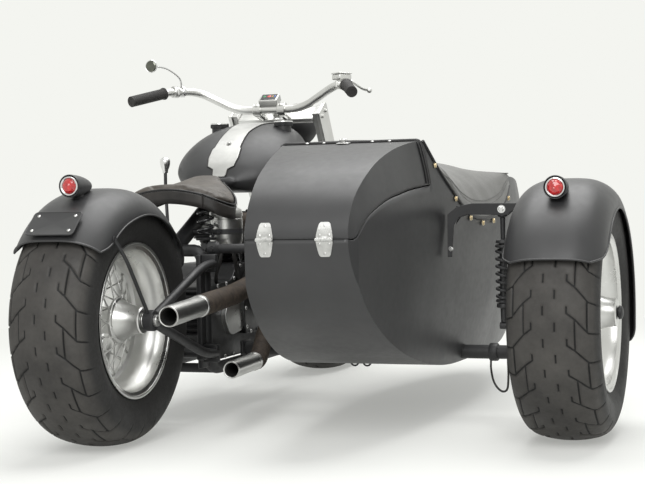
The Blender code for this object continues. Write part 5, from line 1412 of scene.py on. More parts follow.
def frame_foot(y):
    """The flanged foot of a cross tube, with the two bolts that hold it to the bike."""
    plate = block((0.01, 0.062, 0.072), (inner_tube_x + 0.0052, y, pivot_z - 0.01), 0.003)
    bolts = [cap_screw((inner_tube_x + 0.0102, y + dy, pivot_z - 0.038), (1, 0, 0), 0.006,
                       0.006) for dy in (-0.02, 0.02)]
    return [plate] + bolts[0] + bolts[1]


shapes = [tube([(inner_tube_x, pivot_y, pivot_z), (arm_x - 0.0103, pivot_y, pivot_z)], side_tube, sides=32),
          tube([(inner_tube_x, 1.02, pivot_z), (body_x + 0.119, 1.02, pivot_z)], side_tube, sides=32)]
for x in (body_x - 0.0993, body_x + 0.0993):
    shapes.append(tube([(x, 0.61, pivot_z), (x, 1.07, pivot_z)], side_tube - 0.002, sides=28))
for y in (pivot_y, 1.02):
    shapes += frame_foot(y)
for x in (arm_x - 0.12, arm_x - 0.04):
    shapes.append(turned([(0.0198, -0.012), (0.0245, -0.012), (0.026, -0.009), (0.026, 0.009),
                          (0.0245, 0.012), (0.0198, 0.012)], (x, pivot_y, pivot_z), (1, 0, 0), 40,
                         closed=True))
piece("sidecar_frame_tubes", shapes, "chassis", frame_black, ["side_frame"], sharp=30)
strut_end = body_x - float(half_width(0.42, 0.505)) + 0.004
shapes = [tube([(inner_tube_x, 0.42, 0.505), (strut_end, 0.42, 0.505)], 0.0138, sides=28),
          turned([(0, 0), (0.0218, 0), (0.0218, 0.024), (0.015, 0.032), (0, 0.032)],
                 (inner_tube_x, 0.42, 0.505), (1, 0, 0), 32)]
piece("upper_strut_tube", shapes + cap_screw((inner_tube_x + 0.016, 0.3985, 0.505), (0, -1, 0), 0.006,
                                             0.006), "chassis", frame_black, ["upper_strut"],
      sharp=30)
hoops = []
for x in (body_x - 0.09, body_x - 0.052):
    t = np.linspace(0, np.pi, 20)
    y = np.full(20, 0.6)
    hoops.append(tube(np.column_stack([x - 0.013 * np.cos(t), y, 0.166 - 0.015 * np.sin(t)]), 0.0026,
                      sides=10))
piece("tie_down_hoops", hoops, "chassis", frame_black)

# %% [markdown]
# The bike's frame is a double cradle: a backbone under the tank, a head tube, and two
# tubes that run down in front of the engine, under it and up to the seat post.

# %% Bike frame
rake = math.radians(32.0)
yoke_y, yoke_z = 1.33, 0.935
cradle_x, cradle_z, post_y = 0.11, 0.15, 0.42


def steer(x, ahead, up):
    """A place in the steering's own axes: across, ahead of its axis and up along it."""
    y = yoke_y + ahead * math.cos(rake) - up * math.sin(rake)
    z = yoke_z + ahead * math.sin(rake) + up * math.cos(rake)
    return np.array([x, y, z])


backbone = bent_line([steer(0, 0, -0.095), (0, 0.8, 0.675), (0, 0.6, 0.575), (0, post_y + 0.02, 0.5)], 0.1)
side_tube_line = bent_line([steer(0.012, 0, -0.11), (cradle_x * 0.4, 1.345, 0.76), (cradle_x, 1.31, 0.56),
                            (cradle_x, 1.23, cradle_z), (cradle_x, post_y, cradle_z), (cradle_x, post_y, 0.5),
                            (cradle_x * 0.3, post_y + 0.02, 0.5)], 0.09)
head_ends = np.array([steer(0, 0, -0.0115), steer(0, 0, -0.1785)])
shapes = [tube(backbone, 0.024, sides=28), tube(side_tube_line, 0.018, sides=24),
          other_side(tube(side_tube_line, 0.018, sides=24)), tube(head_ends, 0.03, sides=40),
          tube([(-cradle_x, post_y, 0.33), (cradle_x, post_y, 0.33)], 0.014, sides=20),
          tube([(-cradle_x, post_y + 0.06, cradle_z), (cradle_x, post_y + 0.06, cradle_z)], 0.014,
               sides=20)]
for way in (-1, 1):
    shapes.append(block((0.016, 0.05, 0.33), (way * cradle_x, post_y - 0.02, 0.325), 0.004))
    for z in (0.19, 0.46):
        shapes += cap_screw((way * (cradle_x + 0.008), post_y - 0.024, z), (way, 0, 0), 0.007, 0.007)
piece("cradle_frame", shapes, "chassis", frame_black, ["bike_frame"], sharp=32)

# %% [markdown]
# The rear fork is a V of two tubes on each side that meet in the axle's boss. The left
# side stands further out, because the belt's pulley sits inside it.

# %% Rear fork
boss_out = {"left": 0.158, "right": 0.14}
arm_spread, lug_y = 0.158, 0.3907


def fork_side(out):
    """One V of the rear fork on the right: boss, two tubes and their lugs at the frame."""
    boss = (out, 0.0, wheel_radius)
    shapes = [turned([(0.0131, -0.013), (0.026, -0.013), (0.028, -0.011), (0.028, 0.011), (0.026, 0.013),
                      (0.0131, 0.013)], boss, (1, 0, 0), 48, closed=True)]
    for knee_z, lug_z, radius in ((0.46, 0.465, 0.0122), (0.215, 0.205, 0.0134)):
        path = bent_line([(out, 0.021, wheel_radius + (knee_z - wheel_radius) * 0.07),
                          (arm_spread, 0.3, knee_z), (arm_spread - 0.006, lug_y, lug_z)], 0.05)
        shapes.append(tube(path, radius, sides=24))
        shapes.append(block((0.046, 0.022, 0.052), (0.14, lug_y, lug_z), 0.004))
    return shapes


shapes = fork_side(boss_out["right"]) + [other_side(s) for s in fork_side(boss_out["left"])]
tie_y = post_y - 0.018 - 0.0513
shapes.append(tube([(-0.142, tie_y, 0.205), (0.142, tie_y, 0.205)], 0.01, sides=20))
shapes += [block((0.024, 0.06, 0.03), (way * 0.1303, lug_y - 0.03, 0.205), 0.004) for way in (-1, 1)]
piece("rear_fork", shapes, "chassis", frame_black, ["swingarm"], sharp=32)

# %% [markdown]
# Two thin stays carry the rear fender from the axle's bosses, and each axle is a turned
# pin with a domed nut on each end and a spacer beside the hub.

# %% Fender stays and axles
stays = []
lean = math.radians(38)
for way, word in ((-1, "left"), (1, "right")):
    ends = [(way * 0.1285, 0.279), (way * boss_out[word], 0.215), (way * boss_out[word], 0.0275)]
    path = [(x, -r * math.sin(lean), wheel_radius + r * math.cos(lean)) for x, r in ends]
    stays.append(tube(bent_line(path, 0.03), 0.005, sides=16))
    stays.append(turned([(0, 0), (0.0085, 0), (0.0085, 0.003), (0, 0.003)],
                        (way * 0.129, path[0][1], path[0][2]), (way, 0, 0), 24))
piece("fender_stays", stays, "chassis", frame_black, sharp=32)


def axle_half(outer, inner):
    """Profile of one end: nut, pin through the carrier from outer to inner, spacer and pin in the hub."""
    return [(0.0, outer + 0.012), (0.006, outer + 0.012), (0.015, outer + 0.01), (0.0158, outer + 0.006),
            (0.0158, outer + 0.0006), (0.0124, outer + 0.0004), (0.0124, inner - 0.0006),
            (0.0195, inner - 0.0008), (0.02, inner - 0.002), (0.02, 0.1215), (0.0124, 0.1212)]


def axle_shape(place, left, right):
    """Both ends turned as one piece; left and right are the outer and inner face of what carries them."""
    profile = axle_half(*right) + [(r, -h) for r, h in reversed(axle_half(*left))]
    return turned(profile, place, (1, 0, 0), 48)


piece("rear_axle_pin", [axle_shape(wheel_places["rear"], (0.171, 0.145), (0.153, 0.127))], "chassis", steel,
      ["rear_axle"], sharp=30)
piece("front_axle_pin", [axle_shape(wheel_places["front"], (0.17, 0.14), (0.17, 0.14))], "steering", steel,
      ["front_axle"], sharp=30)

# %% [markdown]
# The toothed belt runs on the bike's left from the gearbox to the rear wheel's pulley. Its
# outer side is smooth; its teeth sit on the inner side, round both pulleys and between them.

# %% Drive belt
def belt_shape():
    """A closed band round two pulleys, its inner side waved by a cosine of the distance along it."""
    rear, front = np.array([0.0, wheel_radius]), np.array([0.57, 0.34])
    arcs = []
    for centre, radius, first, last, count in ((front, 0.0425, -88, 88, 40), (rear, 0.1025, 90, 270, 130)):
        a = np.radians(np.linspace(first, last, count))
        arcs.append(np.column_stack([centre[0] + radius * np.cos(a), centre[1] + radius * np.sin(a)]))
    loop = np.vstack([arcs[0], np.linspace(arcs[0][-1], arcs[1][0], 90)[1:-1], arcs[1],
                      np.linspace(arcs[1][-1], arcs[0][0], 90)[1:-1]])
    path = np.column_stack([np.full(len(loop), -0.1365), loop])
    along = unit(np.roll(path, -1, 0) - np.roll(path, 1, 0))
    out = np.column_stack([np.zeros(len(path)), along[:, 2], -along[:, 1]])
    run = distances(path)
    tooth = 0.0006 * np.cos(run * 2 * np.pi / 0.011)
    low, high = -0.001 + tooth[:, None], 0.0024
    across = np.array([1.0, 0, 0]) * 0.0068
    ring = np.stack([path + across + out * low, path + across + out * high, path - across + out * high,
                     path - across + out * low], 1)
    return skin(ring, wrap_rows=True, wrap_columns=True)


piece("toothed_belt", [belt_shape()], "chassis", rubber, ["drive_belt"], sharp=30)

# %% [markdown]
# Two exhausts leave the heads on the right and end in open, satin-polished mufflers; the
# rest of their length is wound in brown heat wrap. A wound stretch is a tube whose radius
# follows a saw-tooth that climbs one step a turn, so that the tape's edge is a real spiral.

# %% Exhausts
wrap_cloth = finish("heat_wrap", (0.034, 0.026, 0.02), (0.085, 0.066, 0.05), (0.74, 0.92), tone=60.0,
                    patch=60.0, grain=900.0, bump=0.55, depth=0.0008)
soot = finish("soot", (0.004, 0.004, 0.004), (0.016, 0.014, 0.012), (0.85, 0.95), tone=40.0, grain=500.0,
              bump=0.2)


def resampled(path, spacing):
    """The path with evenly spaced points, and the distance of each from the start."""
    run = distances(path)
    even = np.linspace(0, run[-1], max(int(run[-1] / spacing), 4))
    return np.column_stack([np.interp(even, run, path[:, k]) for k in range(3)]), even


def wound(path, radius, band=0.0105, tape=0.003, sides=44):
    """A tube whose radius grows by the tape's thickness along each band, shifted by the angle round it."""
    path, run = resampled(path, 0.0013)
    along = unit(np.gradient(path, axis=0))
    first = unit(np.cross((0.31, 0.2, 0.93), along))
    second = np.cross(along, first)
    angle = np.linspace(0, 2 * np.pi, sides, endpoint=False)
    saw = (run[:, None] / band + angle[None] / (2 * np.pi)) % 1.0
    r = radius + tape * np.where(saw < 0.86, (saw / 0.86) ** 1.5, (1 - saw) / 0.14)
    grid = path[:, None] + r[..., None] * (np.cos(angle)[None, :, None] * first[:,
            None] + np.sin(angle)[None, :, None] * second[:, None])
    return skin(grid, wrap_columns=True)


def muffler(path, radius):
    """Open end: outer skin, rounded lip and a bore, as one closed line carried along the pipe."""
    start, way = path[0], unit(path[1] - path[0])
    length = float(np.linalg.norm(path[1] - path[0]))
    profile = [(radius, length), (radius, 0.006), (radius - 0.0006, 0.0015), (radius - 0.0022, 0.0),
               (radius - 0.0044, 0.0006), (radius - 0.0058, 0.003), (radius - 0.0062, 0.008)]
    bore = [(radius - 0.0062, 0.008), (radius - 0.0064, 0.12), (0.0, 0.1205)]
    return turned(profile, start, way, 64), turned(bore, start, way, 48)


exhausts = {"upper": ([(0.215, -0.05, 0.348), (0.2, 0.42, 0.372), (0.19, 0.64, 0.4), (0.15, 0.762, 0.575),
                       (0.0668, 0.762, 0.575)], 0.0285, 0.45),
            "lower": ([(0.26, 0.25, 0.175), (0.25, 0.48, 0.178), (0.215, 0.64, 0.27), (0.2, 0.92, 0.3),
                       (0.17, 1.06, 0.48), (0.15, 0.958, 0.575), (0.0668, 0.958, 0.575)], 0.025, 0.8)}
for name, (points, radius, bright) in exhausts.items():
    points = np.array(points)
    split = points[0] + (points[1] - points[0]) * bright
    outside, bore = muffler(np.array([points[0], split]), radius)
    clamp_way = unit(split - points[0])
    band = turned([(radius - 0.002, -0.006), (radius + 0.0002, -0.006), (radius + 0.002, -0.0045),
                   (radius + 0.002, 0.0045), (radius + 0.0002, 0.006), (radius - 0.002, 0.006)], split,
                  clamp_way, 64, closed=True)
    wrapped = wound(bent_line(np.vstack([[split], points[1:]]), 0.08), radius - 0.001)
    piece(name + "_muffler", [outside, band], "chassis", polished, [name + "_pipe"])
    piece(name + "_bore", [bore], "chassis", soot)
    piece(name + "_heat_wrap", [wrapped], "chassis", wrap_cloth, sharp=50)

# %% [markdown]
# The tank is one smooth shell. Every cross section has a flat top, a quarter of an ellipse
# down to its widest line and a tighter curve under it; the four numbers of a section
# change along the bike on smooth curves, which a row of flat panels could not show.

# %% Fuel tank
tank_rows = np.array([(0.79, 0.69, 0.716, 0.06, 0.702), (0.82, 0.675, 0.765, 0.13, 0.715),
                      (0.88, 0.668, 0.822, 0.183, 0.735), (0.96, 0.672, 0.866, 0.2, 0.75),
                      (1.06, 0.69, 0.893, 0.196, 0.772), (1.15, 0.715, 0.9, 0.172, 0.795),
                      (1.215, 0.745, 0.893, 0.13, 0.812), (1.25, 0.785, 0.87, 0.07, 0.826)])
tank_line = smooth_line(tank_rows, 600)


def tank_numbers(y):
    """Bottom, top, half width and height of the widest line at places along the bike."""
    return [np.interp(y, tank_line[:, 0], tank_line[:, k]) for k in (1, 2, 3, 4)]


def tank_top(x, y):
    """Height of the tank's upper side: flat in the middle, then a quarter of an ellipse down."""
    _, top, half, wide = tank_numbers(y)
    flat = np.minimum(0.042, 0.6 * half)
    share = np.clip((np.abs(x) - flat) / (half - flat), 0, 0.9995)
    return wide + (top - wide) * np.sqrt(1 - share ** 2)


def tank_shape(rows=110):
    """Rings of points along the bike, shrunk on a quarter circle at both ends to round them."""
    turn = np.linspace(0, np.pi / 2, 7)[:-1]
    y = np.concatenate([0.79 - 0.01 * np.cos(turn), np.linspace(0.79, 1.25, rows),
                        1.25 + 0.008 * np.cos(turn[::-1])])
    size = np.concatenate([np.sin(turn), np.ones(rows), np.sin(turn[::-1])])[:, None]
    bottom, top, half, wide = (v[:, None] for v in tank_numbers(np.clip(y, 0.79, 1.25)))
    flat = np.minimum(0.042, 0.6 * half)
    a = np.linspace(0, np.pi / 2, 30)[None]
    q = np.linspace(0, 1, 22)[None, 1:]
    x = np.hstack([flat * np.linspace(0, 1, 6)[None, :-1], flat + (half - flat) * np.sin(a),
                   half * (1 - 0.45 * q ** 1.6), 0.55 * half * np.linspace(1, 0, 6)[None, 1:]])
    z = np.hstack([np.broadcast_to(top, (len(y), 5)), wide + (top - wide) * np.cos(a),
                   wide + (bottom - wide) * np.sin(q * np.pi / 2), np.broadcast_to(bottom, (len(y), 5))])
    middle = (top + bottom) / 2
    x, z = x * size, middle + (z - middle) * size
    x, z = np.hstack([x, -x[:, -2:0:-1]]), np.hstack([z, z[:, -2:0:-1]])
    return skin(np.stack([x, np.broadcast_to(y[:, None], x.shape), z], -1), wrap_columns=True)


piece("tank_shell", [tank_shape()], "chassis", satin, ["fuel_tank"], sharp=60)

# %% [markdown]
# A satin silver strip lies on the tank's spine, held by one bolt near the saddle. It takes
# its heights from the tank, so that it lies on it everywhere, and a rubber bead seals it.

# %% Dash strip
strip_half = np.array([(0.7905, 0.018), (0.794, 0.024), (0.804, 0.026), (0.81, 0.046), (0.832, 0.052),
                       (0.862, 0.05), (0.868, 0.045), (0.95, 0.04), (1.05, 0.046), (1.13, 0.06),
                       (1.18, 0.069), (1.19, 0.066), (1.196, 0.058)])
strip_y = np.sort(np.concatenate([0.7905 + 0.4055 * np.linspace(0, 1, 110) ** 1.6, strip_half[1:-1, 0]]))
strip_x = np.interp(strip_y, *strip_half.T)[:, None] * np.linspace(-1, 1, 31)[None]
strip_grid = np.stack([strip_x, np.broadcast_to(strip_y[:, None], strip_x.shape),
                       tank_top(strip_x, strip_y[:, None]) + 0.0034], -1)
strip_silver = finish("satin_silver_strip", (0.4, 0.4, 0.39), (0.5, 0.5, 0.485), (0.38, 0.5), metallic=0.85,
                      tone=10.0, patch=16.0, grain=300.0, bump=0.06, stretch=(1, 7, 1))
piece("tank_strip", [skin(strip_grid)], "chassis", strip_silver, ["tank_dash"], wall=0.003, sharp=50)
edges = []
for column in (0, -1):
    edges.append(tube(strip_grid[4:-3, column] - (0, 0, 0.0022), 0.0024, sides=8))
piece("tank_strip_edging", edges, "chassis", rubber, sharp=60)
piece("tank_strip_bolt", cap_screw((0, 0.882, float(tank_top(0.0, 0.882)) + 0.0034), (0, -0.35, 0.94),
                                   0.006, 0.005), "chassis", steel, sharp=30)

# %% [markdown]
# Each fuel cap is a chrome disc on a black ring. The ring is knurled for the hand, which a
# radius that a clipped cosine cuts forty times round shows as real notches.

# %% Fuel caps
def knurled(place, profile, teeth=40, steps=320):
    """A turned profile whose third column says how deep its radius is cut by a wave round the axis."""
    profile = np.asarray(profile, float)
    angle = np.linspace(0, 2 * np.pi, steps, endpoint=False)
    wave = np.clip(np.cos(teeth * angle) * 2.0, -1, 1) * 0.5 + 0.5
    r = profile[:, :1] - profile[:, 2:] * wave[None]
    grid = np.stack([place[0] + r * np.cos(angle), place[1] + r * np.sin(angle),
                     np.broadcast_to(place[2] + profile[:, 1:2], r.shape)], -1)
    return skin(grid, wrap_columns=True)


for way, word in ((-1, "left"), (1, "right")):
    cap_place = (way * 0.115, 1.075, 0.0)
    rim = knurled(cap_place, [(0.0285, 0.8985, 0), (0.0302, 0.8985, 0.0), (0.0312, 0.8975, 0.0016),
                              (0.0312, 0.8885, 0.0016), (0.03, 0.8872, 0), (0.0262, 0.8868, 0),
                              (0.0262, 0.85, 0)])
    top = turned([(0, 0.9038), (0.012, 0.9038), (0.013, 0.903), (0.021, 0.903), (0.022, 0.9039),
                  (0.029, 0.9039), (0.031, 0.903), (0.032, 0.901), (0.0318, 0.8992), (0.03, 0.8984),
                  (0, 0.8984)], cap_place, (0, 0, 1), 64)
    piece("cap_top_" + word, [top], "chassis", chrome, ["fuel_cap_" + word])
    piece("cap_rim_" + word, [rim], "chassis", frame_black, sharp=30)

# %% [markdown]
# The saddle is leather over foam on a steel pan. Its base form is a ring of points that
# follows the pan and rises to a soft crown, dished where the rider sits, and its sides
# hang down a little over the pan.

# %% Form of the saddle
seat_rows = np.array([(0.415, 0.11, 0.672, 0.694), (0.44, 0.152, 0.662, 0.698), (0.5, 0.172, 0.655, 0.694),
                      (0.57, 0.15, 0.656, 0.692), (0.64, 0.105, 0.664, 0.706), (0.7, 0.062, 0.676, 0.722),
                      (0.745, 0.036, 0.688, 0.722)])
seat_line = smooth_line(seat_rows, 400)


def seat_numbers(y):
    """Half width, underside and crown at places along the saddle."""
    return [np.interp(y, seat_line[:, 0], seat_line[:, k]) for k in (1, 2, 3)]


def droop(x, y):
    """How far the saddle's sides hang below its middle: a square law across, less towards the nose."""
    return np.interp(y, (0.4, 0.52, 0.66, 0.75), (0.036, 0.034, 0.01, 0.0)) * (x / 0.165) ** 2


def seat_shape(rows=90, around=84, shrink=0.004):
    """Rings whose lower half is flat and whose upper half is a raised arch, dished where the rider sits."""
    turn = np.linspace(0, np.pi / 2, 8)[:-1]
    y = np.concatenate([0.415 + shrink - 0.014 * np.cos(turn),
                        np.linspace(0.415 + shrink, 0.745 - shrink, rows),
                        0.745 - shrink + 0.012 * np.cos(turn[::-1])])
    size = np.concatenate([np.sin(turn), np.ones(rows), np.sin(turn[::-1])])[:, None]
    half, low, crown = (v[:, None] for v in seat_numbers(np.clip(y, 0.415, 0.745)))
    a = np.linspace(0, 2 * np.pi, around, endpoint=False)[None]
    across = np.sign(np.cos(a)) * np.abs(np.cos(a)) ** 0.75
    up = np.where(np.sin(a) > 0, np.abs(np.sin(a)) ** 0.6, -np.abs(np.sin(a)) ** 0.45)
    middle = low + 0.4 * (crown - low)
    dish = 0.01 * np.exp(-((y[:, None] - 0.505) / 0.075) ** 2) * np.clip(1 - (across / 0.62) ** 2, 0,
            1) * (up > 0)
    x = (half - shrink) * size * across
    z = middle + np.where(up > 0, crown - shrink - middle, middle - low) * size * up - dish
    y = np.broadcast_to(y[:, None], x.shape)
    return skin(np.stack([x, y, z - droop(x, y)], -1), wrap_columns=True)


print("saddle rings", seat_line.shape)

# %% [markdown]
# Foam pushes a hide out between its edges. A Cloth simulation with a little pressure does
# the same: it swells the form, no point may move far, and whatever sinks below the pan's
# line is lifted back on it, so that the pad rests on its pan.

# %% Filling the pad
def filled(thing, most=0.007, voxel=0.005, frames=20):
    """Swells a closed mesh as cloth under pressure; no point may move further than most."""
    work = bpy.data.objects.new("pad_work", thing.data.copy())
    bpy.context.scene.collection.objects.link(work)
    remesh = work.modifiers.new("voxels", "REMESH")
    remesh.mode, remesh.voxel_size = "VOXEL", voxel
    bpy.context.view_layer.update()
    start = bpy.data.meshes.new_from_object(work.evaluated_get(bpy.context.evaluated_depsgraph_get()))
    work.modifiers.clear()
    work.data = start
    cloth = work.modifiers.new("cloth", "CLOTH")
    cloth.settings.use_pressure, cloth.settings.uniform_pressure_force = True, 4.0
    cloth.settings.effector_weights.gravity = 0.0
    cloth.point_cache.frame_start, cloth.point_cache.frame_end = 1, frames
    before = np.empty(len(start.vertices) * 3)
    start.vertices.foreach_get("co", before)
    for moment in range(1, frames + 1):
        bpy.context.scene.frame_set(moment)
    after = np.empty_like(before)
    swollen = work.evaluated_get(bpy.context.evaluated_depsgraph_get()).to_mesh()
    swollen.vertices.foreach_get("co", after)
    before, after = before.reshape(-1, 3), after.reshape(-1, 3)
    step = after - before
    length = np.linalg.norm(step, axis=1, keepdims=True)
    step *= np.minimum(1, most / np.maximum(length, 1e-9))
    work.modifiers.clear()
    finished = start.copy()
    finished.vertices.foreach_set("co", (before + step).ravel())
    finished.materials.clear()
    finished.materials.append(thing.data.materials[0])
    finished.shade_smooth()
    old = thing.data
    thing.data = finished
    bpy.data.objects.remove(work)
    bpy.data.meshes.remove(old)
    bpy.context.scene.frame_set(1)
    print(thing.name, "filled: moved up to", round(float(np.linalg.norm(step, axis=1).max()) * 1000, 1), "mm")


seat = piece("saddle_leather", [seat_shape()], "chassis", brown_leather, ["saddle"],
             sharp=80)
filled(seat)
spots = np.empty(len(seat.data.vertices) * 3)
seat.data.vertices.foreach_get("co", spots)
spots = spots.reshape(-1, 3)
floor_z = np.interp(spots[:, 1] - home[1], seat_line[:, 0],
                    seat_line[:, 2]) + 0.0004 - droop(spots[:, 0] - home[0], spots[:, 1] - home[1])
spots[:, 2] = np.maximum(spots[:, 2], floor_z)
seat.data.vertices.foreach_set("co", spots.ravel())
smoother = seat.modifiers.new("smooth", "SUBSURF")
smoother.levels = smoother.render_levels = 1

# %% [markdown]
# The hide's two panels meet in a piping, and a skirt of the same leather hangs from it
# over the pan. Its stitches are single short threads, because that is how they look from
# a hand's breadth away.

# %% Piping, skirt and stitches
def seat_edge(share, count=150, inset=0.0):
    """The saddle's outline in plan, from the nose's right round the back to its left."""
    y = 0.75 - 0.335 * np.sin(np.linspace(0, np.pi / 2, count // 2))
    half, low, crown = seat_numbers(np.clip(y, 0.416, 0.744))
    half = half - inset
    z = low + share * (crown - low)
    right = np.column_stack([half, y, z])
    back_half = half[-1]
    t = np.linspace(0, np.pi, 16)[1:-1]
    back = np.column_stack([back_half * np.cos(t), y[-1] - 0.012 * np.sin(t), np.full(14, z[-1])])
    edge = np.vstack([right, back, (right * (-1, 1, 1))[::-1]])
    edge[:, 2] -= droop(edge[:, 0], edge[:, 1])
    return edge


piece("saddle_piping", [tube(seat_edge(0.34), 0.0032, sides=10)], "chassis", black_piping,
      sharp=70)
upper, lower = seat_edge(0.3, inset=0.001), seat_edge(0.0, inset=-0.001)
drop = np.interp(lower[:, 1], (0.4, 0.62, 0.75), (0.034, 0.02, 0.008))[:, None] * (0, 0, 1)
skirt_rows = np.stack([upper, lower, lower - drop * 0.5 + (0, 0, -0.001), lower - drop])
dark_leather = finish("dark_leather", (0.012, 0.011, 0.01), (0.034, 0.03, 0.027), (0.42, 0.6), tone=16.0,
                      grain=330.0, bump=0.4, cells=0.7)
piece("saddle_skirt", [skin(skirt_rows)], "chassis", dark_leather, wall=0.002, sharp=70)
seams = []
line = seat_edge(0.17, count=420, inset=-0.0034)
run = distances(line)
for start in np.arange(0.02, run[-1] - 0.02, 0.007):
    ends = np.column_stack([np.interp((start, start + 0.0046), run, line[:, k]) for k in range(3)])
    seams.append(tube(ends, 0.0008, sides=5))
piece("saddle_stitches", seams, "chassis", stitch_thread)

# %% [markdown]
# Under the leather are a steel plate that follows its curve, a coil spring on each side
# between two cups, and the nose's pivot.

# %% Seat plate and springs
def coil(x, y, low, high, radius=0.022, turns=3.5, wire_radius=0.0042):
    """A helix (radius cos a, radius sin a, height rising evenly with a)."""
    a = np.linspace(0, 2 * np.pi * turns, int(turns * 30))
    return tube(np.column_stack([x + radius * np.cos(a), y + radius * np.sin(a),
                                 np.linspace(low, high, len(a))]), wire_radius, sides=10)


pan_y = np.linspace(0.425, 0.735, 40)
pan_half, pan_low, _ = seat_numbers(pan_y)
pan_grid = np.stack([(pan_half - 0.006)[:, None] * np.linspace(-1, 1, 21),
                     np.broadcast_to(pan_y[:, None], (40, 21)),
                     np.broadcast_to((pan_low - 0.0006)[:, None], (40, 21))], -1)
pan_grid[..., 2] -= droop(pan_grid[..., 0], pan_grid[..., 1])
piece("saddle_plate", [skin(pan_grid)], "chassis", frame_black, ["saddle_pan"], wall=0.004,
      sharp=50)
spring_black = finish("black_spring_wire", (0.016, 0.016, 0.017), (0.04, 0.04, 0.042), (0.18, 0.3),
                      tone=20.0, coat=0.4, bump=0.02)
springs, seats = [], []
cup = [(0, 0), (0.029, 0), (0.03, 0.002), (0.03, 0.006), (0.02, 0.008), (0, 0.008)]
for x in (-0.095, 0.095):
    springs.append(coil(x, 0.47, 0.541, 0.631))
    seats += [turned(cup, (x, 0.47, z), (0, 0, 1), 40) for z in (0.529, 0.632)]
    seats.append(tube([(x, 0.47, 0.505), (x, 0.47, 0.533)], 0.01, sides=20))
    seats.append(tube([(x, 0.47, 0.512), (x * 0.108 / 0.095, 0.425, 0.512)], 0.009, sides=16))
seats.append(tube([(0, 0.7, 0.672), (0, 0.7, 0.63)], 0.0085, sides=20))
piece("saddle_springs", springs, "chassis", spring_black, sharp=60)
piece("saddle_spring_seats", seats, "chassis", frame_black, sharp=30)

# %% [markdown]
# The fork is two polished leg plates on cast backings, tied by two yokes that are bolted
# through them. Its outlines are drawn in the steering's own axes and then turned into
# place, so that the whole fork leans back by the rake.

# %% Fork
def leg_outline(shrink=0.0):
    """The leg's side view in the steering's axes, drawn in by a margin towards its middle line."""
    corners = np.array([(-0.044, 0.03), (0.044, 0.03), (0.04, -0.3), (0.0607, -0.678), (0.0527, -0.763),
                        (0.0047, -0.763), (-0.0033, -0.678), (-0.04, -0.3)])
    middle = np.interp(corners[:, 1], (-0.763, -0.678, -0.3, 0.03), (0.0287, 0.0287, 0.0, 0.0))
    ahead = middle + (corners[:, 0] - middle) * (1 - shrink / 0.035)
    up = corners[:, 1] - np.sign(corners[:, 1] + 0.36) * shrink
    spots = bent_line(np.vstack([np.column_stack([ahead, up]), (ahead[0], up[0])]).tolist(), 0.016,
                      per_corner=5)
    return np.array([steer(0, a, u)[1:] for a, u in spots[:-1]])


legs, panels = [], []
for way in (-1, 1):
    legs.append(slab(leg_outline(), *sorted((way * 0.158, way * 0.17))))
    panels.append(slab(leg_outline(0.006), *sorted((way * 0.14, way * 0.1585))))
for up in (0.0, -0.19):
    legs.append(block((0.282, 0.08, 0.02), steer(0, 0, up), 0.005, (rake, 0, 0)))
for way in (-1, 1):
    for ahead, up in ((-0.02, 0.004), (0.02, 0.004), (-0.02, -0.186), (0.02, -0.186), (0.012, -0.33)):
        legs += cap_screw(steer(way * 0.17, ahead, up), (way, 0, 0), 0.0062, 0.006)
stem = [steer(0, 0, 0.026), steer(0, 0, -0.214)]
legs.append(tube(stem, 0.016, sides=32))
legs.append(turned([(0, 0), (0.021, 0), (0.021, 0.006), (0.017, 0.01), (0.01, 0.011), (0.0095, 0.008),
                    (0, 0.008)], steer(0, 0, 0.009), steer(0, 0, 1) - steer(0, 0, 0), 6))
piece("fork_legs", legs, "steering", polished, ["fork"], bevel=0.0012, sharp=30)
piece("fork_backing", panels, "steering", cast, bevel=0.001, sharp=30)

# %% [markdown]
# The bar is one bent tube on two risers, swept back to rubber grips. A grip's ribs are in
# its turned profile, and clamps and screws are modelled, because they are what the eye
# looks for up close.

# %% Handlebar and grips
bar_half = [(0.33, 1.1, 1.015), (0.32, 1.1213, 1.0203), (0.253, 1.21, 1.025), (0.121, 1.25, 0.955)]
bar_path = bent_line(bar_half + [(-x, y, z) for x, y, z in bar_half[::-1]], 0.045, 12)
shapes = [tube(bar_path, 0.014, sides=28)]
for way in (-1, 1):
    top = np.array([way * 0.045, 1.25, 0.955])
    shapes.append(tube([steer(way * 0.045, -0.024, 0.01), top - (0, 0, 0.012)], 0.0155, sides=28))
    shapes.append(turned([(0.0134, -0.014), (0.021, -0.014), (0.0225, -0.012), (0.0225, 0.012),
                          (0.021, 0.014), (0.0134, 0.014)], top, (1, 0, 0), 40, closed=True))
    for dy in (-0.017, 0.017):
        shapes += cap_screw(top + (0, dy, 0.012), (0, 0, 1), 0.0042, 0.006)
piece("swept_bar", shapes, "steering", polished, ["handlebar"], sharp=32)


def along_grip(share):
    """A place on the right grip's axis, from its inner end (0) to its outer end (1)."""
    return np.array([0.33, 1.1, 1.015]) * (1 - share) + np.array([0.392, 0.968, 0.982]) * share


def grip_shape(ribs=17):
    """A turned sleeve whose radius is a row of rounded ribs between an inner flange and a flat cap."""
    start, end = along_grip(0.0), along_grip(1.0)
    length = float(np.linalg.norm(end - start))
    h = np.linspace(0.01, length - 0.008, ribs * 12)
    r = 0.0172 + 0.0013 * np.abs(np.sin(np.pi * ribs * (h - h[0]) / (h[-1] - h[0]))) ** 0.6
    profile = [(0, 0), (0.0205, 0), (0.0212, 0.002), (0.0205, 0.006), (0.0175, 0.009)] + list(zip(r, h))
    profile += [(0.0184, length - 0.006), (0.0184, length - 0.0015), (0.017, length), (0.009, length),
                (0.0085, length - 0.001), (0, length - 0.001)]
    return turned(profile, start, end - start, 48)


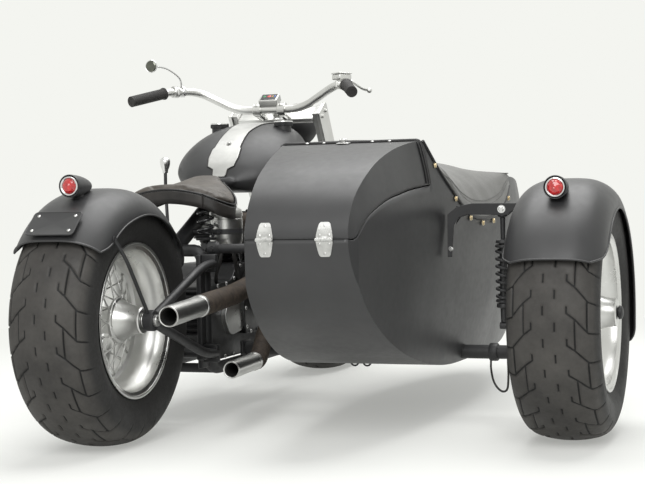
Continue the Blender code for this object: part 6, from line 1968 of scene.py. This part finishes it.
grip = grip_shape()
piece("right_grip", [grip], "steering", rubber, ["grip_right"], sharp=40)
piece("left_grip", [other_side(grip)], "steering", rubber, ["grip_left"], sharp=40)

# %% [markdown]
# The front brake has its fluid box on a split clamp beside the right grip, and a lever
# with a ball at its end that follows the grip. A plain clamp sits beside the left grip.

# %% Brake lever and clamps
def ring_clamp(place, axis, width=0.016, ears=True):
    """A split ring round the bar with two screws in its ears."""
    axis = unit(np.asarray(axis, float))
    w = width / 2
    parts = [turned([(0.0133, -w), (0.0188, -w), (0.02, -w + 0.0015), (0.02, w - 0.0015), (0.0188, w),
                     (0.0133, w)], place, axis, 36, closed=True)]
    if ears:
        for side in (-1, 1):
            spot = np.asarray(place) + np.cross(axis, (0, 0, 1)) * 0.0205 * side
            parts.append(turned([(0, -0.01), (0.0052, -0.01), (0.0052, 0.009), (0.0034, 0.0105),
                                 (0.003, 0.008), (0, 0.008)], spot, (0, 0, 1), 20))
    return parts


reservoir, box_turn = np.array([0.296, 1.155, 1.049]), math.radians(-35)
shapes = [block((0.046, 0.05, 0.0175), reservoir - (0, 0, 0.003), 0.004, (0, 0, box_turn)),
          block((0.048, 0.052, 0.005), reservoir + (0, 0, 0.0092), 0.0018, (0, 0, box_turn))]
for dx in (-0.015, 0.015):
    spot = reservoir + (dx * math.cos(box_turn), dx * math.sin(box_turn), 0.0115)
    shapes.append(dome_bolt(spot, (0, 0, 1), 0.0032, 0.0016))
shapes += ring_clamp((0.3, 1.152, 1.024), (0.6, -0.8, 0.0))
piece("brake_reservoir", shapes, "steering", polished, ["brake_lever"], sharp=32)
lever = smooth_line([(0.3, 1.173, 1.041), (0.32, 1.164, 1.034), (0.345, 1.145, 1.022), (0.4, 1.06, 0.997),
                     (0.44, 1.002, 0.986)], 60)
width = np.interp(np.linspace(0, 1, 60), (0, 0.15, 0.9, 1), (0.005, 0.006, 0.0046, 0.0046))
ball = turned([(0, -0.0085), (0.005, -0.007), (0.0082, -0.0025), (0.0082, 0.0025), (0.005, 0.007),
               (0, 0.0085)], lever[-1], lever[-1] - lever[-2], 28)
piece("brake_blade", [tube(lever, width, sides=16), ball], "steering", polished, sharp=60)
piece("left_switch_clamp", ring_clamp((-0.307, 1.14, 1.0215), (-0.5, -0.86, 0.0), 0.022), "steering", steel,
      sharp=32)

# %% [markdown]
# The mirror is a small round one on a bent stem left of the bars. Its glass reflects the
# dim room behind the camera in the photograph, so it is darker than the case.

# %% Mirror
mirror_place, mirror_way = np.array([-0.33, 1.005, 1.1015]), np.array([0.04, -1.0, -0.06])
stem_line = smooth_line([(-0.29, 1.158, 1.0345), (-0.292, 1.14, 1.07), (-0.31, 1.075, 1.098),
                         (-0.328, 1.012, 1.1015)], 60)
back = turned([(0, -0.0085), (0.008, -0.008), (0.017, -0.005), (0.0205, -0.001), (0.0215, 0.003),
               (0.0205, 0.0045), (0.019, 0.004), (0, 0.0035)], mirror_place, mirror_way, 56)
shapes = [tube(stem_line, 0.0034, sides=14), back] + ring_clamp((-0.29, 1.162, 1.0235), (-0.55, -0.8, 0.0),
        0.012, ears=False)
shapes.append(turned([(0, 0), (0.006, 0), (0.006, 0.012), (0.004, 0.014), (0, 0.014)], (-0.29, 1.159, 1.03),
                     (0, -0.1, 1), 6))
piece("mirror_case", shapes, "steering", chrome, ["mirror"], sharp=40)
dark_mirror = finish("dark_mirror_glass", (0.1, 0.105, 0.09), (0.16, 0.165, 0.14), (0.03, 0.07),
                     metallic=1.0, tone=30.0, bump=0.0)
piece("mirror_glass", [turned([(0, 0.0052), (0.01, 0.0051), (0.0188, 0.0043), (0.019, 0.0039), (0, 0.0038)],
                              mirror_place, mirror_way, 56)], "steering", dark_mirror, sharp=60)

# %% [markdown]
# The instrument is a small box behind the bar, tilted to the rider. It has a dark face
# with four coloured lights and no text, and its wires run down to the head tube.

# %% Gauge
gauge_place, gauge_tilt = np.array([0, 1.25, 0.9855]), math.radians(34)
gauge_up = np.array([0, -math.sin(gauge_tilt), math.cos(gauge_tilt)])
gauge_back = np.array([0, -math.cos(gauge_tilt), -math.sin(gauge_tilt)])
piece("gauge_case", [block((0.068, 0.046, 0.0285), gauge_place, 0.0045, (gauge_tilt, 0, 0), 5)], "steering",
      strip_silver, ["gauge"], sharp=40)
piece("gauge_face", [block((0.056, 0.036, 0.0012), gauge_place + gauge_up * 0.0144, 0.0005,
                           (gauge_tilt, 0, 0))], "steering", frame_black, sharp=30)
lights = {"red": ((0.7, 0.02, 0.015), 0.0, 0.0068), "green": ((0.02, 0.42, 0.1), -0.0175, 0.0044),
          "yellow": ((0.75, 0.42, 0.03), 0.0125, 0.0038), "blue": ((0.04, 0.16, 0.6), 0.0215, 0.0038)}
for word, (tint, x, radius) in lights.items():
    lamp_glass = finish(word + "_light", tuple(0.6 * c for c in tint), tint, (0.08, 0.16), tone=200.0,
                        coat=0.6, bump=0.0)
    bead = dome_bolt(gauge_place + gauge_up * 0.015 + (x, 0, 0) - gauge_back * 0.004, gauge_up, radius,
                     0.0014)
    piece("gauge_light_" + word, [bead], "steering", lamp_glass, sharp=60)
wires = []
for k, x in enumerate((-0.02, -0.012, 0.012, 0.02)):
    wires.append(tube(smooth_line([(x, 1.262, 0.972), (x * 1.2, 1.285, 0.965), (x * 0.8, 1.3, 0.95),
                                   (x * 0.5, 1.318, 0.948)], 30), 0.0022, sides=8))
piece("gauge_wires", wires, "steering", rubber, sharp=60)

# %% [markdown]
# The headlamp hangs in front of the fork, out of the photograph's sight. It is the plain
# round one that such machines have: a black bowl, a bright ring and a domed glass.

# %% Headlamp
lamp_centre = steer(0, 0.15, -0.12)
shell = [(0, -0.0745), (0.014, -0.0738), (0.03, -0.0695), (0.048, -0.0575), (0.062, -0.04),
         (0.0715, -0.021), (0.0765, -0.002), (0.0775, 0.005), (0.0725, 0.0055), (0.068, 0.0045),
         (0.0, 0.004)]
piece("headlamp_bowl", [turned(shell, lamp_centre, (0, 1, 0), 72),
                        tube([steer(0, 0.04, -0.19), steer(0, 0.1, -0.178), lamp_centre - (0, 0.05, 0.035)],
                             0.011, sides=20)], "steering", frame_black, ["headlamp"],
      sharp=40)
piece("headlamp_ring", [turned([(0.069, 0.0048), (0.0778, 0.0052), (0.078, 0.01), (0.0755, 0.012),
                                (0.0715, 0.0118), (0.069, 0.0085)], lamp_centre, (0, 1, 0), 72,
                               closed=True)], "steering", chrome, sharp=40)
glass_profile = [(0, 0.0198), (0.012, 0.0195), (0.026, 0.0185), (0.04, 0.0168), (0.055, 0.013),
                 (0.0668, 0.0085), (0.0668, 0.0046), (0, 0.0046)]
piece("headlamp_glass", [turned(glass_profile, lamp_centre, (0, 1, 0), 72)], "steering", clear_glass,
      ["headlamp_lens"], sharp=40)

# %% [markdown]
# The engine is a V-twin. Its cases are dark castings with round edges, and short ribs
# stiffen them at the front and the back.

# %% Crankcase
crank = np.array([0.0, 0.86, 0.36])
case_outline = [(0.545, 0.168), (1.06, 0.168), (1.085, 0.208), (1.07, 0.4), (1.01, 0.45), (0.7, 0.45),
                (0.65, 0.4), (0.48, 0.39), (0.458, 0.35), (0.47, 0.24)]
wide_outline = [(0.7, 0.23), (1.02, 0.23), (1.04, 0.3), (1.000, 0.42), (0.74, 0.42), (0.69, 0.33)]


def rounded(outline, setback=0.018):
    """A closed outline with its corners turned into short curves."""
    spots = np.array(outline, float)
    middle = (spots[0] + spots[-1]) / 2
    flat = np.vstack([middle, spots, middle])
    return bent_line(flat, setback, 5)[:-1]


def screws_along(outline, x, way, gap=0.075, inset=0.012):
    """Round-headed screws at even steps along an outline drawn in towards its middle."""
    spots = np.array(outline, float)
    middle = spots.mean(0)
    spots = middle + (spots - middle) * (1 - inset / np.linalg.norm(spots - middle, axis=1, keepdims=True))
    loop = np.vstack([spots, spots[:1]])
    run = distances(loop)
    found = []
    for s in np.arange(gap / 2, run[-1], gap):
        found.append(dome_bolt((x, np.interp(s, run, loop[:, 0]), np.interp(s, run, loop[:, 1])),
                               (way, 0, 0), 0.0062, 0.0045))
    return found


shapes = [slab(rounded(case_outline), -0.097, 0.097), slab(rounded(wide_outline), -0.1195, 0.1195)]
for z in np.arange(0.205, 0.345, 0.018):
    shapes.append(block((0.196, 0.01, 0.007), (0, 1.081, z), 0.002))
    shapes.append(block((0.15, 0.01, 0.007), (0, 0.463, z + 0.045), 0.002))
cover_dark = finish("dark_casting", (0.022, 0.022, 0.023), (0.055, 0.055, 0.056), (0.3, 0.46), metallic=0.5,
                    tone=16.0, grain=420.0, bump=0.3, cells=0.3)
piece("crankcase", shapes, "chassis", cover_dark, ["engine_case"], bevel=0.003, sharp=30)

# %% [markdown]
# Covers close the case on both sides: a turned nose over the cam gears on the right, and
# the long primary cover on the left, which keeps a bright panel. Rows of screws at even
# steps hold them.

# %% Covers and screws
nose = turned([(0, 0.1485), (0.055, 0.1485), (0.066, 0.146), (0.07, 0.141), (0.0745, 0.133), (0.082, 0.126),
               (0.085, 0.118), (0, 0.118)], (0, 0.86, 0.34), (1, 0, 0), 72)
timing = slab(rounded([(0.7, 0.245), (0.6, 0.235), (0.56, 0.29), (0.59, 0.36), (0.69, 0.372)], 0.02), 0.095,
              0.112)
piece("timing_cover", [nose, timing], "chassis", polished, bevel=0.0015, sharp=30)
stadium = []
for (y, z), radius, first, last in (((0.9, 0.33), 0.105, -62, 92), ((0.57, 0.34), 0.08, 92, 298)):
    a = np.radians(np.linspace(first, last, 30))
    stadium += list(zip(y + radius * np.cos(a), z + radius * np.sin(a)))
inner_stadium = np.array(stadium)
inner_stadium = inner_stadium.mean(0) + (inner_stadium - inner_stadium.mean(0)) * np.array([0.93, 0.82])
primary = [slab(stadium, -0.196, -0.158)]
primary.append(turned([(0, 0.11), (0.08, 0.11), (0.08, 0.16), (0, 0.16)], (0, 0.9, 0.33), (-1, 0, 0), 56))
piece("primary_cover", primary, "chassis", cover_dark, bevel=0.003, sharp=30)
piece("primary_panel", [slab(inner_stadium.tolist(), -0.1995, -0.19)], "chassis", polished,
      bevel=0.002, sharp=30)
piece("primary_screws", screws_along(stadium, -0.1962, -1, 0.062, 0.009), "chassis", chrome,
      sharp=40)
piece("case_screws", screws_along(wide_outline, 0.1197, 1, 0.058, 0.012) + screws_along(case_outline,
        0.0972, 1, 0.066, 0.01), "chassis", steel, sharp=40)
shaft = [(0, 0.1505), (0.013, 0.1505), (0.022, 0.148), (0.022, 0.1445), (0.0385, 0.144), (0.0395, 0.143),
         (0.0395, 0.13), (0.022, 0.1295), (0.022, 0.098), (0, 0.098)]
piece("front_pulley", [turned(shaft, (0, 0.57, 0.34), (-1, 0, 0), 64)], "chassis", steel, sharp=30)

# %% [markdown]
# Each cylinder is a stack of thin fins whose outline is a rounded square, with a polished
# rocker box on top, two push rods in tubes beside it and a plug with its lead.

# %% Cylinders
def square_ring(radius, count=64, power=3.2):
    """A rounded square: radius divided by the power mean of |cos| and |sin|."""
    a = np.linspace(0, 2 * np.pi, count, endpoint=False)
    return radius / (np.abs(np.cos(a)) ** power
                     + np.abs(np.sin(a)) ** power) ** (1 / power) * np.array([np.cos(a), np.sin(a)])


def cylinder_shapes(lean):
    """Fins stacked along the leaning axis, each a thin plate between two rounded squares."""
    axis = np.array([0, math.sin(lean), math.cos(lean)])
    ahead = np.array([0, math.cos(lean), -math.sin(lean)])
    heights, sizes = [0.075], [0.046]
    for k in range(8):
        h = 0.1 + 0.0145 * k
        heights += [h, h + 0.001, h + 0.003, h + 0.004]
        sizes += [0.046, 0.0575 if k < 7 else 0.06, 0.0575 if k < 7 else 0.06, 0.046]
    heights, sizes = np.array(heights + [0.214, 0.214]), np.array(sizes + [0.046, 0.0])
    ring = np.stack([square_ring(1.0)] * len(sizes)) * sizes[:, None, None]
    grid = crank + ring[:, 0, :, None] * np.array([1.0, 0, 0]) + ring[:, 1, :, None] * ahead + heights[:,
            None, None] * axis
    barrel = skin(grid, wrap_columns=True)
    box = block((0.124, 0.1, 0.024), crank + axis * 0.222, 0.006, (-lean, 0, 0))
    rocker = block((0.106, 0.078, 0.03), crank + axis * 0.243, 0.01, (-lean, 0, 0), 5)
    fins = [block((0.128, 0.104, 0.0035), crank + axis * h, 0.0012, (-lean, 0, 0)) for h in (0.206, 0.213)]
    return [barrel, box] + fins, [rocker], axis, ahead


for word, lean in (("rear", -math.radians(24)), ("front", math.radians(24))):
    barrel, rocker, axis, ahead = cylinder_shapes(lean)
    piece("cylinder_" + word + "_fins", barrel, "chassis", cover_dark, ["cylinder_" + word], sharp=30)
    bolts = []
    for x in (-0.044, 0.044):
        for step in (-0.03, 0.03):
            bolts += cap_screw(crank + axis * 0.2565 + ahead * step + (x, 0, 0), axis, 0.0048, 0.005)
    piece("rocker_box_" + word, rocker, "chassis", polished, sharp=30)
    piece("rocker_bolts_" + word, bolts, "chassis", chrome, sharp=30)
    rods = []
    for step in (-0.016, 0.016):
        foot = crank + axis * 0.082 + ahead * step * 1.4 + (0.068, 0, 0)
        head = crank + axis * 0.214 + ahead * step + (0.06, 0, 0)
        rods.append(tube([foot, head], 0.0058, sides=20))
        way = unit(head - foot)
        rods.append(turned([(0, 0), (0.0095, 0), (0.0095, 0.01), (0.0075, 0.013), (0, 0.013)], foot, way, 24))
    piece("push_rods_" + word, rods, "chassis", chrome, sharp=40)
    plug_place = crank + axis * 0.208 + (0.06, 0, 0)
    lead = smooth_line([plug_place + (0.002, 0, 0), plug_place + (0.024, 0, 0.004),
                        plug_place + (0.026, -0.02, 0.022), plug_place + (-0.02, -0.03, 0.062)], 40)
    piece("plug_lead_" + word, [tube(lead, 0.0036, sides=10)], "chassis", rubber, sharp=60)

# %% [markdown]
# A round air cleaner sticks out on the right between the cylinders, and an upright oil
# bottle with a strap stands behind them. Both are spun from sheet, so both are turned.

# %% Air cleaner and oil tank
air_place = (0, 0.86, 0.585)
drum = [(0, 0.1955), (0.01, 0.1955), (0.012, 0.1945), (0.036, 0.194), (0.05, 0.193), (0.059, 0.189),
        (0.0618, 0.183), (0.0618, 0.174), (0.059, 0.173), (0.059, 0.17), (0.0618, 0.169), (0.0618, 0.152),
        (0.05, 0.1465), (0.022, 0.146), (0.022, 0.0785), (0, 0.0785)]
foot = tube([(0.084, 0.86, 0.58), (0.084, 0.86, 0.452)], 0.012, sides=24)
piece("air_cleaner_drum", [turned(drum, air_place, (1, 0, 0), 80), foot], "chassis", polished,
      ["air_cleaner"], sharp=35)
piece("air_cleaner_bolt", cap_screw((0.1955, 0.86, 0.585), (1, 0, 0), 0.0075, 0.006), "chassis", chrome,
      sharp=30)
oil_place = (0.128, 0.545, 0)
oil = [(0, 0.63), (0.01, 0.63), (0.012, 0.6285), (0.018, 0.628), (0.0185, 0.625), (0.03, 0.6245),
       (0.046, 0.617), (0.0495, 0.606), (0.0495, 0.5965), (0.0478, 0.595), (0.0478, 0.59), (0.0495, 0.5885),
       (0.0495, 0.533), (0.047, 0.518), (0.04, 0.508), (0, 0.5005)]
piece("oil_bottle", [turned(oil, oil_place, (0, 0, 1), 80)], "chassis", polished, ["oil_tank"],
      sharp=35)
band = [turned([(0.049, -0.008), (0.0508, -0.008), (0.0508, 0.008), (0.049, 0.008)], (0.128, 0.545, 0.552),
               (0, 0, 1), 72, closed=True), tube([(0.083, 0.545, 0.55), (0.018, 0.545, 0.552)], 0.01,
        sides=20)]
piece("oil_bottle_strap", band + cap_screw((0.128, 0.4955, 0.552), (0, -1, 0), 0.006, 0.006), "chassis",
      frame_black, sharp=30)
hoses = [tube(smooth_line([(0.118, 0.53, 0.507), (0.118, 0.52, 0.47), (0.1, 0.53, 0.43), (0.085, 0.56, 0.4),
                           (0.08, 0.6, 0.392)], 50), 0.0058, sides=12),
         tube(smooth_line([(0.14, 0.56, 0.507), (0.142, 0.575, 0.46), (0.12, 0.64, 0.42),
                           (0.098, 0.7, 0.4)], 50), 0.0058, sides=12)]
piece("oil_lines", hoses, "chassis", rubber, sharp=60)

# %% [markdown]
# The foot pegs sit on one shaft through the frame, with ringed rubbers, and the hand shift
# stands on the left beside the tank with a chromed knob.

# %% Foot pegs and hand shift
peg_y, peg_z = 1.108, 0.1783


def peg_shape():
    """A turned peg whose rubber has a row of rings."""
    h = np.linspace(0.158, 0.23, 90)
    r = 0.0142 + 0.0016 * np.abs(np.sin(np.pi * 9 * (h - 0.158) / 0.072)) ** 0.5
    return turned([(0, 0.152), (0.0155, 0.152), (0.0158, 0.156)] + list(zip(r, h)) + [(0.0158, 0.2315),
            (0.015, 0.2348), (0, 0.235)], (0, peg_y, peg_z), (1, 0, 0), 40)


shaft = tube([(-0.152, peg_y, peg_z), (0.152, peg_y, peg_z)], 0.0098, sides=24)
piece("peg_shaft", [shaft], "chassis", steel, ["foot_pegs"], sharp=40)
piece("peg_rubbers", [peg_shape(), other_side(peg_shape())], "chassis", rubber, sharp=60)
shift_line = smooth_line([(-0.178, 0.84, 0.4331), (-0.178, 0.84, 0.465), (-0.205, 0.85, 0.52),
                          (-0.235, 0.895, 0.66), (-0.238, 0.9, 0.742)], 80)
knob = [(0, 0.79), (0.006, 0.7897), (0.012, 0.7875), (0.016, 0.7825), (0.0172, 0.776), (0.0164, 0.766),
        (0.014, 0.757), (0.0108, 0.75), (0.009, 0.744), (0.0094, 0.7405), (0.0084, 0.738), (0, 0.738)]
piece("shift_stem", [tube(shift_line, 0.0055, sides=16)], "chassis", frame_black,
      ["shift_lever"], sharp=60)
piece("shift_knob", [turned(knob, (-0.238, 0.9, 0), (0, 0, 1), 64)], "chassis", chrome, sharp=60)
